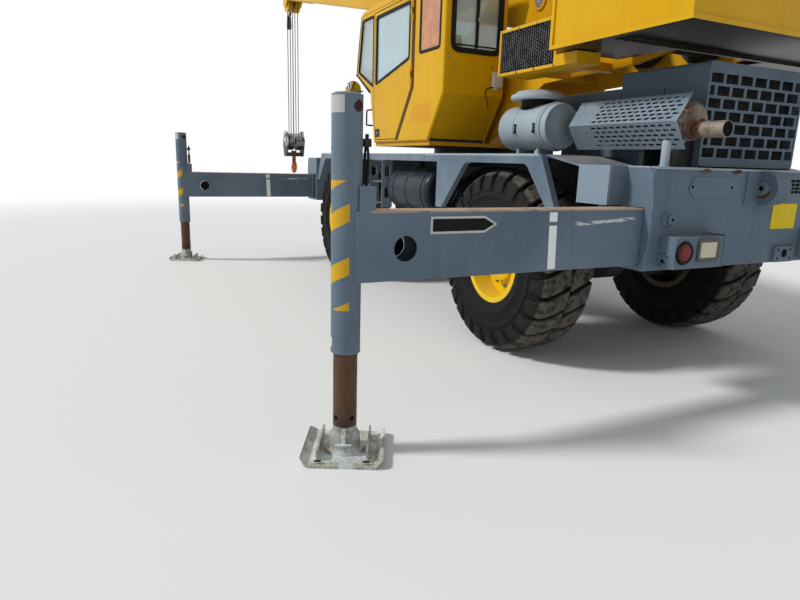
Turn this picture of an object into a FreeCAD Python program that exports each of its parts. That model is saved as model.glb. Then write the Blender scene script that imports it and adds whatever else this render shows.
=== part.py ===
import FreeCAD, Part
import math
import os
import re

import Sketcher

# Four-wheel rough-terrain mobile crane, parked on its outriggers with the boom retracted.
# X points forward, Y to the left, Z up. The origin lies on the ground under the middle of the crane.

# Columns: name, millimetres or degrees, meaning.
CARRIER_SIZES = (
    ("slew_x", -2350, "slewing axis, measured from the middle of the whole crane"),
    ("rear_axle_back", 2052, "rear axle behind the slewing axis"),
    ("front_axle_ahead", 1615, "front axle ahead of the slewing axis"),
    ("half_track", 1007, "wheel centre from the centre line"),
    ("fit_gap", 0.3, "gap at seats, pins and bearings"),
    ("lap", 1, "how far welded plates run into each other"),
    ("frame_half", 340, "half width over the frame rails"),
    ("frame_plate", 25, "thickness of rail and cover plates"),
    ("frame_bottom", 960, "underside of the frame"),
    ("deck_top", 1614, "walking surface beside the slewing ring"),
    ("bay_front", 1750, "front bulkhead of the engine bay, behind the slewing axis"),
    ("pedestal_radius", 600, "ring carrier on the frame"),
    ("pedestal_root", 1250, "lowest height of the ring carrier's cone"),
    ("pedestal_shoulder", 1500, "height where the cone meets the cylinder"),
    ("pedestal_top", 1640, "seat of the slewing bearing"),
    ("bearing_outer", 590, "radius of the slewing bearing"),
    ("bearing_inner", 470, "bore radius of the slewing bearing"),
    ("bearing_height", 60, "height of the slewing bearing"),
    ("deck_edge", 1270, "outer plane of the fenders"),
    ("deck_plate", 12, "thickness of the deck plates"),
    ("deck_rear", 2642, "rear end of the upper deck, behind the slewing axis"),
    ("deck_front", 2205, "front end of the upper deck"),
    ("deck_rail", 69, "height of the fender's top rail"),
    ("skirt_thick", 50, "thickness of the fender's legs and rail"),
    ("leg_front_low", 1130, "lower end of the arch legs beside the tank"),
    ("leg_rear_low", 1250, "lower end of the arch legs beside the outriggers"),
    ("arch_half", 426, "half length of the flat arch top"),
    ("arch_round", 90, "radius of the arch's upper corners"),
    ("arch_near", 812, "arch foot beside the tank, from the axle"),
    ("arch_far", 678, "arch foot beside the outriggers, from the axle"),
    ("leg_wide", 100, "width of an arch leg"),
    ("step_top", 1550, "lower deck over the outrigger boxes"),
    ("locker_front", 2990, "locker behind the left rear fender, behind the slewing axis"),
    ("locker_rear", 3268, "rear face of the locker"),
    ("locker_edge", 1220, "outer face of the locker"),
    ("locker_low", 1301, "underside of the locker"),
    ("ramp_in", 730, "inner side of the sloping deck"),
    ("ladder_rear", 110, "rear ladder rail, ahead of the slewing axis"),
    ("ladder_front", 490, "front ladder rail"),
    ("ladder_low", 1020, "foot of the ladder"),
    ("rung_first", 47, "lowest rung above the ladder's foot"),
    ("rung_pitch", 238, "height from one rung to the next"),
    ("step_high", 1130, "small step between the ladder and the front arch"),
    ("ladder_deep", 130, "width of a ladder rail"),
    ("ladder_plate", 8, "thickness of a ladder rail"),
    ("rung_radius", 14, "radius of a rung"),
    ("slot_radius", 32, "half width of the oval holes in the ladder rails"),
    ("slot_run", 70, "straight length of the oval holes"),
)

BOX_SIZES = (
    ("box_face", 3473, "outer face of an outrigger box, from the slewing axis"),
    ("box_inner_face", 3043, "inner face of an outrigger box"),
    ("box_half", 1050, "half width of the outrigger boxes"),
    ("box_floor", 900, "underside of the outrigger boxes"),
    ("flange_out", 25, "how far the end flanges stand out of the box's faces"),
    ("flange_thick", 18, "thickness of the end flanges"),
    ("jack_near", 3358, "left jacks, fore and aft of the slewing axis"),
    ("beam_pitch", 200, "distance between the paired beams"),
    ("end_chamfer", 38, "cut corner of the end flanges"),
    ("crown_low", 1130, "lower end of the flanges' outermost edge"),
    ("crown_top", 1355, "upper end of the flanges' outermost edge"),
    ("jack_out", 3016, "jack from the centre line, beam fully out"),
    ("beam_wide", 158, "width of a beam"),
    ("beam_low", 935, "underside of a beam"),
    ("beam_high", 358, "height of a beam"),
    ("beam_wall", 12, "beam plate thickness"),
    ("beam_root", 686, "inner end of a beam from the centre line, beam fully out"),
    ("beam_gap", 6, "running clearance of a beam in its box"),
    ("beam_end", 16, "outer end of a beam, short of the jack's axis"),
    ("pad_long", 90, "wear pad length along the beam"),
    ("rod_radius", 63.5, "radius of a jack rod"),
    ("rod_gap", 0.5, "running clearance of a jack rod in its tube"),
    ("tube_wall", 12.5, "wall of a jack tube"),
    ("tube_low", 563, "lower end of a jack tube"),
    ("tube_top", 1840, "upper end of a jack tube"),
    ("sight_hole", 67, "radius of the hole through a beam"),
    ("sight_back", 296, "hole from the jack, along the beam"),
    ("sight_high", 165, "height of the hole above the beam's underside"),
    ("valve_long", 125, "inner end of the valve housing from the jack's axis"),
    ("valve_high", 120, "height of the valve housing"),
    ("rod_top", 1380, "upper end of a jack rod"),
    ("float_half", 215, "half side of a float"),
    ("float_plate", 14, "thickness of a float"),
    ("float_lip", 45, "height of the turned-up edges"),
    ("rear_left_turn", 64, "rear left float, turned on its jack, in degrees"),
    ("rear_right_turn", 12, "rear right float, turned on its jack, in degrees"),
    ("front_left_turn", 71, "front left float, turned on its jack, in degrees"),
    ("front_right_turn", -8, "front right float, turned on its jack, in degrees"),
    ("float_round", 34, "radius of the corners of a float"),
    ("float_bar_high", 75, "height of the two bars on a float"),
    ("float_bar_out", 130, "bars from the middle of a float"),
    ("float_bar_half", 160, "half length of a bar"),
    ("float_bar_thick", 10, "thickness of a bar"),
    ("socket_wall", 32, "wall of the float's socket"),
    ("socket_ring", 24, "how far the ring around the socket stands out"),
    ("socket_taper", 26, "height of the socket's conical top"),
    ("socket_high", 126, "top of the float's socket"),
    ("spigot_radius", 50, "radius of the rod's end in the socket"),
    ("spigot_low", 40, "lower end of the rod in the socket"),
    ("lamp_box_rear", 3600, "rear face of a light box"),
    ("lamp_box_in", 500, "inner side of a light box"),
    ("lamp_box_out", 940, "outer side of a light box"),
    ("lamp_box_low", 925, "underside of a light box"),
    ("lamp_box_top", 1125, "top of a light box"),
    ("lamp_round", 47, "radius of the round lamp"),
    ("lamp_square_wide", 135, "width of the square lamp"),
    ("lamp_square_high", 96, "height of the square lamp"),
    ("lamp_deep", 14, "depth of the lamp recesses"),
    ("lamp_round_in", 110, "round lamp from the box's outer side"),
    ("lamp_square_in", 130, "square lamp from the box's inner side"),
    ("tow_radius", 112, "radius of the tow lug"),
    ("tow_high", 1425, "height of the tow pin"),
    ("tow_out", 40, "tow pin behind the box's face"),
    ("tow_half", 70, "half width of the tow lug"),
    ("tow_plate_half", 190, "half width of the tow lug's mounting plate"),
    ("tow_plate", 14, "thickness of the mounting plate"),
    ("tow_pin", 46, "radius of the tow pin"),
    ("pin_head", 12, "how far a pin's end stands out"),
)

WHEEL_SIZES = (
    ("tyre_radius", 746, "outside radius of a tyre"),
    ("tyre_half", 260, "half width of a tyre"),
    ("bead_radius", 325, "inner radius of a tyre"),
    ("bead_half", 205, "half width of a tyre at its bead"),
    ("rim_rise", 20, "how far a rim flange stands above the bead"),
    ("rim_edge", 20, "thickness of a rim flange"),
    ("rim_wall", 24, "thickness of the rim barrel"),
    ("disc_out", 30, "inner face of the wheel disc, outboard of the wheel centre"),
    ("disc_thick", 22, "thickness of the wheel disc"),
    ("hub_radius", 165, "radius of the planetary hub"),
    ("hub_out", 165, "outer end of the planetary hub, from the wheel centre"),
    ("hub_face", 115, "radius of the hub's end face"),
    ("dish_rib", 12, "how far the ring on the wheel disc stands out"),
    ("spindle_radius", 70, "radius of the spindle"),
    ("spindle_out", 40, "outer end of the spindle, from the wheel centre"),
    ("kingpin_y", 680, "steering axis from the centre line"),
    ("kingpin_radius", 28, "radius of a kingpin"),
    ("knuckle_radius", 74, "radius of the knuckle's trunnion"),
    ("knuckle_half", 165, "half height of the knuckle's trunnion"),
    ("yoke_plate", 34, "thickness of a yoke arm"),
    ("yoke_half", 70, "half length of a yoke arm, fore and aft"),
    ("yoke_reach", 52, "yoke arm beyond the kingpin"),
    ("pin_out", 7, "kingpin beyond the yoke arm"),
    ("yoke_web", 150, "inner side of a yoke from the kingpin"),
    ("flange_radius", 150, "radius of the knuckle's flange"),
    ("flange_in", 84, "knuckle flange from the kingpin"),
    ("flange_width", 30, "thickness of the knuckle's flange"),
    ("arm_back", 260, "tie rod's ball from the kingpin, fore and aft"),
    ("arm_drop", 132, "steering arm below the axle"),
    ("arm_thick", 34, "thickness of a steering arm"),
    ("arm_root", 59, "half width of a steering arm at its root"),
    ("arm_tip", 40, "half width of a steering arm at its ball"),
    ("tie_radius", 18, "radius of a tie rod"),
    ("tie_eye", 36, "radius of a tie rod's ball housing"),
    ("tie_eye_high", 40, "height of a tie rod's ball housing"),
    ("axle_radius", 105, "radius of the axle tubes"),
    ("bowl_radius", 205, "radius of the differential bowl"),
    ("bowl_wide", 210, "width of the differential bowl's rim"),
    ("bowl_taper", 340, "width of the bowl where it meets the axle tubes"),
    ("nose_long", 60, "pinion nose beyond the bowl"),
    ("nose_radius", 77, "radius of the pinion nose"),
    ("seat_inner", 180, "inner side of an axle seat"),
    ("seat_outer", 320, "outer side of an axle seat"),
    ("seat_half", 110, "half length of an axle seat"),
    ("shaft_radius", 48, "radius of the propeller shafts"),
    ("shaft_high", 800, "height of the propeller shafts"),
    ("gearbox_rear", 1020, "rear face of the gearbox, behind the slewing axis"),
    ("gearbox_front", 300, "front face of the gearbox, behind the slewing axis"),
    ("gearbox_half", 240, "half width of the gearbox"),
    ("gearbox_low", 700, "underside of the gearbox"),
)

POWER_SIZES = (
    ("hood_rear", 3320, "rear face of the hood, behind the slewing axis"),
    ("hood_front", 1950, "front face of the hood"),
    ("hood_step", 2580, "step in the hood's top"),
    ("hood_half", 500, "half width of the hood"),
    ("hood_top", 2230, "rear top of the hood"),
    ("hood_low_top", 2120, "front top of the hood"),
    ("hood_wall", 10, "hood panel thickness"),
    ("hood_round", 26, "radius of the hood's upper edges"),
    ("engine_rear", 3000, "rear face of the engine, behind the slewing axis"),
    ("engine_front", 1985, "front face of the engine"),
    ("engine_half", 290, "half width of the engine"),
    ("engine_top", 1930, "top of the engine"),
    ("grille_thick", 10, "thickness of the radiator grille"),
    ("grille_low", 1560, "lower edge of the grille"),
    ("cell_wide", 84, "width of a grille opening"),
    ("cell_high", 62, "height of a grille opening"),
    ("cell_pitch_y", 103, "sideways distance between grille openings"),
    ("cell_pitch_z", 83, "height from one row of openings to the next"),
    ("cell_first_z", 1655, "middle of the lowest row of openings"),
    ("muffler_rear", 3405, "rear end of the muffler, behind the slewing axis"),
    ("muffler_front", 2560, "front end of the muffler"),
    ("muffler_y", 655, "muffler from the centre line"),
    ("muffler_z", 1840, "height of the muffler's axis"),
    ("muffler_radius", 118, "radius of the muffler"),
    ("tail_radius", 50, "radius of the tail pipe"),
    ("tail_wall", 4, "wall of the tail pipe"),
    ("tail_rear", 3625, "open end of the tail pipe"),
    ("tail_z", 1785, "height of the tail pipe"),
    ("saddle_half", 20, "half length of a saddle"),
    ("saddle_rear", 3255, "rear saddle of the muffler, behind the slewing axis"),
    ("saddle_front", 3040, "front saddle of the muffler"),
    ("saddle_out", 715, "outer side of the saddles"),
    ("muffler_round", 34, "radius of the muffler's ends"),
    ("shield_rear", 3412, "rear end of the heat shield"),
    ("shield_front", 2420, "front end of the heat shield"),
    ("slot_front", 2660, "first slots of the heat shield"),
    ("slot_long", 46, "length of a slot in the shield"),
    ("slot_high", 9, "height of a slot"),
    ("slot_pitch", 74, "distance from one slot to the next"),
    ("slot_rise", 26, "height from one row of slots to the next"),
    ("slot_first", 16, "first row above or below the shield's ridge"),
    ("stay_low", 1820, "underside of the stays between the muffler and the shield"),
    ("stay_top", 1836, "top of the stays"),
    ("shield_thick", 6, "thickness of the heat shield"),
    ("shield_top_y", 735, "upper edge of the shield, from the centre line"),
    ("shield_top_z", 2010, "height of the shield's upper edge"),
    ("shield_ridge_y", 850, "ridge of the shield"),
    ("shield_ridge_z", 1832, "height of the shield's ridge"),
    ("shield_low_y", 742, "lower edge of the shield"),
    ("shield_low_z", 1662, "height of the shield's lower edge"),
    ("cleaner_rear", 2300, "rear end of the air cleaner, behind the slewing axis"),
    ("cleaner_front", 1500, "front end of the air cleaner"),
    ("cleaner_y", 820, "air cleaner from the centre line"),
    ("cleaner_z", 1832, "height of the air cleaner's axis"),
    ("cleaner_radius", 160, "radius of the air cleaner"),
    ("cleaner_band", 6, "how far the bands stand out"),
    ("cleaner_round", 22, "radius of the canister's front end"),
    ("cover_radius", 148, "radius of the canister's rear cover"),
    ("cover_deep", 16, "how far the rear cover stands out"),
    ("ring_back", 2245, "thick ring of the canister, behind the slewing axis"),
    ("ring_half", 16, "half length of the thick ring"),
    ("band_rear", 2140, "rear band and foot"),
    ("band_front", 1800, "middle band"),
    ("foot_front", 1660, "front foot of the canister"),
    ("foot_wide", 110, "half width of a foot"),
    ("cap_back", 1990, "rain cap behind the slewing axis"),
    ("cap_radius", 222, "radius of the rain cap"),
    ("cap_rim_z", 2062, "lower edge of the rain cap"),
    ("cap_top_z", 2165, "top of the rain cap"),
    ("neck_radius", 90, "radius of the intake neck"),
    ("cap_rim", 26, "height of the rain cap's rim"),
    ("cap_step", 16, "rise of the rain cap's lower dome"),
    ("cap_shoulder", 176, "radius where the upper dome starts"),
    ("cap_crown", 84, "radius of the rain cap's flat crown"),
    ("tank_rear", 860, "rear end of the left tank, behind the slewing axis"),
    ("tank_front", 90, "front end of the left tank, ahead of the slewing axis"),
    ("tank_radius", 243, "radius of the left tank"),
    ("tank_y", 985, "left tank from the centre line"),
    ("tank_z", 1245, "height of the left tank's axis"),
    ("tank_round", 58, "radius of the left tank's dished ends"),
    ("tank_inset", 150, "straps from the tank's ends"),
    ("fuel_rear", 1090, "rear end of the right tank, behind the slewing axis"),
    ("fuel_front", 60, "front end of the right tank"),
    ("fuel_in", 640, "inner side of the right tank"),
    ("fuel_out", 1200, "outer side of the right tank"),
    ("fuel_low", 960, "underside of the right tank"),
    ("fuel_top", 1500, "top of the right tank"),
    ("fuel_round", 45, "radius of the right tank's long edges"),
    ("bracket_half", 30, "half width of a tank bracket"),
    ("bracket_high", 60, "height of a tank bracket"),
)

UPPER_SIZES = (
    ("table_radius", 620, "radius of the turntable's base"),
    ("table_plate", 38, "thickness of the turntable's base"),
    ("bearing_lift", 0.5, "gap above the slewing bearing"),
    ("cheek_y", 362, "middle of a turntable cheek from the centre line"),
    ("cheek_thick", 30, "thickness of a turntable cheek"),
    ("pivot_back", 1350, "boom pivot behind the slewing axis"),
    ("pivot_high", 3000, "height of the boom pivot"),
    ("pivot_radius", 60, "radius of the boom pin"),
    ("pivot_boss", 120, "radius of the cheek around the boom pin"),
    ("foot_inset", 90, "cheeks' feet from the base plate's edge"),
    ("toe_inset", 150, "cheeks' front corner from the base plate's edge"),
    ("toe_rise", 177, "cheeks' upper edge above the lift cylinder's pin"),
    ("neck_run", 300, "cheeks' rear slope behind the boom pin"),
    ("heel_back", 1488, "cheeks' lower corner behind the slewing axis"),
    ("tie_back", 1364, "plate that ties the cheeks"),
    ("bracket_in", 248, "inner end of the cab's bracket"),
    ("cap_thick", 16, "thickness of the caps over pins"),
    ("cap_over", 26, "how far a cap reaches beyond its pin"),
    ("cheek_rear", 3000, "rear end of the cheeks, behind the slewing axis"),
    ("lift_back", 450, "lift cylinder's base pin behind the slewing axis"),
    ("lift_high", 2020, "height of the lift cylinder's base pin"),
    ("lift_pin", 50, "radius of the lift cylinder's pins"),
    ("lift_boss", 118, "radius of the lift cylinder's eyes"),
    ("barrel_radius", 140, "outside radius of the lift cylinder"),
    ("barrel_long", 2300, "length of the lift cylinder's barrel from its pin"),
    ("lift_rod_radius", 90, "radius of the lift cylinder's rod"),
    ("lift_rod_back", 560, "inner end of the lift cylinder's rod from the barrel's pin"),
    ("eye_half", 92, "half width of the lift cylinder's rod eye"),
    ("ear_gap", 105, "lifting ears' inner faces from the centre line"),
    ("ear_thick", 40, "thickness of a lifting ear"),
    ("ear_u", 3700, "lift pin along the boom"),
    ("ear_w", -620, "lift pin below the boom pivot"),
    ("ear_low", -780, "lower end of the lifting ears"),
    ("ear_spread", 354, "half length of a lifting ear at the boom"),
    ("gland_long", 90, "length of the gland on the lift cylinder's barrel"),
    ("gland_over", 16, "how far the gland stands out"),
    ("main_back", 2000, "main hoist behind the slewing axis"),
    ("main_high", 2640, "height of the main hoist"),
    ("aux_back", 2580, "auxiliary hoist behind the slewing axis"),
    ("aux_high", 2600, "height of the auxiliary hoist"),
    ("drum_radius", 160, "radius of a hoist drum"),
    ("drum_flange", 240, "radius of a drum flange"),
    ("drum_gap", 17, "drum flange from the turntable's cheek"),
    ("drum_flange_thick", 22, "thickness of a drum flange"),
    ("drum_shaft", 45, "radius of a drum shaft"),
    ("weight_front", 2490, "front of the counterweight's wings, behind the slewing axis"),
    ("weight_rear", 3690, "rear of the counterweight"),
    ("weight_half", 1150, "half width of the counterweight"),
    ("weight_low", 2340, "underside of the counterweight"),
    ("weight_top", 2950, "top of the counterweight"),
    ("notch_half", 480, "half width of the hoist bay in the counterweight"),
    ("weight_lip", 28, "lip along the counterweight's lower and front edges"),
    ("weight_inset", 14, "how far the lip stands out"),
    ("weight_hollow", 24, "recess in the counterweight's underside"),
    ("cooler_rear", 2410, "rear end of the oil cooler, behind the slewing axis"),
    ("cooler_front", 1680, "front end of the oil cooler"),
    ("cooler_in", 700, "inner side of the oil cooler"),
    ("cooler_out", 1020, "outer side of the oil cooler"),
    ("cooler_low", 2252, "underside of the oil cooler"),
    ("cooler_top", 2610, "top of the oil cooler"),
    ("cooler_frame", 22, "cooler frame thickness"),
    ("fin_pitch", 40, "distance between cooler fins"),
    ("fin_thick", 12, "thickness of a cooler fin"),
    ("header_long", 230, "length of the box behind the cooler"),
    ("header_in", 800, "inner side of the box behind the cooler"),
    ("header_top", 2332, "top of the box behind the cooler"),
    ("arm_inset", 120, "cooler arms from the cooler's ends"),
)

CAB_SIZES = (
    ("cab_in", 455, "inner side of the cab"),
    ("cab_out", 1150, "outer side of the cab"),
    ("cab_wall", 30, "thickness of the cab's panels"),
    ("cab_floor_low", 1739, "underside of the cab's floor"),
    ("cab_rear", 975, "rear wall behind the slewing axis"),
    ("cab_knee", 2180, "height where the rear wall starts to slope"),
    ("cab_rear_foot", 690, "foot of the sloping rear wall, behind the slewing axis"),
    ("cab_front_foot", 640, "foot of the front wall, ahead of the slewing axis"),
    ("nose_x", 780, "front wall below the windscreen"),
    ("nose_z", 2330, "height of the sill under the windscreen"),
    ("screen_x", 1200, "lower edge of the windscreen"),
    ("screen_z", 2560, "height of the windscreen's lower edge"),
    ("brow_x", 1070, "upper edge of the windscreen"),
    ("brow_z", 3205, "height of the windscreen's upper edge"),
    ("roof_z", 3250, "top of the cab's roof"),
    ("roof_crown", 25, "rise of the roof's middle"),
    ("cab_round", 24, "radius of the side walls' outer edges"),
    ("crown_rear", 150, "start of the roof's crown from its rear edge"),
    ("crown_front", 250, "end of the roof's crown from the windscreen's top"),
    ("brow_lip", 45, "front edge of the roof from the windscreen's top"),
    ("door_rear", 300, "hinged edge of the door, behind the slewing axis"),
    ("door_front", 650, "front edge of the door, ahead of the slewing axis"),
    ("door_knee", 2290, "height where the door's rear edge starts to slope"),
    ("door_foot", 60, "rear edge of the door at its foot"),
    ("door_toe", 590, "front edge of the door at its foot"),
    ("door_low", 1775, "lower edge of the door"),
    ("door_top", 3165, "upper edge of the door"),
    ("door_gap", 6, "gap around the door"),
    ("door_bend", 120, "bend of the door's front edge below its knee"),
    ("door_edge", 8, "radius of the door's outer edges"),
    ("sill_front_z", 2385, "door window sill at its front end"),
    ("sill_rear_z", 2570, "door window sill at its rear end"),
    ("pane_margin", 45, "frame width around the door's window"),
    ("pane_thick", 6, "thickness of the glass"),
    ("side_pane_rear", 890, "rear edge of the fixed side window"),
    ("side_pane_front", 480, "front edge of the fixed side window"),
    ("side_pane_low", 2590, "sill of the fixed side window"),
    ("side_pane_top", 3150, "top of the fixed side window"),
    ("pillar", 35, "pillar between the door and the small window"),
    ("quarter_low", 40, "small window above the windscreen's sill"),
    ("quarter_front", 60, "small window behind the windscreen's edge"),
    ("quarter_top", 55, "small window below the windscreen's top"),
    ("right_rear", 90, "right window from the rear wall"),
    ("right_low", 120, "right window above the windscreen's sill"),
    ("right_front", 75, "right window behind the windscreen's edge"),
    ("hinge_radius", 9, "radius of a door hinge"),
    ("hinge_out", 12, "door hinge axis outside the cab's wall"),
    ("hinge_long", 60, "length of a hinge barrel"),
    ("hinge_pin", 4, "radius of a door hinge's pin"),
    ("hinge_low", 120, "lower hinge above the door's knee"),
    ("hinge_high", 150, "upper hinge below the door's top"),
    ("seat_x", -120, "middle of the driver's seat"),
    ("seat_wide", 470, "width of the seat"),
    ("seat_deep", 480, "depth of the seat"),
    ("seat_top", 2230, "top of the seat cushion"),
    ("cushion_thick", 120, "thickness of the seat cushion"),
    ("back_top", 2880, "top of the seat's back"),
    ("back_low", 60, "foot of the seat's back below the cushion's top"),
    ("back_lean", 130, "how far the seat's back leans"),
    ("back_thick", 100, "thickness of the seat's back at its foot"),
    ("back_thin", 70, "thickness of the seat's back at its top"),
    ("back_half", 216, "half width of the seat's back"),
    ("post_half", 142, "half width of the seat's pedestal"),
    ("console_x", 640, "dashboard, ahead of the slewing axis"),
    ("wheel_hub_x", 470, "steering wheel hub"),
    ("wheel_hub_z", 2520, "height of the steering wheel"),
    ("steer_radius", 190, "radius of the steering wheel"),
    ("steer_grip", 14, "radius of the steering wheel's grip"),
    ("column_radius", 42, "radius of the steering column"),
    ("dash_drop", 140, "dashboard below the steering wheel"),
    ("dash_high", 120, "height of the dashboard's rear face"),
    ("dash_nose", 20, "dashboard below the windscreen's sill"),
    ("dash_deep", 160, "height of the dashboard's front end"),
)

BOOM_SIZES = (
    ("rest_angle", 13.2, "boom angle above the horizon as parked"),
    ("boom_axis_w", 100, "middle of the boom section above the pivot"),
    ("boom_foot", 230, "end of the base section behind the pivot"),
    ("boom_slide_gap", 0.5, "gap at the wear pads"),
    ("collar_long", 90, "length of the collars and pads"),
    ("foot_bore_gap", 0.4, "gap around the boom pin"),
    ("foot_gap", 5, "gap between the boom's foot and the turntable's cheeks"),
    ("boom_round", 20, "radius of the long edges of the boom sections"),
    ("section_gap", 16, "gap between a boom section's plates and the next section"),
    ("base_wide", 560, "outer width of the base section"),
    ("base_high", 700, "outer height of the base section"),
    ("head_ahead", 170, "boom head sheaves ahead of the fly section's tube"),
    ("head_w", -300, "boom head sheaves below the pivot line"),
    ("head_plate_y", 165, "boom head plate from the centre line"),
    ("head_plate", 24, "thickness of a boom head plate"),
    ("head_lap", 8, "boom head plates ahead of the third section's collar"),
    ("head_chin", 80, "boom head plates below the sheaves' axis"),
    ("head_nose", 110, "boom head plates ahead of the sheaves' axis"),
    ("head_neck", 420, "height where the head plates narrow, above the pivot line"),
    ("head_crown", 60, "boom head plates above the idlers' axis"),
    ("sheave_radius", 200, "radius of the boom head sheaves"),
    ("sheave_thick", 44, "thickness of a sheave"),
    ("groove_deep", 24, "depth of a sheave's groove"),
    ("groove_half", 16, "half width of a groove at the rim"),
    ("groove_root", 7, "half width of a groove at its root"),
    ("sheave_inner", 58, "inner sheaves from the centre line"),
    ("sheave_outer", 112, "outer sheaves from the centre line"),
    ("sheave_shaft", 38, "radius of the sheave shafts"),
    ("idler_back", 60, "upper idler sheaves behind the head sheaves"),
    ("idler_w", 470, "upper idler sheaves above the pivot line"),
    ("idler_radius", 150, "radius of the upper idlers"),
    ("link_eye", 75, "radius of the rope anchor's eye"),
    ("link_thick", 40, "thickness of the rope anchor"),
    ("anchor_ahead", 280, "wedge socket ahead of the head's shaft"),
    ("anchor_drop", 240, "wedge socket below the head's shaft"),
    ("anchor_long", 260, "length of the wedge socket"),
    ("anchor_half", 62, "half width of the wedge socket"),
    ("anchor_neck", 34, "half width of the wedge socket's ends"),
    ("anchor_link", 52, "half width of the rope anchor's link"),
    ("block_axis_z", 1900, "sheave axis of the hook block"),
    ("block_radius", 190, "radius of the hook block's sheaves"),
    ("block_half", 205, "half width of the hook block"),
    ("block_waist", 209, "half width of the cheek plates at the sheaves"),
    ("block_plate", 28, "thickness of a cheek plate"),
    ("block_top", 2135, "top of the hook block"),
    ("block_low", 1570, "lower end of the cheek plates"),
    ("cross_high", 90, "height of the crosshead"),
    ("nut_high", 38, "height of the hook's nut"),
    ("nut_radius", 60, "radius of the hook's nut"),
    ("shank_radius", 42, "radius of the hook's shank"),
    ("hook_radius", 105, "radius of the hook's bend, to the middle of its bar"),
    ("hook_bar", 38, "radius of the hook's bar"),
    ("hook_mid_z", 1335, "centre of the hook's bend"),
    ("hook_tip", 74, "length of the hook's tip"),
    ("hook_point", 15, "radius of the hook's tip at its end"),
)

# Columns: section, plate, rear end and front end along the boom.
BOOM_SECTIONS = (
    ("base", 14, 250, 9000),
    ("second", 12, 760, 9120),
    ("third", 12, 900, 9240),
    ("fly", 12, 1040, 9330),
)

FEATURES = ("plate", "rear", "front")
SECTION_SIZES = tuple(
    (f"{section[0]}_{feature}", section[column + 1], f"{feature} of the {section[0]} section")
    for section in BOOM_SECTIONS
    for column, feature in enumerate(FEATURES)
)

# Columns: share of a tyre's radius, share of its half width.
TYRE_PROFILE = ((0.60, 0.97), (0.75, 1.0), (0.90, 0.985), (0.965, 0.91), (1.0, 0.78))

GRILLE_ROWS = 7
GRILLE_COLUMNS = 9
COOLER_FINS = 16
SLOT_COLUMNS = 10
# Rows of slots above and below the shield's ridge.
SLOT_ROWS = (("top", 1, 6), ("low", -1, 5))

ALL_SIZES = (
    CARRIER_SIZES + BOX_SIZES + WHEEL_SIZES + POWER_SIZES
    + UPPER_SIZES + CAB_SIZES + BOOM_SIZES + SECTION_SIZES
)
ALIASES = {row[0] for row in ALL_SIZES}
VALUE = {row[0]: row[1] for row in ALL_SIZES}
WORD = re.compile(r"[a-z][a-z0-9_]*")
SAME = 1e-6

# Sizes that follow from the ones above.
TUBE = "(rod_radius + rod_gap + tube_wall)"
SOCKET = "(spigot_radius + socket_wall)"
RIM_FLANGE = "(bead_radius + rim_rise)"
DRUM_HALF = "(cheek_y - cheek_thick / 2 - drum_gap)"
CHEEK_OUT = "(cheek_y + cheek_thick / 2)"
TABLE_LOW = "(pedestal_top + bearing_height + bearing_lift)"
HEAD_U = "(fly_front + head_ahead)"
IDLER_U = "(fly_front + head_ahead - idler_back)"

SIDES = (("left", 1), ("right", -1))
ENDS = (("rear", -1), ("front", 1))

# Sketch plane and axis of revolution for each direction.
LATHE = {"x": ("XY_Plane", "H_Axis"), "y": ("XY_Plane", "V_Axis"), "z": ("XZ_Plane", "V_Axis")}

TURN = {
    "z": FreeCAD.Rotation(FreeCAD.Vector(0, 0, 1), 0),
    "x": FreeCAD.Rotation(FreeCAD.Vector(0, 1, 0), 90),
    "y": FreeCAD.Rotation(FreeCAD.Vector(1, 0, 0), -90),
}

# The hook's bend is made of two arcs of a ring that stands upright, open between its top and its
# front. Columns: arc, degrees round the ring where it starts.
UPRIGHT = FreeCAD.Rotation(FreeCAD.Vector(1, 0, 0), 90)
BEND_PARTS = (("back", 90), ("low", 224))
BEND_SWEEP = 136

doc = FreeCAD.newDocument("MobileCrane")
parts = []


def write_sheet():
    """Put every driving size in the spreadsheet, one row each, with its alias."""
    sheet = doc.addObject("Spreadsheet::Sheet", "Sizes")
    for row, (alias, value, meaning) in enumerate(ALL_SIZES, start=1):
        sheet.set(f"A{row}", meaning)
        sheet.set(f"B{row}", str(value))
        sheet.setAlias(f"B{row}", alias)
    doc.recompute()


def linked(text):
    """Point the size names in an expression at the spreadsheet."""
    return WORD.sub(lambda m: f"Sizes.{m.group()}" if m.group() in ALIASES else m.group(), str(text))


def drive(thing, links):
    """Bind properties of an object to expressions of the sizes."""
    for name, text in links.items():
        thing.setExpression(name, linked(text))


def place(thing, x="0", y="0", z="0"):
    """Bind an object's position."""
    drive(thing, {"Placement.Base.x": x, "Placement.Base.y": y, "Placement.Base.z": z})


def box(name, x, y, z):
    """Make a box from its low and high expression along each axis."""
    thing = doc.addObject("Part::Box", name)
    drive(thing, {
        "Length": f"({x[1]}) - ({x[0]})",
        "Width": f"({y[1]}) - ({y[0]})",
        "Height": f"({z[1]}) - ({z[0]})",
    })
    place(thing, x[0], y[0], z[0])
    return thing


def span(side, low, high):
    """Return a low and high expression that is mirrored when side is -1."""
    return (low, high) if side == 1 else (f"-({high})", f"-({low})")


def around(middle, half):
    """Return a low and high expression about a middle."""
    return (f"({middle}) - ({half})", f"({middle}) + ({half})")


def rod(name, axis, x, y, z, radius):
    """Make a cylinder along one axis, whose entry holds a low and a high expression."""
    thing = doc.addObject("Part::Cylinder", name)
    thing.Placement = FreeCAD.Placement(FreeCAD.Vector(), TURN[axis])
    low, high = {"x": x, "y": y, "z": z}[axis]
    drive(thing, {"Radius": radius, "Height": f"({high}) - ({low})"})
    place(thing, low if axis == "x" else x, low if axis == "y" else y, low if axis == "z" else z)
    return thing


def fuse(name, shapes):
    """Join shapes into one solid."""
    thing = doc.addObject("Part::MultiFuse", name)
    thing.Shapes = shapes
    return thing


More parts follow.
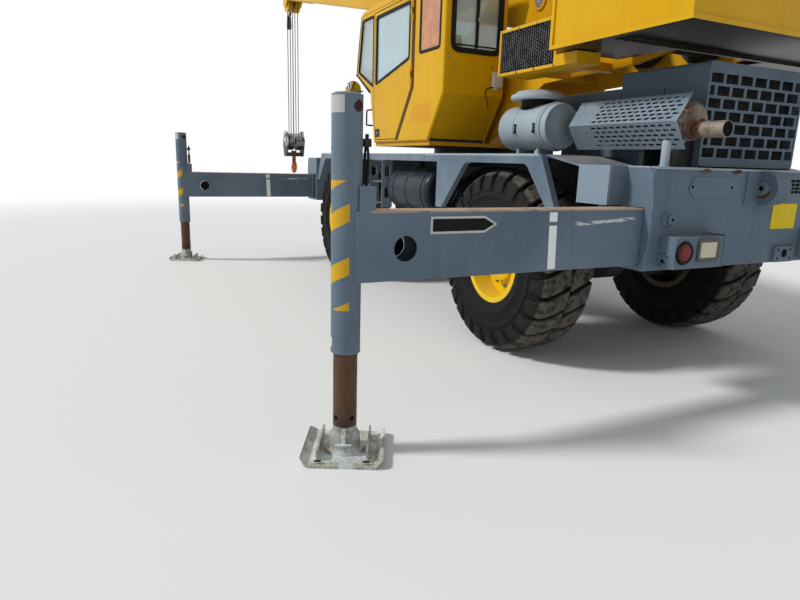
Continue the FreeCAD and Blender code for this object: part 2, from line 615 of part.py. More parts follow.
def cut(name, base, tools):
    """Take tools out of a base."""
    thing = doc.addObject("Part::Cut", name)
    thing.Base = base
    thing.Tool = tools[0] if len(tools) == 1 else fuse(f"{name}_tools", tools)
    return thing


def group(name, shapes):
    """Hold like solids that don't touch in one sub-part."""
    thing = doc.addObject("Part::Compound", name)
    thing.Links = shapes
    return thing


def part(thing, node):
    """Name a finished sub-part."""
    thing.Label = node
    parts.append(thing)
    return thing


def closed_sketch(body, role, name, outline):
    """Draw a closed outline whose corners follow expressions of the sizes."""
    sketch = body.newObject("Sketcher::SketchObject", name)
    plane = next(f for f in body.Origin.OriginFeatures if f.Role == role)
    sketch.AttachmentSupport = [(plane, "")]
    sketch.MapMode = "FlatFace"
    count = len(outline)
    corners = [
        FreeCAD.Vector(math.cos(math.tau * i / count), math.sin(math.tau * i / count), 0) * 1000
        for i in range(count)
    ]
    for i in range(count):
        sketch.addGeometry(Part.LineSegment(corners[i], corners[(i + 1) % count]), False)
    for i in range(count):
        sketch.addConstraint(Sketcher.Constraint("Coincident", i, 2, (i + 1) % count, 1))
    for i, corner in enumerate(outline):
        for kind, text in zip(("DistanceX", "DistanceY"), corner):
            number = sketch.addConstraint(Sketcher.Constraint(kind, -1, 1, i, 1, 1.0))
            sketch.setExpression(f"Constraints[{number}]", linked(text))
    return sketch


def prism(name, role, outline, depth, x="0", y="0", z="0"):
    """Pad an outline equally to both sides of an origin plane of its body."""
    body = doc.addObject("PartDesign::Body", name)
    sketch = closed_sketch(body, role, f"{name}_outline", outline)
    pad = body.newObject("PartDesign::Pad", f"{name}_pad")
    pad.Profile = sketch
    pad.Midplane = True
    drive(pad, {"Length": depth})
    place(body, x, y, z)
    return body


def side_prism(name, outline, y):
    """Pad a side view, given in X and Z, from a low to a high Y."""
    low, high = y
    return prism(name, "XZ_Plane", outline, f"({high}) - ({low})", y=f"(({high}) + ({low})) / 2")


def turned(name, axis, outline, x, y, z):
    """Revolve an outline of radius and offset about an axis through a point."""
    role, line = LATHE[axis]
    corners = tuple((offset, radius) if axis == "x" else (radius, offset) for radius, offset in outline)
    body = doc.addObject("PartDesign::Body", name)
    sketch = closed_sketch(body, role, f"{name}_outline", corners)
    spin = body.newObject("PartDesign::Revolution", f"{name}_turn")
    spin.Profile = sketch
    spin.ReferenceAxis = (sketch, [line])
    spin.Angle = 360
    place(body, x, y, z)
    return body


def shared(name, pieces):
    """Return the space that all the pieces fill."""
    thing = doc.addObject("Part::MultiCommon", name)
    thing.Shapes = pieces
    return thing


def parallel(edge, axis):
    """Tell whether an edge is straight and runs along an axis."""
    run = edge.Vertexes[-1].Point - edge.Vertexes[0].Point
    return edge.Curve.TypeId == "Part::GeomLine" and abs(abs(getattr(run, axis)) - run.Length) < SAME


def level(edge, axis, value):
    """Tell whether both ends of an edge have a value along an axis."""
    return all(abs(getattr(corner.Point, axis) - value) < SAME for corner in edge.Vertexes)


def circular(edge):
    """Tell whether an edge is a circle."""
    return edge.Curve.TypeId == "Part::GeomCircle"


def rounded(name, base, radius, chosen):
    """Round the edges of a base that a test picks, with a radius from the sizes."""
    doc.recompute()
    picked = [number for number, edge in enumerate(base.Shape.Edges, start=1) if chosen(edge)]
    if not picked:
        raise RuntimeError(f"{name} has no edge to round")
    thing = doc.addObject("Part::Fillet", name)
    thing.Base = base
    thing.Edges = [(number, VALUE[radius], VALUE[radius]) for number in picked]
    return thing


def behind(text):
    """Return the X of something that lies behind the slewing axis."""
    return f"slew_x - ({text})"


def ahead(text):
    """Return the X of something that lies ahead of the slewing axis."""
    return f"slew_x + ({text})"


def fore_aft(end, low, high):
    """Return low and high X of something at a distance from the slewing axis, at either end."""
    return (ahead(low), ahead(high)) if end == 1 else (behind(high), behind(low))


def build_frame():
    """Frame of two rails with cover plates, and the carrier of the slewing ring."""
    whole = (behind("box_inner_face - fit_gap"), ahead("box_inner_face - fit_gap"))
    inner = "frame_half - frame_plate"
    rails = [
        box(f"rail_{name}", whole, span(side, inner, "frame_half"), ("frame_bottom", "deck_top"))
        for name, side in SIDES
    ]
    across = (f"-({inner})", inner)
    floor = box("frame_floor", whole, across, ("frame_bottom", "frame_bottom + frame_plate"))
    cover = box("frame_cover", (behind("bay_front"), whole[1]), across,
                ("deck_top - frame_plate", "deck_top"))
    wall = box("bay_wall", (behind("bay_front"), behind("bay_front - frame_plate")), across,
               ("frame_bottom", "deck_top"))
    cone = doc.addObject("Part::Cone", "ring_cone")
    drive(cone, {
        "Radius1": "frame_half",
        "Radius2": "pedestal_radius",
        "Height": "pedestal_shoulder - pedestal_root",
    })
    place(cone, "slew_x", "0", "pedestal_root")
    drum = rod("ring_drum", "z", "slew_x", "0", ("pedestal_shoulder", "pedestal_top"), "pedestal_radius")
    part(fuse("frame", rails + [floor, cover, wall, cone, drum]), "chassis_frame")

    race = rod("race", "z", "slew_x", "0",
               ("pedestal_top + fit_gap", "pedestal_top + bearing_height"), "bearing_outer")
    bore = rod("race_bore", "z", "slew_x", "0",
               ("pedestal_top", "pedestal_top + 2 * bearing_height"), "bearing_inner")
    part(cut("bearing", race, [bore]), "slew_bearing")


def arch_outline():
    """Return the fender's side view, from its rear top corner round to the rear arch's leg."""
    low, tall = "leg_front_low", "deck_top - deck_rail"
    front, rear = "front_axle_ahead", "rear_axle_back"
    return (
        (behind("deck_rear"), "deck_top"),
        (ahead("deck_front"), "deck_top"),
        (ahead(f"{front} + arch_far + leg_wide"), "leg_rear_low"),
        (ahead(f"{front} + arch_far"), "leg_rear_low"),
        (ahead(f"{front} + arch_half"), tall),
        (ahead(f"{front} - arch_half"), tall),
        (ahead(f"{front} - arch_near"), low),
        (ahead(f"{front} - arch_near - leg_wide"), low),
        (ahead(f"{front} - arch_near - leg_wide"), tall),
        (behind(f"{rear} - arch_near - leg_wide"), tall),
        (behind(f"{rear} - arch_near - leg_wide"), low),
        (behind(f"{rear} - arch_near"), low),
        (behind(f"{rear} - arch_half"), tall),
        (behind(f"{rear} + arch_half"), tall),
        (behind(f"{rear} + arch_far"), "leg_rear_low"),
        (behind(f"{rear} + arch_far + leg_wide"), "leg_rear_low"),
    )


def ladder(name, side):
    """Return a ladder's rails, each with two oval holes, its rungs and the step beside it."""
    y = span(side, "deck_edge - ladder_deep", "deck_edge")
    middle = f"{side} * (deck_edge - ladder_deep / 2)"
    pieces = [box(f"{name}_step",
                  (ahead("ladder_front"), ahead("front_axle_ahead - arch_near - leg_wide + lap")),
                  span(side, "deck_edge - ladder_deep + lap", "deck_edge - lap"),
                  ("step_high - ladder_plate", "step_high"))]
    for place_name, x in (("rear", "ladder_rear"), ("front", "ladder_front")):
        rail = box(f"{name}_{place_name}", around(ahead(x), "ladder_plate / 2"), y,
                   ("ladder_low", "deck_top - deck_plate / 2"))
        holes = []
        for hole in range(2):
            level_z = f"ladder_low + rung_first + ({2 * hole + 1} / 2) * rung_pitch"
            through = around(ahead(x), "ladder_plate")
            holes.append(box(f"{name}_{place_name}_slot{hole}", through,
                             around(middle, "slot_radius"), around(level_z, "slot_run / 2")))
            for end, sign in (("low", "-"), ("top", "+")):
                holes.append(rod(f"{name}_{place_name}_{end}{hole}", "x", through, middle,
                                 f"{level_z} {sign} slot_run / 2", "slot_radius"))
        pieces.append(cut(f"{name}_{place_name}_rail", rail, holes))
    for rung in range(3):
        pieces.append(rod(f"{name}_rung{rung}", "x", (ahead("ladder_rear"), ahead("ladder_front")),
                          middle, f"ladder_low + rung_first + {rung} * rung_pitch", "rung_radius"))
    return pieces


def build_decks():
    """Fenders, decks and ladders on both sides, with the locker behind the left rear wheel."""
    sides = []
    arch_top = VALUE["deck_top"] - VALUE["deck_rail"]
    for name, side in SIDES:
        sheet = side_prism(f"skirt_{name}", arch_outline(),
                           span(side, "deck_edge - skirt_thick", "deck_edge"))
        wheel_side = VALUE["slew_x"] + VALUE["front_axle_ahead"], VALUE["slew_x"] - VALUE["rear_axle_back"]
        skirt = rounded(f"skirt_round_{name}", sheet, "arch_round", lambda edge: (
            parallel(edge, "y") and level(edge, "z", arch_top)
            and min(abs(edge.Vertexes[0].X - x) for x in wheel_side) < VALUE["arch_half"] + SAME))
        inner = span(side, "frame_half + fit_gap", "deck_edge - lap")
        plate = box(f"deck_{name}", (behind("deck_rear"), ahead("deck_front")), inner,
                    ("deck_top - deck_plate", "deck_top"))
        round_gap = rod(f"ring_gap_{name}", "z", "slew_x", "0",
                        ("deck_top - 2 * deck_plate", "deck_top + deck_plate"), "pedestal_radius + fit_gap")
        riser = box(f"riser_{name}", (behind("deck_rear"), behind("deck_rear - deck_plate")),
                    span(side, "frame_half + fit_gap", "ramp_in"), ("step_top - deck_plate", "deck_top"))
        low_deck = box(f"low_deck_{name}",
                       (behind("box_inner_face - fit_gap"), behind("deck_rear - deck_plate")),
                       span(side, "frame_half + fit_gap", "ramp_in"), ("step_top - deck_plate", "step_top"))
        ramp = side_prism(f"ramp_{name}", (
            (behind("deck_rear - lap"), "deck_top"),
            (behind("locker_front"), "step_top"),
            (behind("box_inner_face - fit_gap"), "step_top"),
            (behind("box_inner_face - fit_gap"), "step_top - deck_plate"),
            (behind("locker_front"), "step_top - deck_plate"),
            (behind("deck_rear - lap"), "deck_top - deck_plate"),
        ), span(side, "ramp_in - lap", "locker_edge"))
        gusset = side_prism(f"gusset_{name}", (
            (behind("deck_rear - lap"), "deck_top"),
            (behind("locker_front"), "step_top"),
            (behind("locker_front"), "step_top - deck_plate"),
            (behind("deck_rear - lap"), "step_top - deck_plate"),
        ), span(side, "ramp_in - deck_plate", "ramp_in"))
        joined = [skirt, cut(f"deck_cut_{name}", plate, [round_gap]), riser, low_deck, ramp, gusset]
        joined += ladder(f"ladder_{name}", side)
        if side == 1:
            joined.append(box("locker", (behind("locker_rear"), behind("locker_front")),
                              ("box_half + flange_thick + fit_gap", "locker_edge"),
                              ("locker_low", "step_top")))
        sides.append(fuse(f"side_{name}", joined))
    part(group("decks", sides), "side_decks")


def beam_x(end, side):
    """Return the X of a beam and jack: the left ones are the outer pair."""
    inset = "0" if side == 1 else "beam_pitch"
    return ahead(f"{end} * (jack_near - {inset})")


def end_flange(name, end, side):
    """Return the bevelled plate that closes an outrigger box at one side."""
    face, crown = "box_face", "box_face + flange_out"
    reach = ahead if end == 1 else behind
    return side_prism(name, (
        (reach("box_inner_face"), "box_floor"),
        (reach(face), "box_floor"),
        (reach(crown), "crown_low"),
        (reach(crown), "crown_top"),
        (reach(face), "step_top - end_chamfer"),
        (reach(f"{face} - end_chamfer"), "step_top"),
        (reach("box_inner_face"), "step_top"),
    ), span(side, "box_half", "box_half + flange_thick"))


def tow_lug():
    """Return the rear tow lug: a rounded block on a mounting plate, with a thick pin through it."""
    pin_x = behind("box_face + tow_out")
    across = ("-tow_half", "tow_half")
    return [
        box("tow_foot", (behind("box_face + tow_plate"), behind("box_face - lap")),
            ("-tow_plate_half", "tow_plate_half"), around("tow_high", "tow_radius")),
        box("tow_block", (pin_x, behind("box_face")), across, around("tow_high", "tow_radius")),
        rod("tow_eye", "y", pin_x, across, "tow_high", "tow_radius"),
        rod("tow_pin", "y", pin_x, around("0", "tow_half + pin_head"), "tow_high", "tow_pin"),
    ]


def build_outrigger_boxes():
    """Front and rear boxes, each with two channels that go right through."""
    boxes = []
    for name, end in ENDS:
        x = fore_aft(end, "box_inner_face", "box_face")
        shell = box(f"box_{name}", x, ("-box_half", "box_half"), ("box_floor", "step_top"))
        flanges = [end_flange(f"box_flange_{name}_{side_name}", end, side) for side_name, side in SIDES]
        fused = [shell] + flanges
        if end == -1:
            fused += tow_lug()
        channels = [
            box(f"channel_{name}_{side_name}", around(beam_x(end, side), "beam_wide / 2 + beam_gap"),
                ("-box_half - 2 * flange_thick", "box_half + 2 * flange_thick"),
                ("beam_low - beam_gap", "beam_low + beam_high + beam_gap"))
            for side_name, side in SIDES
        ]
        hollow = cut(f"box_hollow_{name}", fuse(f"box_plates_{name}", fused), channels)
        pads = []
        for side_name, side in SIDES:
            middle = beam_x(end, side)
            y = span(side, "box_half - pad_long", "box_half")
            pads.append(box(f"pad_low_{name}_{side_name}", around(middle, "beam_wide / 3"), y,
                            ("beam_low - 2 * beam_gap", "beam_low - fit_gap")))
            pads.append(box(f"pad_top_{name}_{side_name}", around(middle, "beam_wide / 3"), y,
                            ("beam_low + beam_high + fit_gap", "beam_low + beam_high + 2 * beam_gap")))
        boxes.append(fuse(f"box_whole_{name}", [hollow] + pads))
    part(group("boxes", boxes), "outrigger_boxes")


def build_outriggers():
    """Four beams with their jack tubes, and four jack legs with their floats."""
    for end_name, end in ENDS:
        for side_name, side in SIDES:
            tag = f"{end_name}_{side_name}"
            x = beam_x(end, side)
            y = f"{side} * jack_out"
            build_beam(tag, x, side)
            build_leg(tag, x, y)


def build_beam(tag, x, side):
    """A rectangular tube with a hole through it, and the jack tube at its outer end."""
    z = ("beam_low", "beam_low + beam_high")
    long = span(side, "beam_root", "jack_out - beam_end")
    shell = box(f"beam_{tag}", around(x, "beam_wide / 2"), long, z)
    inside = box(f"beam_inside_{tag}", around(x, "beam_wide / 2 - beam_wall"),
                 span(side, "beam_root - beam_wall", f"jack_out - {TUBE} - beam_wall"),
                 ("beam_low + beam_wall", "beam_low + beam_high - beam_wall"))
    sight = rod(f"sight_{tag}", "x", around(x, "beam_wide"), f"{side} * (jack_out - sight_back)",
                "beam_low + sight_high", "sight_hole")
    hollow = cut(f"beam_hollow_{tag}", shell, [inside, sight])
    valve = box(f"valve_{tag}", around(x, "beam_wide / 2"),
                span(side, "jack_out - valve_long", f"jack_out - {TUBE} / 2"),
                ("beam_low + beam_high - lap", "beam_low + beam_high + valve_high"))
    tube = rod(f"tube_{tag}", "z", x, f"{side} * jack_out", ("tube_low", "tube_top"), TUBE)
    bore = rod(f"tube_bore_{tag}", "z", x, f"{side} * jack_out",
               ("tube_low - tube_wall", "tube_top - tube_wall"), f"{TUBE} - tube_wall")
    whole = fuse(f"beam_tube_{tag}", [hollow, valve, tube])
    part(cut(f"beam_bored_{tag}", whole, [bore]), f"{tag}_outrigger_beam")


def build_leg(tag, x, y):
    """A jack rod that stands in the socket of its float, which hangs turned as it was left."""
    shank = rod(f"rod_{tag}", "z", x, y, ("socket_high + fit_gap", "rod_top"), "rod_radius")
    spigot = rod(f"spigot_{tag}", "z", x, y, ("spigot_low", "socket_high + lap"), "spigot_radius")
    plate = box(f"float_{tag}", around("0", "float_half - float_lip"), around("0", "float_half"),
                ("0", "float_plate"))
    slab = box(f"float_slab_{tag}", around("0", "float_half"), around("0", "float_half"),
               ("-lap", "float_lip + lap"))
    plan = rounded(f"float_plan_{tag}", slab, "float_round", lambda edge: parallel(edge, "z"))
    lips = []
    for name, sign in (("back", -1), ("front", 1)):
        edge = f"{sign} * (float_half - float_lip)"
        top = f"{sign} * float_half"
        outline = (
            (edge, "0"),
            (top, "float_lip - float_plate"),
            (top, "float_lip"),
            (edge, "float_plate"),
        )
        lip = prism(f"lip_{name}_{tag}", "XZ_Plane", outline, "2 * float_half")
        lips.append(shared(f"lip_round_{name}_{tag}", [lip, plan]))
        lips.append(box(f"bar_{name}_{tag}", around(f"{sign} * float_bar_out", "float_bar_thick / 2"),
                        around("0", "float_bar_half"), ("float_plate - lap", "float_bar_high")))
    socket = turned(f"socket_{tag}", "z", (
        ("0", "0"),
        (f"{SOCKET} + socket_ring", "0"),
        (f"{SOCKET} + socket_ring", "2 * float_plate"),
        (SOCKET, "2 * float_plate"),
        (SOCKET, "socket_high - socket_taper"),
        (f"{SOCKET} - socket_wall / 2", "socket_high"),
        ("0", "socket_high"),
    ), "0", "0", "0")
    bore = rod(f"socket_bore_{tag}", "z", "0", "0",
               ("spigot_low - fit_gap", "socket_high * 2"), "spigot_radius + fit_gap")
    float_whole = cut(f"float_bored_{tag}", fuse(f"float_whole_{tag}", [plate, socket] + lips), [bore])
    drive(float_whole, {"Placement.Rotation.Angle": f"{tag}_turn"})
    place(float_whole, x, y)
    leg = fuse(f"leg_rod_{tag}", [shank, spigot])
    part(group(f"leg_{tag}", [leg, float_whole]), f"{tag}_jack_leg")


def axle_x(end):
    """Return the X of an axle."""
    return ahead("front_axle_ahead") if end == 1 else behind("rear_axle_back")


def build_axles():
    """Two driven axle housings with yokes at their ends, bolted up to the frame."""
    housings = []
    for name, end in ENDS:
        x = axle_x(end)
        y_end = "kingpin_y - yoke_web + lap"
        nose = "bowl_radius + nose_long"
        half = (
            ("bowl_radius", "bowl_wide / 2"),
            ("axle_radius", "bowl_taper / 2"),
            ("axle_radius", y_end),
            ("0", y_end),
        )
        mirrored = tuple((radius, f"-({offset})") for radius, offset in reversed(half))
        pieces = [
            turned(f"axle_{name}", "y", half + mirrored, x, "0", "tyre_radius"),
            rod(f"nose_{name}", "x", (x, f"{x} + {nose}") if end == -1 else (f"{x} - ({nose})", x), "0",
                "shaft_high", "nose_radius"),
        ]
        for side_name, side in SIDES:
            tag = f"{name}_{side_name}"
            pieces.append(box(f"axle_seat_{tag}", around(x, "seat_half"),
                              span(side, "seat_inner", "seat_outer"),
                              ("tyre_radius", "frame_bottom - fit_gap")))
            pieces.append(box(f"yoke_web_{tag}", around(x, "yoke_half"),
                              span(side, "kingpin_y - yoke_web", "kingpin_y - yoke_web + yoke_plate"),
                              around("tyre_radius", "knuckle_half + fit_gap + yoke_plate")))
            for arm, sign in (("low", -1), ("top", 1)):
                near = f"tyre_radius + {sign} * (knuckle_half + fit_gap)"
                far = f"tyre_radius + {sign} * (knuckle_half + fit_gap + yoke_plate)"
                plate = box(f"yoke_{arm}_{tag}", around(x, "yoke_half"),
                            span(side, "kingpin_y - yoke_web", "kingpin_y + yoke_reach"),
                            (near, far) if sign == 1 else (far, near))
                pieces.append(cut(f"yoke_bored_{arm}_{tag}", plate, [
                    rod(f"yoke_bore_{arm}_{tag}", "z", x, f"{side} * kingpin_y",
                        around(near, "2 * yoke_plate"), "kingpin_radius + fit_gap")]))
        housings.append(fuse(f"housing_{name}", pieces))
    part(group("housings", housings), "axle_housings")


def build_drive_line():
    """Gearbox under the frame and the two propeller shafts."""
    case = box("gearbox", (behind("gearbox_rear"), behind("gearbox_front")),
               ("-gearbox_half", "gearbox_half"), ("gearbox_low", "frame_bottom - fit_gap"))
    nose = "bowl_radius + nose_long + fit_gap"
    rear_run = (f"{behind('rear_axle_back')} + {nose}", behind("gearbox_rear - lap"))
    front_run = (behind("gearbox_front + lap"), f"{ahead('front_axle_ahead')} - ({nose})")
    rear = rod("rear_shaft", "x", rear_run, "0", "shaft_high", "shaft_radius")
    front = rod("front_shaft", "x", front_run, "0", "shaft_high", "shaft_radius")
    part(fuse("drive_line_whole", [case, rear, front]), "drive_line")


def build_wheels():
    """Knuckles, rims and tyres at the four corners, and a tie rod for each axle."""
    for end_name, end in ENDS:
        for side_name, side in SIDES:
            tag = f"{end_name}_{side_name}"
            build_knuckle(tag, axle_x(end), end, side)
            build_rim(tag, axle_x(end), side)
            build_tyre(tag, axle_x(end), side)
        build_tie_rod(end_name, end)


def build_knuckle(tag, x, end, side):
    """A trunnion on kingpins with a flange, a spindle and a steering arm."""
    y = f"{side} * kingpin_y"
    trunnion = rod(f"trunnion_{tag}", "z", x, y, around("tyre_radius", "knuckle_half"),
                   "knuckle_radius")
    pins = rod(f"kingpins_{tag}", "z", x, y,
               around("tyre_radius", "knuckle_half + yoke_plate + pin_out"), "kingpin_radius")
    flange = rod(f"knuckle_flange_{tag}", "y", x,
                 span(side, "kingpin_y + flange_in", "kingpin_y + flange_in + flange_width"),
                 "tyre_radius", "flange_radius")
    spindle = rod(f"spindle_{tag}", "y", x, span(side, "kingpin_y", "half_track + spindle_out"),
                  "tyre_radius", "spindle_radius")
    inner = -end
    outline = (
        (f"{x} + {inner} * (arm_back + arm_tip)", f"{side} * (kingpin_y - arm_tip)"),
        (f"{x} + {inner} * (arm_back + arm_tip)", f"{side} * (kingpin_y + arm_tip)"),
        (x, f"{side} * (kingpin_y + arm_root)"),
        (x, f"{side} * (kingpin_y - arm_root)"),
    )
    arm = prism(f"arm_{tag}", "XY_Plane", outline, "arm_thick", z="tyre_radius - arm_drop")
    part(fuse(f"knuckle_{tag}", [trunnion, pins, flange, spindle, arm]), f"{tag}_steering_knuckle")


def build_rim(tag, x, side):
    """A dished wheel with a ribbed disc and a planetary hub, turned from one outline."""
    edge = "bead_half + fit_gap"
    barrel = "bead_radius - fit_gap"
    inside = "bead_radius - rim_wall"
    face = "disc_out + disc_thick"
    profile = (
        ("spindle_radius + fit_gap", "-disc_out"),
        ("hub_radius", "-disc_out"),
        ("hub_radius", "disc_out"),
        (inside, "disc_out"),
        (inside, f"-({edge} + rim_edge)"),
        (RIM_FLANGE, f"-({edge} + rim_edge)"),
        (RIM_FLANGE, f"-({edge})"),
        (barrel, f"-({edge})"),
        (barrel, edge),
        (RIM_FLANGE, edge),
        (RIM_FLANGE, f"{edge} + rim_edge"),
        (inside, f"{edge} + rim_edge"),
        (inside, face),
        (f"{inside} - 2 * rim_wall", face),
        (f"{inside} - 2 * rim_wall", f"{face} + dish_rib"),
        (f"{inside} - 3 * rim_wall", f"{face} + dish_rib"),
        ("hub_radius", face),
        ("hub_radius", "hub_out - disc_thick"),
        ("hub_face", "hub_out"),
        ("0", "hub_out"),
        ("0", "spindle_out + fit_gap"),
        ("spindle_radius + fit_gap", "spindle_out + fit_gap"),
    )
    outline = tuple((radius, f"{side} * ({offset})") for radius, offset in profile)
    part(turned(f"rim_{tag}", "y", outline, x, f"{side} * half_track", "tyre_radius"), f"{tag}_rim")


def build_tyre(tag, x, side):
    """A wide earthmover tyre, turned from one outline."""
    bead = (
        ("bead_radius", "bead_half"),
        (f"{RIM_FLANGE} + fit_gap", "bead_half"),
        (f"{RIM_FLANGE} + fit_gap", "bead_half + rim_edge"),
    )
    walls = tuple((f"tyre_radius * {share}", f"tyre_half * {wide}") for share, wide in TYRE_PROFILE)
    right = bead + walls
    left = tuple((radius, f"-({offset})") for radius, offset in reversed(right))
    part(turned(f"tyre_{tag}", "y", right + left, x, f"{side} * half_track", "tyre_radius"), f"{tag}_tyre")


def build_tie_rod(end_name, end):
    """A straight rod between the two steering arms of an axle, with a ball housing at each end."""
    x = f"{axle_x(end)} - {end} * arm_back"
    top = "tyre_radius - arm_drop - arm_thick / 2 - fit_gap"
    bar = rod(f"tie_{end_name}", "y", x, ("-kingpin_y", "kingpin_y"), f"{top} - tie_eye_high / 2",
              "tie_radius")
    eyes = [
        rod(f"tie_eye_{end_name}_{name}", "z", x, f"{side} * kingpin_y", (f"{top} - tie_eye_high", top),
            "tie_eye")
        for name, side in SIDES
    ]
    part(fuse(f"tie_rod_{end_name}", [bar] + eyes), f"{end_name}_tie_rod")


def hood_outline(rear, front, over, low):
    """Return the hood's side view between its faces, a distance under its tops and above its seats."""
    seat = "fit_gap" if low == "0" else f"-({low})"
    return (
        (behind(rear), f"step_top + {seat}"),
        (behind(f"deck_rear + {over}"), f"step_top + {seat}"),
        (behind(f"deck_rear + {over}"), f"deck_top + {seat}"),
        (behind(front), f"deck_top + {seat}"),
        (behind(front), f"hood_low_top - ({low})"),
        (behind(f"hood_step + ({low})"), f"hood_low_top - ({low})"),
        (behind(f"hood_step + ({low})"), f"hood_top - ({low})"),
        (behind(rear), f"hood_top - ({low})"),
    )


def build_engine():
    """Hood with a step in its top, the closed engine under it, and the radiator grille."""
    top_edges = (VALUE["hood_top"], VALUE["hood_low_top"])

    def upper(edge):
        return parallel(edge, "x") and any(level(edge, "z", top) for top in top_edges)
    outer = side_prism("hood_outer", hood_outline("hood_rear", "hood_front", "hood_wall", "0"),
                       ("-hood_half", "hood_half"))
    inner = side_prism("hood_inner",
                       hood_outline("hood_rear + hood_wall", "hood_front + hood_wall", "-hood_wall",
                                    "hood_wall"),
                       ("hood_wall - hood_half", "hood_half - hood_wall"))
    part(cut("hood", rounded("hood_round_edges", outer, "hood_round", upper), [inner]), "engine_hood")

    part(box("engine", (behind("engine_rear"), behind("engine_front")), ("-engine_half", "engine_half"),
             ("frame_bottom + frame_plate + fit_gap", "engine_top")), "engine_block")

    plate = box("grille", (behind("hood_rear + fit_gap + grille_thick"), behind("hood_rear + fit_gap")),
                ("-hood_half", "hood_half"), ("grille_low", "hood_top"))
    cells = []
    for row in range(GRILLE_ROWS):
        count = GRILLE_COLUMNS - row % 2
        for column in range(count):
            middle = f"({2 * column + 1 - count} / 2) * cell_pitch_y"
            cells.append(box(f"cell_{row}_{column}",
                             (behind("hood_rear + 2 * grille_thick"), behind("hood_rear - grille_thick")),
                             around(middle, "cell_wide / 2"),
                             around(f"cell_first_z + {row} * cell_pitch_z", "cell_high / 2")))
    openings = group("grille_cells", cells)
    part(cut("grille_cut", rounded("grille_round_edges", plate, "hood_round", upper), [openings]),
         "radiator_grille")


def build_exhaust():
    """Muffler with its tail pipe on two saddles, and the folded and slotted heat shield outside it."""
    can = rounded("muffler_can_round", rod(
        "muffler_can", "x", (behind("muffler_rear"), behind("muffler_front")), "muffler_y",
        "muffler_z", "muffler_radius"), "muffler_round", circular)
    tail = rod("tail", "x", (behind("tail_rear"), behind("muffler_rear - lap")), "muffler_y", "tail_z",
               "tail_radius")
    bore = rod("tail_bore", "x", (behind("tail_rear + lap"), behind("muffler_rear + tail_wall")),
               "muffler_y", "tail_z", "tail_radius - tail_wall")
    saddles = [
        box(f"muffler_{x}", around(behind(x), "saddle_half"), ("hood_half + fit_gap", "saddle_out"),
            ("step_top + fit_gap", "muffler_z"))
        for x in ("saddle_rear", "saddle_front")
    ]
    part(cut("muffler_bored", fuse("muffler_whole", [can, tail] + saddles), [bore]), "muffler")

    outline = (
        ("shield_top_y", "shield_top_z"),
        ("shield_ridge_y", "shield_ridge_z"),
        ("shield_low_y", "shield_low_z"),
        ("shield_low_y - shield_thick", "shield_low_z"),
        ("shield_ridge_y - shield_thick", "shield_ridge_z"),
        ("shield_top_y - shield_thick", "shield_top_z"),
    )
    sheet = prism("shield_sheet", "YZ_Plane", outline, "shield_rear - shield_front",
                  x=behind("(shield_rear + shield_front) / 2"))
    slots = []
    for name, sign, rows in SLOT_ROWS:
        for row in range(rows):
            z = f"shield_ridge_z + {sign} * (slot_first + {row} * slot_rise)"
            for column in range(SLOT_COLUMNS):
                x = behind(f"slot_front + ({2 * column + row % 2} / 2) * slot_pitch")
                slots.append(box(f"slot_{name}_{row}_{column}", around(x, "slot_long / 2"),
                                 ("shield_low_y - slot_pitch", "shield_ridge_y + slot_pitch"),
                                 around(z, "slot_high / 2")))
    slotted = cut("shield_slotted", sheet, [group("shield_slots", slots)])
    stays = [
        box(f"shield_stay_{name}", around(behind(x), "saddle_half"),
            ("muffler_y + muffler_radius + fit_gap", "shield_ridge_y - shield_thick"),
            ("stay_low", "stay_top"))
        for name, x in (("rear", "saddle_rear"), ("front", "muffler_front + muffler_radius"))
    ]
    part(fuse("shield", [slotted] + stays), "muffler_shield")


def build_air_cleaner():
    """A banded canister on two feet, with a mushroom rain cap over its neck."""
    can = rounded("cleaner_can_round", rod(
        "cleaner_can", "x", (behind("cleaner_rear"), behind("cleaner_front")), "cleaner_y",
        "cleaner_z", "cleaner_radius"), "cleaner_round", lambda edge: (
            circular(edge) and level(edge, "x", VALUE["slew_x"] - VALUE["cleaner_front"])))
    cover = rod("cleaner_cover", "x", (behind("cleaner_rear + cover_deep"), behind("cleaner_rear - lap")),
                "cleaner_y", "cleaner_z", "cover_radius")
    bands = [
        rod(f"cleaner_{x}", "x", around(behind(x), half), "cleaner_y", "cleaner_z",
            "cleaner_radius + cleaner_band")
        for x, half in (("ring_back", "ring_half"), ("band_rear", "ring_half / 2"),
                        ("band_front", "ring_half / 2"))
    ]
    rim_top, shoulder = "cap_rim_z + cap_rim", "cap_rim_z + cap_rim + cap_step"
    cap = turned("rain_cap", "z", (
        ("0", "cleaner_z"),
        ("neck_radius", "cleaner_z"),
        ("neck_radius", "cap_rim_z"),
        ("cap_radius", "cap_rim_z"),
        ("cap_radius", rim_top),
        ("cap_shoulder", shoulder),
        ("cap_shoulder", f"{shoulder} + cleaner_band"),
        ("cap_crown", "cap_top_z"),
        ("0", "cap_top_z"),
    ), behind("cap_back"), "cleaner_y", "0")
    feet = [
        box(f"cleaner_foot_{x}", around(behind(x), "saddle_half"), around("cleaner_y", "foot_wide"),
            ("deck_top + fit_gap", "cleaner_z"))
        for x in ("band_rear", "foot_front")
    ]
    part(fuse("cleaner", [can, cover, cap] + bands + feet), "air_cleaner")


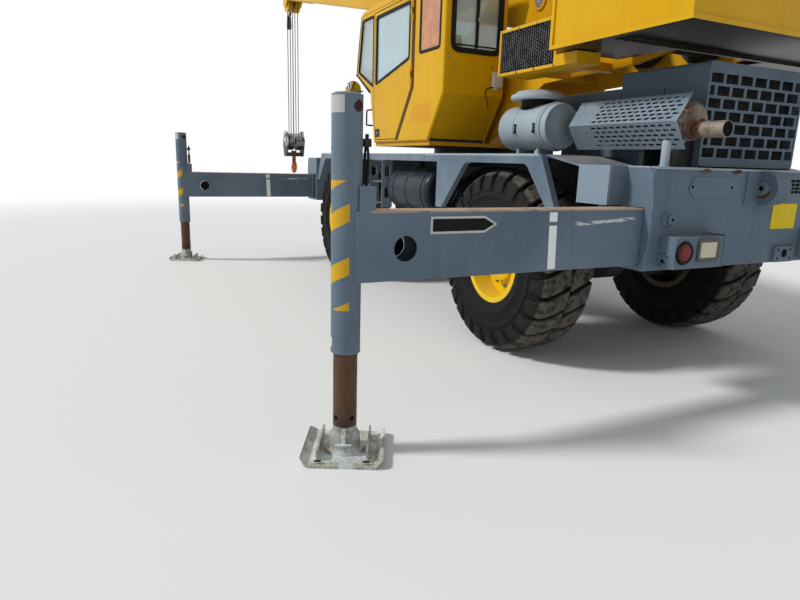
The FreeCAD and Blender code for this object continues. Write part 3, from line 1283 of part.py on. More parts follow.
def build_tanks():
    """A round tank on the left and a square one on the right, on brackets off the frame."""
    can = rod("tank_can", "x", (behind("tank_rear"), ahead("tank_front")), "tank_y", "tank_z",
              "tank_radius")
    left = [rounded("tank_can_round", can, "tank_round", circular)]
    for index, x in enumerate((behind("tank_rear - tank_inset"), ahead("tank_front - tank_inset"))):
        left.append(box(f"tank_arm_{index}", around(x, "bracket_half"),
                        ("frame_half + fit_gap", "tank_y"),
                        ("tank_z - tank_radius - bracket_high / 2", "tank_z - tank_radius + bracket_high")))
        left.append(rod(f"tank_strap_{index}", "x", around(x, "bracket_half"), "tank_y", "tank_z",
                        "tank_radius + cleaner_band"))
    square = box("fuel_box", (behind("fuel_rear"), ahead("fuel_front")), ("-fuel_out", "-fuel_in"),
                 ("fuel_low", "fuel_top"))
    right = [rounded("fuel_box_round", square, "fuel_round", lambda edge: parallel(edge, "x"))]
    for index, x in enumerate((behind("fuel_rear - tank_inset"), ahead("fuel_front - tank_inset"))):
        right.append(box(f"fuel_arm_{index}", around(x, "bracket_half"),
                         ("-fuel_in - lap", "-frame_half - fit_gap"),
                         ("fuel_low + bracket_high", "fuel_low + 3 * bracket_high")))
    part(group("tanks", [fuse("tank_left", left), fuse("tank_right", right)]), "side_tanks")


def build_light_boxes():
    """Two boxes on the rear outrigger box, each with a round and a square lamp recess."""
    boxes = []
    for name, side in SIDES:
        housing = box(f"lamp_box_{name}", (behind("lamp_box_rear"), behind("box_face + fit_gap")),
                      span(side, "lamp_box_in", "lamp_box_out"), ("lamp_box_low", "lamp_box_top"))
        middle_z = "(lamp_box_low + lamp_box_top) / 2"
        deep = (behind("lamp_box_rear + lamp_deep"), behind("lamp_box_rear - lamp_deep"))
        round_lamp = rod(f"lamp_round_{name}", "x", deep, f"{side} * (lamp_box_out - lamp_round_in)", middle_z,
                         "lamp_round")
        square_lamp = box(f"lamp_square_{name}", deep,
                          around(f"{side} * (lamp_box_in + lamp_square_in)", "lamp_square_wide / 2"),
                          around(middle_z, "lamp_square_high / 2"))
        boxes.append(cut(f"lamp_recess_{name}", housing, [round_lamp, square_lamp]))
    part(group("lamp_boxes", boxes), "rear_light_boxes")


def cheek_outline():
    """Return the side view of a turntable cheek, from its front foot up and round to the rear foot."""
    return (
        (ahead("table_radius - foot_inset"), f"{TABLE_LOW} + fit_gap"),
        (ahead("table_radius - toe_inset"), "lift_high"),
        (behind("lift_back - 2 * lift_boss"), "lift_high + toe_rise"),
        (behind("pivot_back - 2 * pivot_boss"), "pivot_high - 2 * pivot_boss"),
        (behind("pivot_back - pivot_boss"), "pivot_high + pivot_boss"),
        (behind("pivot_back + pivot_boss"), "pivot_high + pivot_boss"),
        (behind("pivot_back + neck_run"), "pivot_high - pivot_boss / 2"),
        (behind("cheek_rear - fit_gap"), "aux_high + drum_radius"),
        (behind("cheek_rear - fit_gap"), "weight_low + table_plate"),
        (behind("aux_back"), "hood_top + 2 * table_plate"),
        (behind("heel_back"), "hood_top + table_plate"),
        (behind("table_radius - foot_inset"), f"{TABLE_LOW} + fit_gap"),
    )


def build_turntable():
    """Base plate, two cheeks that carry boom, hoists and counterweight, and the cab's bracket."""
    base = rod("turntable_base", "z", "slew_x", "0", (TABLE_LOW, f"{TABLE_LOW} + table_plate"),
               "table_radius")
    bores = [
        rod(f"bore_{name}", "y", behind(f"{name}_back"), ("-2 * cheek_y", "2 * cheek_y"), f"{name}_high",
            "drum_shaft + fit_gap")
        for name in ("main", "aux")
    ]
    cheeks = [
        side_prism(f"cheek_{name}", cheek_outline(), around(f"{side} * cheek_y", "cheek_thick / 2"))
        for name, side in SIDES
    ]
    pins = [
        rod("boom_pin", "y", behind("pivot_back"), ("-cheek_y", "cheek_y"), "pivot_high",
            "pivot_radius"),
        rod("lift_base_pin", "y", behind("lift_back"), ("-cheek_y", "cheek_y"), "lift_high",
            "lift_pin"),
        box("cheek_tie", around(behind("tie_back"), "cheek_thick"),
            ("-cheek_y", "cheek_y"), around("hood_top + 3 * table_plate", "cheek_thick")),
    ]
    for name, side in SIDES:
        outside = span(side, "cheek_y", f"{CHEEK_OUT} + cap_thick")
        pins.append(rod(f"boom_cap_{name}", "y", behind("pivot_back"), outside, "pivot_high",
                        "pivot_radius + cap_over"))
        pins.append(rod(f"lift_cap_{name}", "y", behind("lift_back"), outside, "lift_high",
                        "lift_pin + cap_over"))
    bracket = box("cab_bracket", (behind("cab_rear_foot"), ahead("cab_front_foot")),
                  ("bracket_in", "cab_out - cab_wall"), (TABLE_LOW, "cab_floor_low - fit_gap"))
    arms = [
        box(f"cooler_arm_{index}", around(behind(x), "cheek_thick"),
            ("cheek_y", "cooler_in - fit_gap"), ("cooler_low + cooler_frame", "cooler_low + 4 * cooler_frame"))
        for index, x in enumerate(("cooler_front + arm_inset", "cooler_rear - arm_inset"))
    ]
    whole = fuse("turntable_whole", [base, bracket] + cheeks + pins + arms)
    part(cut("turntable", whole, bores), "turntable_frame")
    build_counterweight()
    build_cooler()


def weight_plan(inset):
    """Return the counterweight's plan, a bay cut in its front, drawn in from its outer faces."""
    return (
        (behind("weight_front"), f"-(weight_half - ({inset}))"),
        (behind("weight_front"), "-notch_half"),
        (behind("cheek_rear"), "-notch_half"),
        (behind("cheek_rear"), "notch_half"),
        (behind("weight_front"), "notch_half"),
        (behind("weight_front"), f"weight_half - ({inset})"),
        (behind(f"weight_rear - ({inset})"), f"weight_half - ({inset})"),
        (behind(f"weight_rear - ({inset})"), f"-(weight_half - ({inset}))"),
    )


def build_counterweight():
    """Ballast box with a lip round its foot and front edges, hollowed a little underneath."""
    block = prism("weight_block", "XY_Plane", weight_plan("weight_inset"), "weight_top - weight_low",
                  z="(weight_top + weight_low) / 2")
    lip = prism("weight_foot", "XY_Plane", weight_plan("0"), "weight_lip",
                z="weight_low + weight_lip / 2")
    edges = [
        box(f"weight_edge_{name}", (behind("weight_front + weight_lip"), behind("weight_front")),
            span(side, "notch_half", "weight_half"), ("weight_low", "weight_top"))
        for name, side in SIDES
    ]
    hollow = box("weight_hollow_space",
                 (behind("weight_rear - 2 * weight_lip"), behind("cheek_rear + weight_lip")),
                 around("0", "weight_half - 2 * weight_lip"),
                 ("weight_low - lap", "weight_low + weight_hollow"))
    part(cut("weight", fuse("weight_whole", [block, lip] + edges), [hollow]), "counterweight")


def build_cooler():
    """Oil cooler with a finned face, and the header box behind it."""
    shell = box("cooler", (behind("cooler_rear"), behind("cooler_front")), ("cooler_in", "cooler_out"),
                ("cooler_low", "cooler_top"))
    recess = box("cooler_recess",
                 (behind("cooler_rear - cooler_frame"), behind("cooler_front + cooler_frame")),
                 ("cooler_out - 2 * cooler_frame", "cooler_out + cooler_frame"),
                 ("cooler_low + cooler_frame", "cooler_top - cooler_frame"))
    fins = [
        box(f"fin_{index}",
            around(f"{behind('cooler_rear - cooler_frame')} + {index + 1} * fin_pitch", "fin_thick / 2"),
            ("cooler_out - 2 * cooler_frame - lap", "cooler_out - cooler_frame / 2"),
            ("cooler_low + cooler_frame - lap", "cooler_top - cooler_frame + lap"))
        for index in range(COOLER_FINS)
    ]
    header = box("cooler_header", (behind("cooler_rear + header_long"), behind("cooler_rear - lap")),
                 ("header_in", "cooler_out"), ("cooler_low", "header_top"))
    part(fuse("cooler_whole", [cut("cooler_open", shell, [recess]), header] + fins), "oil_cooler")


def build_hoists():
    """Two rope drums on their shafts, between the turntable's cheeks."""
    for name in ("main", "aux"):
        half = (
            ("drum_shaft", CHEEK_OUT),
            ("drum_shaft", DRUM_HALF),
            ("drum_flange", DRUM_HALF),
            ("drum_flange", f"{DRUM_HALF} - drum_flange_thick"),
            ("drum_radius", f"{DRUM_HALF} - drum_flange_thick"),
        )
        mirrored = tuple((radius, f"-{offset}") if offset == CHEEK_OUT else (radius, f"-({offset})")
                         for radius, offset in reversed(half))
        ends = (("0", f"-{CHEEK_OUT}"), ("0", CHEEK_OUT))
        part(turned(f"{name}_drum", "y", half + mirrored + ends, behind(f"{name}_back"), "0",
                    f"{name}_high"), f"{name}_hoist_drum")


def cab_rear_line(inset):
    """Return the rear wall's corners from its foot up, moved forward by an inset."""
    return (
        (f"{behind('cab_rear_foot')} + {inset}", "cab_floor_low"),
        (f"{behind('cab_rear')} + {inset}", "cab_knee"),
        (f"{behind('cab_rear')} + {inset}", "roof_z"),
    )


def cab_front_line(inset):
    """Return the front wall's corners from its foot up to the windscreen's top."""
    return (
        (f"{ahead('cab_front_foot')} - {inset}", "cab_floor_low"),
        (f"{ahead('nose_x')} - {inset}", "nose_z"),
        (f"{ahead('screen_x')} - {inset}", "screen_z"),
        (f"{ahead('brow_x')} - {inset}", "brow_z"),
        (f"{ahead('brow_x')} - {inset} - (roof_z - brow_z)", "roof_z"),
    )


def build_cab():
    """Cab of separate panels with their windows cut, the glass, the door and the inside."""
    gap = "fit_gap"
    side_outline = cab_front_line("0") + tuple(reversed(cab_rear_line("0")))
    left_y = ("cab_out - cab_wall", "cab_out")
    right_y = ("cab_in", "cab_in + cab_wall")
    inner_y = (f"cab_in + cab_wall + {gap}", f"cab_out - cab_wall - {gap}")

    door = door_outline("0")
    opening = side_prism("door_opening", door_outline("door_gap"),
                         ("cab_out - 2 * cab_wall", "cab_out + cab_wall"))
    side_window = box("side_window", (behind("side_pane_rear"), behind("side_pane_front")),
                      ("cab_out - 2 * cab_wall", "cab_out + cab_wall"), ("side_pane_low", "side_pane_top"))
    quarter = side_prism("quarter_window", quarter_outline("0"),
                         ("cab_out - 2 * cab_wall", "cab_out + cab_wall"))
    wall = rounded("left_wall_round", side_prism("left_wall", side_outline, left_y), "cab_round",
                   lambda edge: level(edge, "y", VALUE["cab_out"]))
    walled = cut("left_wall_cut", wall, [opening, side_window, quarter])
    pins = [
        hinge_line(hinge_z, f"door_pin_{index}", "hinge_pin", "hinge_long")
        for index, hinge_z in enumerate(hinge_levels())
    ]
    part(fuse("left_wall_whole", [walled] + hinge_barrels("wall", (-1, 1)) + pins), "cab_left_wall")

    right = rounded("right_wall_round", side_prism("right_wall", side_outline, right_y), "cab_round",
                    lambda edge: level(edge, "y", VALUE["cab_in"]))
    window = side_prism("right_window", right_window_outline("0"),
                        ("cab_in - cab_wall", "cab_in + 2 * cab_wall"))
    part(cut("right_wall_cut", right, [window]), "cab_right_wall")

    inside_floor = f"cab_floor_low + cab_wall + {gap}"
    under_roof = f"roof_z - cab_wall - {gap}"
    rear = (
        (f"{behind('cab_rear_foot')}", inside_floor),
        (f"{behind('cab_rear')}", "cab_knee"),
        (f"{behind('cab_rear')}", under_roof),
        (f"{behind('cab_rear')} + cab_wall", under_roof),
        (f"{behind('cab_rear')} + cab_wall", "cab_knee"),
        (f"{behind('cab_rear_foot')} + cab_wall", inside_floor),
    )
    rear_wall = side_prism("rear_wall", rear, inner_y)
    rear_window = box("rear_window", around(behind("cab_rear - cab_wall / 2"), "cab_wall"),
                      ("cab_in + 2 * cab_wall + pane_margin", "cab_out - 2 * cab_wall - pane_margin"),
                      ("side_pane_low", "side_pane_top"))
    part(cut("rear_wall_cut", rear_wall, [rear_window]), "cab_rear_wall")

    front = (
        (f"{ahead('cab_front_foot')}", inside_floor),
        (f"{ahead('nose_x')}", "nose_z"),
        (f"{ahead('screen_x')}", "screen_z"),
        (f"{ahead('brow_x')}", "brow_z"),
        (f"{ahead('brow_x')} - cab_wall", "brow_z"),
        (f"{ahead('screen_x')} - cab_wall", "screen_z"),
        (f"{ahead('nose_x')} - cab_wall", "nose_z"),
        (f"{ahead('cab_front_foot')} - cab_wall", inside_floor),
    )
    front_wall = side_prism("front_wall", front, inner_y)
    screen = side_prism("screen_hole", screen_outline("-cab_wall", "2 * cab_wall"),
                        ("cab_in + 2 * cab_wall", "cab_out - 2 * cab_wall"))
    part(cut("front_wall_cut", front_wall, [screen]), "cab_front_wall")

    roof = (
        (behind("cab_rear"), "roof_z - cab_wall"),
        (behind("cab_rear"), "roof_z"),
        (behind("cab_rear - crown_rear"), "roof_z + roof_crown"),
        (ahead("brow_x - crown_front"), "roof_z + roof_crown"),
        (ahead("brow_x - brow_lip"), "roof_z"),
        (ahead("brow_x - cab_wall"), "brow_z + fit_gap"),
        (ahead("brow_x - 3 * cab_wall"), "brow_z + fit_gap"),
        (ahead("brow_x - 3 * cab_wall"), "roof_z - cab_wall"),
    )
    part(side_prism("roof", roof, inner_y), "cab_roof")

    part(box("cab_floor_plate", (behind("cab_rear_foot"), ahead("cab_front_foot")), inner_y,
             ("cab_floor_low", "cab_floor_low + cab_wall")), "cab_floor")

    build_glass()
    build_door(door)
    build_station()


def door_outline(grow):
    """Return the door's side view, grown all round by a gap."""
    return (
        (f"{ahead('door_toe')} + {grow}", f"door_low - {grow}"),
        (f"{ahead('door_front')} + {grow}", "door_knee - door_bend"),
        (f"{ahead('door_front')} + {grow}", f"door_top + {grow}"),
        (f"{behind('door_rear')} - {grow}", f"door_top + {grow}"),
        (f"{behind('door_rear')} - {grow}", "door_knee"),
        (f"{ahead('door_foot')} - {grow}", f"door_low - {grow}"),
    )


def quarter_outline(inset):
    """Return the small window between the door and the windscreen, in side view."""
    return (
        (f"{ahead('door_front')} + pillar + {inset}", f"nose_z + quarter_low + {inset}"),
        (f"{ahead('screen_x')} - quarter_front - {inset}", f"screen_z + quarter_low / 2 + {inset}"),
        (f"{ahead('brow_x')} - quarter_top - {inset}", f"brow_z - quarter_top - {inset}"),
        (f"{ahead('door_front')} + pillar + {inset}", f"brow_z - quarter_top - {inset}"),
    )


def right_window_outline(inset):
    """Return the window in the right wall, in side view."""
    return (
        (f"{behind('cab_rear')} + right_rear + {inset}", f"side_pane_low + {inset}"),
        (f"{ahead('door_front')} - {inset}", f"nose_z + right_low + {inset}"),
        (f"{ahead('screen_x')} - right_front - {inset}", f"screen_z + quarter_low + {inset}"),
        (f"{ahead('brow_x')} - right_front - {inset}", f"side_pane_top - {inset}"),
        (f"{behind('cab_rear')} + right_rear + {inset}", f"side_pane_top - {inset}"),
    )


def screen_outline(back, front):
    """Return a strip along the windscreen, from an offset behind its face to one ahead of it."""
    low_z, top_z = "screen_z + pane_margin", "brow_z - pane_margin"
    low_x = "screen_x - (screen_x - brow_x) * pane_margin / (brow_z - screen_z)"
    top_x = "brow_x + (screen_x - brow_x) * pane_margin / (brow_z - screen_z)"
    return (
        (ahead(f"{low_x} + ({front})"), low_z),
        (ahead(f"{top_x} + ({front})"), top_z),
        (ahead(f"{top_x} + ({back}) * 2"), top_z),
        (ahead(f"{low_x} + ({back}) * 2"), low_z),
    )


def hinge_line(middle_z, name, radius, reach):
    """Return a cylinder on the door's hinge axis, reaching either side of a level."""
    return rod(name, "z", f"{behind('door_rear')} - door_gap / 2", "cab_out + hinge_out",
               around(middle_z, reach), radius)


def hinge_levels():
    """Return the heights of the two door hinges."""
    return ("door_knee + hinge_low", "door_top - hinge_high")


def hinge_barrels(owner, offsets):
    """Return door hinge barrels at two heights, at offsets of their own length."""
    barrels = []
    x = f"{behind('door_rear')} - door_gap / 2"
    reach = (x, f"{x} + 3 * hinge_radius") if owner == "door" else (f"{x} - 3 * hinge_radius", x)
    for index, hinge_z in enumerate(hinge_levels()):
        for offset in offsets:
            middle = f"{hinge_z} + {offset} * (hinge_long + fit_gap)"
            tag = f"{owner}_{index}_{offset + 1}"
            barrels.append(hinge_line(middle, f"hinge_{tag}", "hinge_radius", "hinge_long / 2"))
            barrels.append(box(f"leaf_{tag}", reach, ("cab_out - lap", "cab_out + hinge_out"),
                               around(middle, "hinge_long / 2")))
    return barrels


def build_glass():
    """Fixed panes, each seated in its window."""
    pane_y = ("cab_out - (cab_wall + pane_thick) / 2", "cab_out - (cab_wall - pane_thick) / 2")
    right_y = ("cab_in + (cab_wall - pane_thick) / 2", "cab_in + (cab_wall + pane_thick) / 2")
    side = box("side_pane",
               (behind("side_pane_rear - fit_gap"), behind("side_pane_front + fit_gap")), pane_y,
               ("side_pane_low + fit_gap", "side_pane_top - fit_gap"))
    rear = box("rear_pane", around(behind("cab_rear - cab_wall / 2"), "pane_thick / 2"),
               ("cab_in + 2 * cab_wall + pane_margin + fit_gap",
                "cab_out - 2 * cab_wall - pane_margin - fit_gap"),
               ("side_pane_low + fit_gap", "side_pane_top - fit_gap"))
    quarter = side_prism("quarter_pane", quarter_outline("fit_gap"), pane_y)
    right = side_prism("right_pane", right_window_outline("fit_gap"), right_y)
    low_z, top_z = "screen_z + pane_margin + fit_gap", "brow_z - pane_margin - fit_gap"
    slope = "(screen_x - brow_x) / (brow_z - screen_z)"
    screen = side_prism("screen_pane", (
        (ahead(f"screen_x - {slope} * (pane_margin + fit_gap) - 2 * pane_thick"), low_z),
        (ahead(f"brow_x + {slope} * (pane_margin + fit_gap) - 2 * pane_thick"), top_z),
        (ahead(f"brow_x + {slope} * (pane_margin + fit_gap) - 3 * pane_thick"), top_z),
        (ahead(f"screen_x - {slope} * (pane_margin + fit_gap) - 3 * pane_thick"), low_z),
    ), ("cab_in + 2 * cab_wall + fit_gap", "cab_out - 2 * cab_wall - fit_gap"))
    part(group("glass", [side, rear, quarter, right, screen]), "cab_glass")


def build_door(outline):
    """The door panel with its window, half of each hinge, and its pane."""
    panel = rounded("door_panel_round", side_prism("door_panel", outline, ("cab_out - cab_wall", "cab_out")),
                    "door_edge", lambda edge: level(edge, "y", VALUE["cab_out"]))

    def pane_outline(inset):
        return (
            (f"{ahead('door_front')} - pane_margin - {inset}", f"sill_front_z + {inset}"),
            (f"{ahead('door_front')} - pane_margin - {inset}", f"door_top - pane_margin - {inset}"),
            (f"{behind('door_rear')} + pane_margin + {inset}", f"door_top - pane_margin - {inset}"),
            (f"{behind('door_rear')} + pane_margin + {inset}", f"sill_rear_z + {inset}"),
        )
    hole = side_prism("door_window", pane_outline("0"), ("cab_out - 2 * cab_wall", "cab_out + cab_wall"))
    cut_panel = cut("door_cut", panel, [hole])
    bores = [
        hinge_line(hinge_z, f"door_bore_{index}", "hinge_pin + fit_gap", "hinge_long")
        for index, hinge_z in enumerate(hinge_levels())
    ]
    leaves = hinge_barrels("door", (0,))
    part(cut("door_bored", fuse("door_whole", [cut_panel] + leaves), bores), "cab_door")
    part(side_prism("door_pane", pane_outline("fit_gap"),
                    ("cab_out - (cab_wall + pane_thick) / 2", "cab_out - (cab_wall - pane_thick) / 2")),
         "door_glass")


def build_station():
    """Driver's seat on its pedestal, and the dashboard with the steering wheel."""
    middle = "(cab_in + cab_out) / 2"
    floor = "cab_floor_low + cab_wall + fit_gap"
    x = ahead("seat_x")
    rear = f"{x} - seat_deep / 2"
    seat = fuse("seat", [
        box("seat_base", around(x, "post_half"), around(middle, "post_half"),
            (floor, "seat_top - cushion_thick + lap")),
        box("seat_cushion", around(x, "seat_deep / 2"), around(middle, "seat_wide / 2"),
            ("seat_top - cushion_thick", "seat_top")),
        side_prism("seat_back", (
            (f"{rear} + back_thick", "seat_top - back_low"),
            (rear, "seat_top - back_low"),
            (f"{rear} - back_lean", "back_top"),
            (f"{rear} - back_lean + back_thin", "back_top"),
        ), around(middle, "back_half")),
    ])
    wheel = doc.addObject("Part::Torus", "steering_wheel")
    drive(wheel, {"Radius1": "steer_radius", "Radius2": "steer_grip"})
    place(wheel, ahead("wheel_hub_x"), middle, "wheel_hub_z")
    spoke = rod("spoke", "y", ahead("wheel_hub_x"), around(middle, "steer_radius"), "wheel_hub_z",
                "steer_grip / 2")
    column = rod("column", "z", ahead("wheel_hub_x"), middle, (floor, "wheel_hub_z"), "column_radius")
    dash = side_prism("dash", (
        (ahead("wheel_hub_x"), "wheel_hub_z - dash_drop - dash_high"),
        (ahead("wheel_hub_x"), "wheel_hub_z - dash_drop"),
        (ahead("console_x"), "nose_z - dash_nose"),
        (ahead("console_x"), "nose_z - dash_nose - dash_deep"),
    ), around(middle, "seat_wide / 2"))
    console = fuse("console", [wheel, spoke, column, dash])
    part(group("station", [seat, console]), "operator_station")


def in_boom_frame(thing):
    """Turn a piece drawn along the boom, with the pivot at the origin, to the parked angle."""
    thing.Placement = FreeCAD.Placement(
        FreeCAD.Vector(), FreeCAD.Rotation(FreeCAD.Vector(0, -1, 0), VALUE["rest_angle"]))
    drive(thing, {"Placement.Rotation.Angle": "rest_angle"})
    place(thing, behind("pivot_back"), "0", "pivot_high")
    return thing


def section_size(name, kind):
    """Return the outer width or height of a section, each drawn in from the one outside it."""
    size = f"base_{kind}"
    for outside, section in zip(BOOM_SECTIONS, BOOM_SECTIONS[1:]):
        if outside[0] == name:
            break
        size += f" - 2 * ({outside[0]}_plate + section_gap)"
    return f"({size})"


def section_box(label, name, reach, over):
    """Return a box along a section, its sides a distance outside the section's outer faces."""
    return box(label, reach, around("0", f"{section_size(name, 'wide')} / 2 + {over}"),
               around("boom_axis_w", f"{section_size(name, 'high')} / 2 + {over}"))


def section_tube(name):
    """Return the plates of a boom section as a rectangular tube with rounded edges, drawn along X."""
    outer = section_box(f"{name}_outer", name, (f"{name}_rear", f"{name}_front"), "0")
    folded = rounded(f"{name}_folded", outer, "boom_round", lambda edge: parallel(edge, "x"))
    reach = (f"{name}_rear - {name}_plate", f"{name}_front + {name}_plate")
    inner = section_box(f"{name}_inner", name, reach, f"-{name}_plate")
    return cut(f"{name}_tube", folded, [inner])


def collar(name, inside):
    """Return the front collar of a section, whose pads guide the section inside it."""
    outer = section_box(f"{name}_collar", name, (f"{name}_front - collar_long", f"{name}_front"),
                        f"{name}_plate")
    hole = section_box(f"{name}_collar_hole", inside,
                       (f"{name}_front - 2 * collar_long", f"{name}_front + collar_long"),
                       "boom_slide_gap")
    return cut(f"{name}_collar_cut", outer, [hole])


def tail_pads(name, outside):
    """Return the rear pads of a section, which bear on the section outside it."""
    ring = section_box(f"{name}_tail", outside, (f"{name}_rear", f"{name}_rear + collar_long"),
                       f"(-{outside}_plate - boom_slide_gap)")
    hole = section_box(f"{name}_tail_hole", name,
                       (f"{name}_rear - collar_long", f"{name}_rear + 2 * collar_long"),
                       f"(-{name}_plate)")
    return cut(f"{name}_tail_cut", ring, [hole])


def build_boom():
    """Four telescoping sections, the base with its foot and lifting ears, the fly with its head."""
    foot_outline = (
        ("-boom_foot / 2", "-boom_foot"),
        ("base_rear + base_plate", "boom_axis_w - base_high / 2 + boom_round"),
        ("base_rear + base_plate", "boom_axis_w + base_high / 2 - boom_round"),
        ("-boom_foot", "boom_foot"),
        ("-boom_foot", "-boom_foot / 2"),
    )
    foot = [
        side_prism(f"foot_{name}", foot_outline,
                   span(side, "base_wide / 2 - 3 * base_plate", "base_wide / 2"))
        for name, side in SIDES
    ]
    boss = rod("foot_boss", "y", "0", around("0", "cheek_y - cheek_thick / 2 - foot_gap"), "0", "pivot_boss")
    bore = rod("foot_bore", "y", "0", around("0", "cheek_y"), "0", "pivot_radius + foot_bore_gap")
    ear_outline = (
        ("ear_u - ear_spread", "boom_axis_w - base_high / 2 + base_plate / 2"),
        ("ear_u - lift_boss", "ear_low"),
        ("ear_u + lift_boss", "ear_low"),
        ("ear_u + ear_spread", "boom_axis_w - base_high / 2 + base_plate / 2"),
    )
    ears = [
        side_prism(f"ear_{name}", ear_outline, span(side, "ear_gap", "ear_gap + ear_thick"))
        for name, side in SIDES
    ]
    ears += [
        rod(f"ear_cap_{name}", "y", "ear_u", span(side, "ear_gap + ear_thick - lap",
                                                  "ear_gap + ear_thick + cap_thick"),
            "ear_w", "lift_pin + cap_over")
        for name, side in SIDES
    ]
    base = fuse("base_plates", [section_tube("base"), collar("base", "second"), boss] + foot + ears)
    part(in_boom_frame(cut("base_bored", base, [bore])), "boom_base")

    second = fuse("second_whole", [
        section_tube("second"), collar("second", "third"), tail_pads("second", "base")])
    part(in_boom_frame(second), "boom_second")
    third = fuse("third_whole", [
        section_tube("third"), collar("third", "fly"), tail_pads("third", "second")])
    part(in_boom_frame(third), "boom_third")
    part(in_boom_frame(fuse("fly_whole", [section_tube("fly"), tail_pads("fly", "third")] + boom_head())),
         "boom_fly")


def sheave(name, x, y, z, radius):
    """Return a rope sheave with a grooved rim, turned about an axis along Y."""
    half = "sheave_thick / 2"
    return turned(name, "y", (
        ("0", f"-{half}"),
        (radius, f"-{half}"),
        (radius, "-groove_half"),
        (f"{radius} - groove_deep", "-groove_root"),
        (f"{radius} - groove_deep", "groove_root"),
        (radius, "groove_half"),
        (radius, half),
        ("0", half),
    ), x, y, z)


def boom_head():
    """Return the head's side plates with its lower sheaves and upper idlers."""
    high = section_size("fly", "high")
    start = "third_front + head_lap"
    outline = (
        (start, f"boom_axis_w - {high} / 2 + lap"),
        (f"{HEAD_U} - sheave_radius / 2", "head_w - head_chin"),
        (f"{HEAD_U} + head_nose", "head_w - head_chin"),
        (f"{HEAD_U} + head_nose", "head_neck"),
        (f"{IDLER_U} + head_nose", "idler_w + head_crown"),
        (f"{IDLER_U} - head_nose", "idler_w + head_crown"),
        (start, f"boom_axis_w + {high} / 2 - lap"),
    )
    plates = [
        side_prism(f"head_plate_{name}", outline, around(f"{side} * head_plate_y", "head_plate / 2"))
        for name, side in SIDES
    ]
    across = around("0", "head_plate_y")
    shafts = [
        rod("head_shaft", "y", HEAD_U, across, "head_w", "sheave_shaft"),
        rod("idler_shaft", "y", IDLER_U, across, "idler_w", "sheave_shaft"),
    ]
    sheaves = []
    for name, side in SIDES:
        for ring in ("inner", "outer"):
            sheaves.append(sheave(f"head_sheave_{name}_{ring}", HEAD_U, f"{side} * sheave_{ring}",
                                  "head_w", "sheave_radius"))
        sheaves.append(sheave(f"idler_{name}", IDLER_U, f"{side} * sheave_inner", "idler_w",
                              "idler_radius"))
    return plates + shafts + sheaves


def head_point():
    """Return the X and Z of the head's sheave shaft as the crane is parked."""
    angle = "rest_angle * 1deg"
    x = f"{behind('pivot_back')} + {HEAD_U} * cos({angle}) - head_w * sin({angle})"
    z = f"pivot_high + {HEAD_U} * sin({angle}) + head_w * cos({angle})"
    return x, z


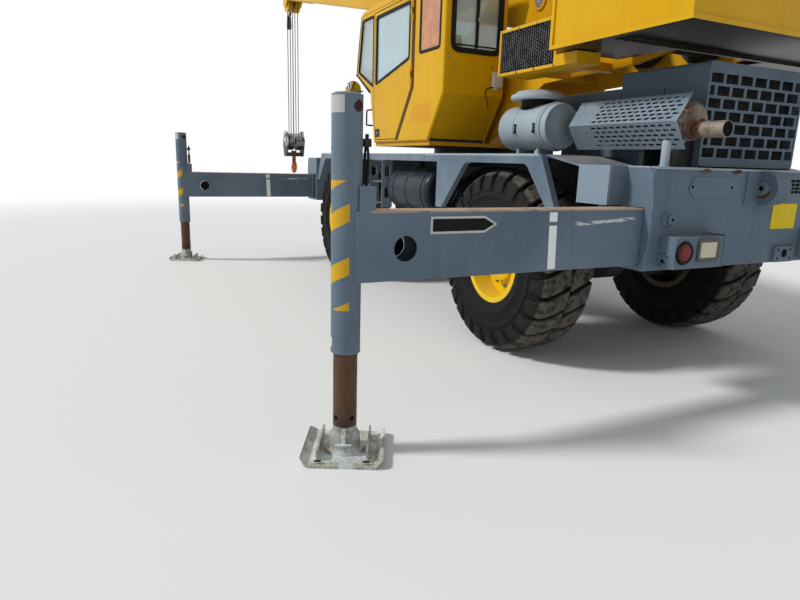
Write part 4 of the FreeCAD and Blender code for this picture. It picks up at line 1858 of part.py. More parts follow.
def build_hook():
    """Rope anchor at the head, the hook block and its swivelling hook."""
    x, z = head_point()
    eye = rod("anchor_eye", "y", x, around("0", "link_thick / 2"), z, "link_eye")
    eye_bore = rod("anchor_bore", "y", x, around("0", "link_thick"), z, "sheave_shaft + fit_gap")
    low = f"({z}) - anchor_drop"
    middle = f"({x}) + anchor_ahead"
    link = side_prism("anchor_link", (
        (x, f"({z}) - anchor_link"),
        (f"{middle} - anchor_neck", f"{low} - anchor_neck"),
        (f"{middle} + anchor_neck", low),
        (x, f"({z}) + anchor_link"),
    ), around("0", "link_thick / 2"))
    wedge = f"{low} - anchor_long + anchor_half"
    socket = side_prism("wedge_socket", (
        (f"{middle} - anchor_neck", low),
        (f"{middle} - anchor_half", wedge),
        (f"{middle} - anchor_neck", f"{low} - anchor_long"),
        (f"{middle} + anchor_neck", f"{low} - anchor_long"),
        (f"{middle} + anchor_half", wedge),
        (f"{middle} + anchor_neck", low),
    ), around("0", "link_thick"))
    part(cut("anchor", fuse("anchor_whole", [eye, link, socket]), [eye_bore]), "rope_anchor")

    outline = (
        (f"({x}) - block_radius / 2", "block_low"),
        (f"({x}) - block_waist", "block_axis_z"),
        (f"({x}) - block_radius / 2", "block_top"),
        (f"({x}) + block_radius / 2", "block_top"),
        (f"({x}) + block_waist", "block_axis_z"),
        (f"({x}) + block_radius / 2", "block_low"),
    )
    plates = [
        side_prism(f"block_plate_{name}", outline, span(side, "block_half - block_plate", "block_half"))
        for name, side in SIDES
    ]
    shaft = rod("block_shaft", "y", x, around("0", "block_half"), "block_axis_z", "sheave_shaft")
    sheaves = [
        sheave(f"block_sheave_{name}_{ring}", x, f"{side} * sheave_{ring}", "block_axis_z", "block_radius")
        for name, side in SIDES
        for ring in ("inner", "outer")
    ]
    cross_top = "block_low + cross_high"
    head = box("crosshead", around(x, "shank_radius * 2"), around("0", "block_half - lap"),
               ("block_low", cross_top))
    bore = rod("crosshead_bore", "z", x, "0", around("block_low + cross_high / 2", "cross_high"),
               "shank_radius + fit_gap")
    crosshead = cut("crosshead_bored", head, [bore])
    part(fuse("block", plates + [shaft, crosshead] + sheaves), "hook_block")

    shank = rod("shank", "z", x, "0", ("hook_mid_z + hook_radius - hook_bar", f"{cross_top} + nut_high"),
                "shank_radius")
    nut = rod("shank_nut", "z", x, "0", (f"{cross_top} + fit_gap", f"{cross_top} + nut_high"),
              "nut_radius")
    bends = []
    for name, start in BEND_PARTS:
        ring = doc.addObject("Part::Torus", f"hook_{name}")
        turn = FreeCAD.Rotation(FreeCAD.Vector(0, 0, 1), start)
        ring.Placement = FreeCAD.Placement(FreeCAD.Vector(), UPRIGHT * turn)
        ring.Angle3 = BEND_SWEEP
        drive(ring, {"Radius1": "hook_radius", "Radius2": "hook_bar"})
        place(ring, x, "0", "hook_mid_z")
        bends.append(ring)
    tip = doc.addObject("Part::Cone", "hook_tip_cone")
    drive(tip, {"Radius1": "hook_bar", "Radius2": "hook_point", "Height": "hook_tip"})
    place(tip, f"({x}) + hook_radius", "0", "hook_mid_z")
    part(fuse("hook_whole", [shank, nut, tip] + bends), "load_hook")


def build_lift_cylinder():
    """Lift cylinder from the turntable's pin to the boom's ears, parked at its real angle."""
    angle = "rest_angle * 1deg"
    reach = f"(lift_back - pivot_back + ear_u * cos({angle}) - ear_w * sin({angle}))"
    rise = f"(pivot_high - lift_high + ear_u * sin({angle}) + ear_w * cos({angle}))"
    length = f"sqrt({reach} * {reach} + {rise} * {rise})"
    tilt = f"atan2({rise}; {reach})"

    def along(thing):
        thing.Placement = FreeCAD.Placement(FreeCAD.Vector(), FreeCAD.Rotation(FreeCAD.Vector(0, -1, 0), 20))
        drive(thing, {"Placement.Rotation.Angle": tilt})
        place(thing, behind("lift_back"), "0", "lift_high")
        return thing
    base_eye = rod("lift_eye", "y", "0", around("0", "eye_half"), "0", "lift_boss")
    barrel = rod("lift_barrel_tube", "x", ("lift_boss / 2", "barrel_long"), "0", "0", "barrel_radius")
    hole = rod("lift_bore", "x", ("2 * lift_pin + lift_boss / 2", "barrel_long + gland_long"), "0", "0",
               "lift_rod_radius + fit_gap")
    pin_hole = rod("lift_pin_hole", "y", "0", around("0", "2 * eye_half"), "0", "lift_pin + fit_gap")
    gland = rod("lift_gland", "x", ("barrel_long - gland_long", "barrel_long"), "0", "0",
                "barrel_radius + gland_over")
    whole = fuse("lift_barrel_whole", [base_eye, barrel, gland])
    part(along(cut("lift_barrel", whole, [hole, pin_hole])), "lift_cylinder_barrel")

    rod_body = rod("lift_rod_bar", "x", ("lift_rod_back", f"{length} - lift_boss / 2"), "0", "0",
                   "lift_rod_radius")
    rod_eye = rod("lift_rod_eye", "y", length, around("0", "eye_half"), "0", "lift_boss - cap_thick")
    part(along(fuse("lift_rod", [rod_body, rod_eye])), "lift_cylinder_rod")


def check(things):
    """Stop if any object failed or any sub-part has no valid shape."""
    for thing in doc.Objects:
        if {"Invalid", "Error"} & set(thing.State):
            raise RuntimeError(f"{thing.Label} failed: {thing.State}")
    for thing in things:
        if thing.Shape.isNull() or not thing.Shape.isValid():
            raise RuntimeError(f"{thing.Label} has no valid shape")


write_sheet()
build_frame()
build_decks()
build_outrigger_boxes()
build_outriggers()
build_axles()
build_drive_line()
build_wheels()
build_engine()
build_exhaust()
build_air_cleaner()
build_tanks()
build_light_boxes()
build_turntable()
build_hoists()
build_cab()
build_boom()
build_hook()
build_lift_cylinder()
doc.recompute()
check(parts)

os.makedirs("parts", exist_ok=True)
for finished in parts:
    finished.Shape.exportStep(f"parts/{finished.Label}.step")
    print(f"{finished.Label}: {len(finished.Shape.Solids)} solid")
print(f"{len(parts)} sub-parts")
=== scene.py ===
"""Looks of a rough-terrain mobile crane: finishes, small fittings, tyres, ropes, cab furniture and light."""

import logging
import math
import random
from collections.abc import Callable, Iterable, Sequence
from dataclasses import dataclass, field
from enum import Enum

import bmesh
import bpy
from mathutils import Matrix, Vector


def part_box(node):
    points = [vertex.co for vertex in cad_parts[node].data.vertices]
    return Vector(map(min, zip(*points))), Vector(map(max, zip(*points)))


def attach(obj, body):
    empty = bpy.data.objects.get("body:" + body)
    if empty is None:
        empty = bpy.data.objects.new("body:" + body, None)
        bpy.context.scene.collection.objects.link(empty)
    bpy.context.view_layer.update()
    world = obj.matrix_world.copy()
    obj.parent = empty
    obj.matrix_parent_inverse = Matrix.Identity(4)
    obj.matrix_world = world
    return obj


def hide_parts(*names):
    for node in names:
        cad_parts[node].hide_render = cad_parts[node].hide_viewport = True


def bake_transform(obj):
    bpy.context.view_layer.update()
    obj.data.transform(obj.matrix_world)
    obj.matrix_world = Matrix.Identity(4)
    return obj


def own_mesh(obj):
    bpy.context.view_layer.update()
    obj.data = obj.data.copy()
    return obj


log = logging.getLogger("crane")
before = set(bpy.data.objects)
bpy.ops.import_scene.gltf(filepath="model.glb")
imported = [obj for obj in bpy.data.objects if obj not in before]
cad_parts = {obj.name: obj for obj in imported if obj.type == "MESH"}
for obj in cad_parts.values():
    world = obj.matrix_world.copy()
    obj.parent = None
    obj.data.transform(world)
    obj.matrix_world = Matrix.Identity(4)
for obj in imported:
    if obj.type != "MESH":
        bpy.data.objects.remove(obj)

SLEW_X = -2.35
BOOM_REST = math.radians(13.2)
BOOM_PIVOT = Vector((SLEW_X - 1.35, 0.0, 3.0))
HEAD = Vector((5.6175, 0.0, 4.8773))

Colour = tuple[float, float, float]
Socket = bpy.types.NodeSocket
Point = Sequence[float]


def spot(x: float, y: float, z: float) -> Vector:
    """Return a point given from the slewing axis in the frame of the model."""
    return Vector((x + SLEW_X, y, z))


def on_boom(along: float, across: float, above: float) -> Vector:
    """Return a point of the resting boom, given along, across and above its pivot line."""
    run = Vector((math.cos(BOOM_REST), 0.0, math.sin(BOOM_REST)))
    rise = Vector((-math.sin(BOOM_REST), 0.0, math.cos(BOOM_REST)))
    return BOOM_PIVOT + run * along + rise * above + Vector((0.0, across, 0.0))


class Graph:
    """A material's node tree, built in small named steps."""

    def __init__(self, name: str) -> None:
        """Start a material with one principled shader.

        Args:
            name: name of the material.
        """
        self.material = bpy.data.materials.new(name)
        self.material.use_nodes = True
        self.tree = self.material.node_tree
        self.tree.nodes.clear()
        self.output = self.tree.nodes.new("ShaderNodeOutputMaterial")
        self.shader = self.tree.nodes.new("ShaderNodeBsdfPrincipled")
        self.tree.links.new(self.shader.outputs[0], self.output.inputs["Surface"])
        place = self.tree.nodes.new("ShaderNodeTexCoord").outputs["Object"]
        self.place = place
        split = self.tree.nodes.new("ShaderNodeSeparateXYZ")
        self.tree.links.new(place, split.inputs[0])
        self.x, self.y, self.z = split.outputs

    def put(self, socket: Socket, value: Socket | float | Sequence[float]) -> None:
        """Link a value to an input, or set it there when it is a plain number or colour."""
        if isinstance(value, Socket):
            self.tree.links.new(value, socket)
        else:
            socket.default_value = value

    def calc(self, operation: str, *values: Socket | float) -> Socket:
        """Return the result of a math node.

        Args:
            operation: the node's operation, such as MULTIPLY.
            values: its inputs, sockets or numbers.

        Returns:
            The node's output socket.
        """
        node = self.tree.nodes.new("ShaderNodeMath")
        node.operation = operation
        for socket, value in zip(node.inputs, values):
            self.put(socket, value)
        return node.outputs[0]

    def ramp(self, value: Socket, low: float, high: float) -> Socket:
        """Return a smooth step of a value, from 0 at low to 1 at high."""
        node = self.tree.nodes.new("ShaderNodeMapRange")
        node.interpolation_type = "SMOOTHSTEP"
        self.put(node.inputs["Value"], value)
        self.put(node.inputs["From Min"], low)
        self.put(node.inputs["From Max"], high)
        return node.outputs[0]

    def band(self, value: Socket, low: float, high: float, soft: float = 0.004) -> Socket:
        """Return a mask that is 1 where a value lies between two bounds."""
        rise = self.ramp(value, low - soft, low + soft)
        fall = self.ramp(value, high + soft, high - soft)
        return self.calc("MULTIPLY", rise, fall)

    def both(self, *masks: Socket) -> Socket:
        """Return the product of several masks."""
        whole = masks[0]
        for mask in masks[1:]:
            whole = self.calc("MULTIPLY", whole, mask)
        return whole

    def either(self, *masks: Socket) -> Socket:
        """Return the largest of several masks."""
        whole = masks[0]
        for mask in masks[1:]:
            whole = self.calc("MAXIMUM", whole, mask)
        return whole

    def mapped(self, stretch: Point, shift: Point = (0, 0, 0), turn: Point = (0, 0, 0)) -> Socket:
        """Return the object's coordinates, moved, turned and scaled."""
        node = self.tree.nodes.new("ShaderNodeMapping")
        self.tree.links.new(self.place, node.inputs["Vector"])
        node.inputs["Location"].default_value = shift
        node.inputs["Rotation"].default_value = turn
        node.inputs["Scale"].default_value = stretch
        return node.outputs[0]

    def noise(self, scale: float, detail: float = 3.0, stretch: Point = (1, 1, 1),
              shift: Point = (0, 0, 0)) -> Socket:
        """Return a noise value between about 0.2 and 0.8.

        Args:
            scale: number of features in a metre.
            detail: octaves of finer noise.
            stretch: scale along each axis.
            shift: offset, so that two noises differ.

        Returns:
            The noise node's value.
        """
        node = self.tree.nodes.new("ShaderNodeTexNoise")
        node.inputs["Scale"].default_value = scale
        node.inputs["Detail"].default_value = detail
        self.tree.links.new(self.mapped(stretch, shift), node.inputs["Vector"])
        return node.outputs["Fac"]

    def cells(self, scale: float, stretch: Point = (1, 1, 1)) -> Socket:
        """Return the distance to the nearest of randomly scattered points."""
        node = self.tree.nodes.new("ShaderNodeTexVoronoi")
        node.inputs["Scale"].default_value = scale
        self.tree.links.new(self.mapped(stretch), node.inputs["Vector"])
        return node.outputs["Distance"]

    def tint(self, factor: Socket | float, under: Socket | Colour, over: Socket | Colour) -> Socket:
        """Return a mix of two colours by a factor."""
        node = self.tree.nodes.new("ShaderNodeMix")
        node.data_type = "RGBA"
        self.put(node.inputs["Factor"], factor)
        for name, value in (("A", under), ("B", over)):
            socket = [s for s in node.inputs if s.name == name and s.type == "RGBA"][0]
            self.put(socket, value if isinstance(value, Socket) else (*value, 1.0))
        return [s for s in node.outputs if s.type == "RGBA"][0]

    def edges(self, radius: float, low: float = 0.02, high: float = 0.12) -> Socket:
        """Return a mask of the sharp outer edges within a radius."""
        bevel = self.tree.nodes.new("ShaderNodeBevel")
        bevel.samples = 4
        bevel.inputs["Radius"].default_value = radius
        plain = self.tree.nodes.new("ShaderNodeNewGeometry")
        dot = self.tree.nodes.new("ShaderNodeVectorMath")
        dot.operation = "DOT_PRODUCT"
        self.tree.links.new(bevel.outputs[0], dot.inputs[0])
        self.tree.links.new(plain.outputs["Normal"], dot.inputs[1])
        return self.ramp(self.calc("SUBTRACT", 1.0, dot.outputs["Value"]), low, high)

    def facing_up(self) -> Socket:
        """Return a mask of the faces that look upwards."""
        plain = self.tree.nodes.new("ShaderNodeNewGeometry")
        split = self.tree.nodes.new("ShaderNodeSeparateXYZ")
        self.tree.links.new(plain.outputs["True Normal"], split.inputs[0])
        return self.ramp(split.outputs[2], 0.55, 0.95)

    def facing_down(self) -> Socket:
        """Return a mask of the faces that look downwards."""
        plain = self.tree.nodes.new("ShaderNodeNewGeometry")
        split = self.tree.nodes.new("ShaderNodeSeparateXYZ")
        self.tree.links.new(plain.outputs["True Normal"], split.inputs[0])
        return self.ramp(split.outputs[2], -0.5, -0.8)

    def attribute(self, name: str) -> Socket:
        """Return a value stored on the mesh."""
        node = self.tree.nodes.new("ShaderNodeAttribute")
        node.attribute_name = name
        return node.outputs["Fac"]

    def bump(self, height: Socket, strength: float, distance: float) -> None:
        """Raise the surface by a height value."""
        node = self.tree.nodes.new("ShaderNodeBump")
        node.inputs["Strength"].default_value = strength
        node.inputs["Distance"].default_value = distance
        self.tree.links.new(height, node.inputs["Height"])
        self.tree.links.new(node.outputs[0], self.shader.inputs["Normal"])

    def finish(self, colour: Socket | Colour, roughness: Socket | float, metallic: Socket | float = 0.0,
               **constants: float) -> bpy.types.Material:
        """Set the shader's main inputs and return the material.

        Args:
            colour: base colour.
            roughness: roughness of the surface.
            metallic: share of metal.
            constants: other inputs of the shader, by name with underscores for spaces.

        Returns:
            The finished material.
        """
        base = colour if isinstance(colour, Socket) else (*colour, 1.0)
        self.put(self.shader.inputs["Base Color"], base)
        self.put(self.shader.inputs["Roughness"], roughness)
        self.put(self.shader.inputs["Metallic"], metallic)
        for name, value in constants.items():
            self.shader.inputs[name.replace("_", " ")].default_value = value
        return self.material


class Marks(Enum):
    """Painted marks that a coat of paint carries; some of them are painted shade or a painted highlight."""

    NONE = "none"
    BEAM = "beam"
    BOX = "box"
    SHADED_UNDERSIDE = "underside"
    CORE = "core"
    WHEEL = "wheel"
    LOCKER_HIGHLIGHT = "deck"


STRIPE_YELLOW: Colour = (0.62, 0.36, 0.02)
WHITE_MARK: Colour = (0.84, 0.86, 0.86)
RUST: Colour = (0.16, 0.065, 0.028)
SAND: Colour = (0.36, 0.29, 0.22)


@dataclass(frozen=True)
class Paint:
    """A coat of machine paint with fading, dust, runs, chips and worn edges."""

    name: str
    colour: Colour
    faded: Colour
    slot: str = "carrier_paint"
    dust: float = 0.35
    chips: float = 0.5
    edge: Colour = (0.42, 0.46, 0.50)
    edge_amount: float = 0.55
    roughness: float = 0.5
    coat: float = 0.04
    streaks: float = 0.3
    marks: Marks = Marks.NONE

    def build(self) -> bpy.types.Material:
        """Return the paint as a material."""
        g = Graph(self.name)
        colour = g.tint(g.ramp(g.noise(1.1, 4, shift=(3, 1, 7)), 0.34, 0.68), self.colour, self.faded)
        colour = g.tint(g.calc("MULTIPLY", g.ramp(g.noise(16, 2), 0.5, 0.75), 0.25), colour, self.faded)
        runs = g.both(g.ramp(g.noise(1.0, 5, stretch=(9, 9, 0.7)), 0.52, 0.72), g.noise(2.2, 2))
        dirt = tuple(channel * 0.45 for channel in self.colour)
        colour = g.tint(g.calc("MULTIPLY", runs, self.streaks), colour, dirt)
        colour = self.painted_marks(g, colour)
        low = g.ramp(g.z, 1.1, 0.15)
        powder = g.either(g.calc("MULTIPLY", g.facing_up(), 0.9), g.calc("MULTIPLY", low, 0.5))
        powder = g.both(powder, g.ramp(g.noise(5, 5, shift=(1, 4, 2)), 0.32, 0.66))
        powder = g.calc("MULTIPLY", powder, self.dust)
        colour = g.tint(powder, colour, SAND)
        worn = g.both(g.edges(0.007), g.ramp(g.noise(22, 4), 0.36, 0.6))
        worn = g.calc("MULTIPLY", worn, self.edge_amount)
        colour = g.tint(worn, colour, self.edge)
        chip = g.both(g.ramp(g.noise(42, 3, shift=(5, 5, 0)), 0.66, 0.7),
                      g.ramp(g.noise(3.2, 3, shift=(2, 9, 4)), 0.5, 0.68))
        chip = g.calc("MULTIPLY", chip, self.chips)
        colour = g.tint(chip, colour, RUST)
        rough = g.calc("ADD", g.calc("MULTIPLY", g.noise(30, 3), 0.16), self.roughness - 0.08)
        rough = g.calc("ADD", rough, g.calc("MULTIPLY", g.either(powder, chip), 0.4))
        relief = g.calc("SUBTRACT", g.noise(260, 1), g.calc("MULTIPLY", chip, 2.0))
        g.bump(relief, 0.12, 0.002)
        return g.finish(colour, rough, Coat_Weight=self.coat, Coat_Roughness=0.2, Specular_IOR_Level=0.11)

    def painted_marks(self, g: Graph, colour: Socket) -> Socket:
        """Add the painted marks to a colour, painted shade and painted highlights among them.

        Args:
            g: the material's node tree.
            colour: the paint so far.

        Returns:
            The paint with its marks.
        """
        if self.marks is Marks.BEAM:
            return self.beam_marks(g, colour)
        if self.marks is Marks.BOX:
            # Lighter in patches above z 1.538, on the top of the box.
            lighter_top_patches = g.both(g.ramp(g.z, 1.538, 1.55), g.ramp(g.noise(9, 4), 0.3, 0.55))
            return g.tint(g.calc("MULTIPLY", lighter_top_patches, 0.75), colour, (0.52, 0.56, 0.60))
        if self.marks is Marks.SHADED_UNDERSIDE:
            # Painted shade: the counterweight's downward faces and the inside of its underside are painted near black.
            inner = g.both(g.ramp(g.z, 2.3685, 2.3675), g.ramp(g.calc("ABSOLUTE", g.y), 1.1485, 1.1475), g.ramp(g.x, SLEW_X - 3.6885, SLEW_X - 3.6875))
            return g.tint(g.either(g.facing_down(), inner), colour, g.tint(g.noise(3, 5), (0.008, 0.008, 0.0085), (0.024, 0.023, 0.022)))
        if self.marks is Marks.WHEEL:
            inner = g.ramp(g.calc("ABSOLUTE", g.y), 1.041, 1.037)
            return g.tint(inner, colour, g.tint(g.noise(9, 4), (0.012, 0.010, 0.009), (0.07, 0.038, 0.018)))
        if self.marks is Marks.LOCKER_HIGHLIGHT:
            # Painted highlight: the locker's left face is painted a lighter blue-grey, as if lit by the sky.
            face = g.both(g.band(g.x, SLEW_X - 3.27, SLEW_X - 2.985, 0.001), g.ramp(g.y, 1.19, 1.215), g.ramp(g.z, 1.60, 1.595))
            return g.tint(g.calc("MULTIPLY", face, 0.85), colour, (0.235, 0.30, 0.36))
        if self.marks is Marks.CORE:
            inside = g.both(g.band(g.x, SLEW_X - 2.3878, SLEW_X - 1.7022, 0.0006), g.band(g.z, 2.2744, 2.5876, 0.0006),
                            g.band(g.y, 0.96, 1.0192, 0.0006))
            return g.tint(inside, colour, (0.010, 0.010, 0.011))
        return colour

    def beam_marks(self, g: Graph, colour: Socket) -> Socket:
        """Add the stripes of a jack tube, the white beam marks and the worn upper edge."""
        out = g.calc("ABSOLUTE", g.y)
        near_tube = g.ramp(out, 2.9, 2.91)
        outer_half = g.ramp(out, 3.026, 3.03)
        middle = g.calc("ROUND", g.calc("DIVIDE", g.calc("ADD", g.x, 5.708), 6.716))
        offset = g.calc("SUBTRACT", g.x, g.calc("SUBTRACT", g.calc("MULTIPLY", middle, 6.716), 5.708))
        side = g.calc("SIGN", g.y)
        inward = g.calc("MULTIPLY", g.calc("SUBTRACT", g.calc("MULTIPLY", middle, 2.0), 1.0), 0.2)
        shift = g.calc("MULTIPLY", g.calc("LESS_THAN", side, 0.0), inward)
        offset = g.calc("ADD", offset, shift)
        angle = g.calc("ARCTAN2", g.calc("SUBTRACT", out, 3.016), offset)
        slope = g.calc("SUBTRACT", g.z, g.calc("MULTIPLY", angle, 0.037))
        tapes = [g.band(slope, low, high, 0.001)
                 for low, high in ((1.336, 1.60), (1.1335, 1.2205), (0.8705, 0.9585), (0.60, 0.7306))]
        stripe = g.both(g.either(*tapes), g.band(g.z, 0.795, 1.44, 0.001), outer_half, near_tube)
        worn = g.ramp(g.noise(34, 4, shift=(8, 1, 1)), 0.24, 0.33)
        colour = g.tint(g.both(stripe, worn), colour, STRIPE_YELLOW)
        lean = g.calc("ADD", out, g.calc("MULTIPLY", g.calc("SUBTRACT", 1.22, g.z), 0.04))
        patch = g.band(lean, 1.748, 1.804, 0.002)
        rows = g.either(g.band(g.z, 1.222, 1.276, 0.003), g.band(g.z, 0.945, 1.2, 0.003))
        scuffed = g.ramp(g.noise(40, 4), 0.22, 0.32)
        colour = g.tint(g.both(patch, rows, scuffed), colour, WHITE_MARK)
        line = g.calc("ADD", g.z, g.calc("ADD", g.calc("MULTIPLY", g.noise(15, 4), 0.034), g.calc("MULTIPLY", out, 0.045)))
        scratch = g.both(g.band(line, 1.286, 1.305, 0.005), g.band(out, 1.15, 1.60, 0.03),
                         g.ramp(g.noise(22, 4, stretch=(1, 0.35, 2)), 0.38, 0.5))
        colour = g.tint(g.calc("MULTIPLY", scratch, 0.9), colour, (0.62, 0.66, 0.68))
        upper = g.both(g.ramp(g.z, 1.281, 1.2885), g.ramp(g.z, 1.2955, 1.2945), g.ramp(out, 2.93, 2.9))
        tan = g.tint(g.noise(11, 4), (0.40, 0.24, 0.15), (0.50, 0.40, 0.32))
        colour = g.tint(g.both(upper, g.ramp(g.noise(8, 5), 0.3, 0.44)), colour, tan)
        specks = g.both(g.ramp(g.cells(34), 0.16, 0.06), g.ramp(g.noise(5, 3, shift=(9, 2, 6)), 0.46, 0.60), near_tube)
        colour = g.tint(g.calc("MULTIPLY", specks, 0.75), colour, (0.045, 0.022, 0.016))
        wobble = g.calc("MULTIPLY", g.calc("SUBTRACT", g.noise(38, 3), 0.5), 0.03)
        away = g.calc("SQRT", g.calc("ADD", g.calc("POWER", g.calc("SUBTRACT", out, 2.984), 2.0),
                                     g.calc("POWER", g.calc("SUBTRACT", g.z, 1.785), 2.0)))
        blot = g.both(g.ramp(g.calc("ADD", away, wobble), 0.030, 0.024), g.calc("LESS_THAN", offset, 0.0))
        return g.tint(blot, colour, (0.050, 0.012, 0.012))


@dataclass(frozen=True)
class Steel:
    """Bare or rusted metal with blotches, scratches and a stain colour."""

    name: str
    colour: Colour
    stain: Colour
    slot: str = "worn_steel"
    metallic: float = 0.8
    roughness: float = 0.45
    blotch: float = 6.0
    cover: float = 0.5
    grain: Point = (1, 1, 1)
    bump_size: float = 0.002

    def build(self) -> bpy.types.Material:
        """Return the metal as a material."""
        g = Graph(self.name)
        low = 0.62 - 0.3 * self.cover
        spread = g.ramp(g.noise(self.blotch, 6), low, low + 0.16)
        fine = g.ramp(g.noise(self.blotch * 9, 3, stretch=self.grain), 0.35, 0.7)
        stain = g.tint(fine, tuple(c * 0.6 for c in self.stain), self.stain)
        base = g.tint(fine, self.colour, tuple(min(1.0, c * 1.25) for c in self.colour))
        colour = g.tint(spread, base, stain)
        rough = g.calc("ADD", g.calc("MULTIPLY", spread, 0.35), g.calc("MULTIPLY", fine, 0.12))
        rough = g.calc("ADD", rough, self.roughness - 0.06)
        metal = g.calc("MULTIPLY", g.calc("SUBTRACT", 1.0, g.calc("MULTIPLY", spread, 0.8)), self.metallic)
        g.bump(g.calc("ADD", g.calc("MULTIPLY", spread, 0.7), g.noise(180, 2)), 0.2, self.bump_size)
        return g.finish(colour, rough, metal, Specular_IOR_Level=0.25)


@dataclass(frozen=True)
class Split:
    """Two finishes on one part, the second below a level, with an optional painted shade ahead of a point and an
    optional darker top to the second.
    """

    name: str
    upper: "Steel"
    lower: "Steel"
    level: float
    slot: str = "rusty_steel"
    shaded_ahead_of: float = 0.0
    darker_above: float = 0.0

    def build(self) -> bpy.types.Material:
        """Return both finishes as one material."""
        g = Graph(self.name)
        fine = g.ramp(g.noise(9, 5), 0.42, 0.62)
        small = g.ramp(g.noise(60, 3, stretch=(1, 1, 0.3)), 0.35, 0.7)
        low = g.ramp(g.z, self.level + 0.002, self.level)
        sides = []
        for steel in (self.upper, self.lower):
            base = g.tint(small, steel.colour, tuple(min(1.0, c * 1.3) for c in steel.colour))
            sides.append(g.tint(fine, base, g.tint(small, tuple(c * 0.6 for c in steel.stain), steel.stain)))
        colour = g.tint(low, *sides)
        # Darker in a band just above the split level, fading upwards.
        band_over_split = g.both(g.ramp(g.z, self.level + 0.10, self.level + 0.02), g.ramp(g.z, self.level, self.level + 0.004))
        colour = g.tint(g.calc("MULTIPLY", band_over_split, 0.55), colour, (0.035, 0.025, 0.02))
        # Painted shade: ahead of the given point the part is painted near black, here the muffler under its heat
        # shield.
        if self.shaded_ahead_of:
            ahead = g.ramp(g.x, SLEW_X + self.shaded_ahead_of, SLEW_X + self.shaded_ahead_of + 0.04)
            colour = g.tint(g.calc("MULTIPLY", ahead, 0.9), colour, (0.012, 0.011, 0.010))
        if self.darker_above:
            tall = g.both(low, g.ramp(g.z, self.darker_above, self.darker_above + 0.012))
            colour = g.tint(g.calc("MULTIPLY", tall, 0.5), colour, (0.20, 0.215, 0.195))
        rough = g.calc("ADD", g.calc("MULTIPLY", fine, 0.25), 0.42)
        metal = g.calc("ADD", g.calc("MULTIPLY", low, 0.1), 0.05)
        g.bump(g.calc("ADD", fine, g.noise(180, 2)), 0.2, 0.002)
        return g.finish(colour, rough, metal, Specular_IOR_Level=0.25)


@dataclass(frozen=True)
class Rubber:
    """Rubber or plastic, dusty where its mesh says that it is raised."""

    name: str
    colour: Colour
    dust: Colour = (0.20, 0.17, 0.145)
    slot: str = "tyre_rubber"
    dusty: float = 0.0
    roughness: float = 0.6
    grain: float = 160.0

    def build(self) -> bpy.types.Material:
        """Return the rubber as a material."""
        g = Graph(self.name)
        patch = g.ramp(g.noise(7, 5), 0.3, 0.7)
        colour = g.tint(g.calc("MULTIPLY", patch, 0.35), self.colour, tuple(c * 2.1 for c in self.colour))
        if self.dusty:
            raised = g.ramp(g.attribute("raised"), 0.3, 0.95)
            cover = g.calc("ADD", g.calc("MULTIPLY", raised, 0.9), 0.1)
            cover = g.both(cover, g.ramp(g.noise(19, 5, shift=(4, 4, 4)), 0.22, 0.62))
            colour = g.tint(g.calc("MULTIPLY", cover, self.dusty), colour, self.dust)
        rough = g.calc("ADD", g.calc("MULTIPLY", patch, 0.14), self.roughness)
        g.bump(g.noise(self.grain, 3), 0.18, 0.0015)
        return g.finish(colour, rough, Specular_IOR_Level=0.10)


@dataclass(frozen=True)
class Pane:
    """Window glass with a patchy film of dust; its pale base colour is a painted reflection."""

    name: str
    colour: Colour
    slot: str = "cab_glazing"
    clear: float = 0.72
    roughness: float = 0.03

    def build(self) -> bpy.types.Material:
        """Return the glass as a material."""
        g = Graph(self.name)
        film = g.ramp(g.noise(4, 4), 0.3, 0.75)
        colour = g.tint(g.calc("MULTIPLY", film, 0.35), self.colour, (0.50, 0.54, 0.52))
        rough = g.calc("ADD", g.calc("MULTIPLY", film, 0.06), self.roughness)
        g.bump(g.noise(3.0, 1), 0.02, 0.002)
        return g.finish(colour, rough, Transmission_Weight=self.clear, IOR=1.45, Coat_Weight=0.6,
                        Coat_Roughness=0.02)


@dataclass(frozen=True)
class Lens:
    """A ribbed lamp lens."""

    name: str
    colour: Colour
    deep: Colour
    slot: str = "cab_glazing"
    ribs: float = 150.0

    def build(self) -> bpy.types.Material:
        """Return the lens as a material."""
        g = Graph(self.name)
        rows = g.calc("SINE", g.calc("MULTIPLY", g.z, self.ribs * math.tau))
        columns = g.calc("SINE", g.calc("MULTIPLY", g.y, self.ribs * math.tau * 0.6))
        relief = g.calc("ADD", rows, columns)
        colour = g.tint(g.ramp(relief, -1.6, 1.6), self.deep, self.colour)
        colour = g.tint(g.calc("MULTIPLY", g.noise(30, 3), 0.3), colour, self.deep)
        g.bump(relief, 0.5, 0.0015)
        return g.finish(colour, 0.22, Coat_Weight=0.12, Coat_Roughness=0.05, Specular_IOR_Level=0.2)


@dataclass(frozen=True)
class Rope:
    """Wire rope, its strands drawn by a slanted wave along the piece's own map."""

    name: str
    colour: Colour = (0.21, 0.19, 0.17)
    slot: str = "worn_steel"
    lay: float = 26.0

    def build(self) -> bpy.types.Material:
        """Return the rope as a material."""
        g = Graph(self.name)
        uv = g.tree.nodes.new("ShaderNodeUVMap")
        split = g.tree.nodes.new("ShaderNodeSeparateXYZ")
        g.tree.links.new(uv.outputs[0], split.inputs[0])
        along = g.calc("MULTIPLY", split.outputs[1], self.lay)
        wave = g.calc("SINE", g.calc("MULTIPLY", g.calc("ADD", split.outputs[0], along), math.tau * 6))
        colour = g.tint(g.ramp(wave, -1.0, 0.8), (0.045, 0.038, 0.032), self.colour)
        colour = g.tint(g.calc("MULTIPLY", g.ramp(g.noise(9, 4), 0.4, 0.7), 0.4), colour, (0.16, 0.09, 0.05))
        g.bump(wave, 0.6, 0.002)
        return g.finish(colour, g.calc("ADD", g.calc("MULTIPLY", g.noise(60, 2), 0.3), 0.35), 0.55)


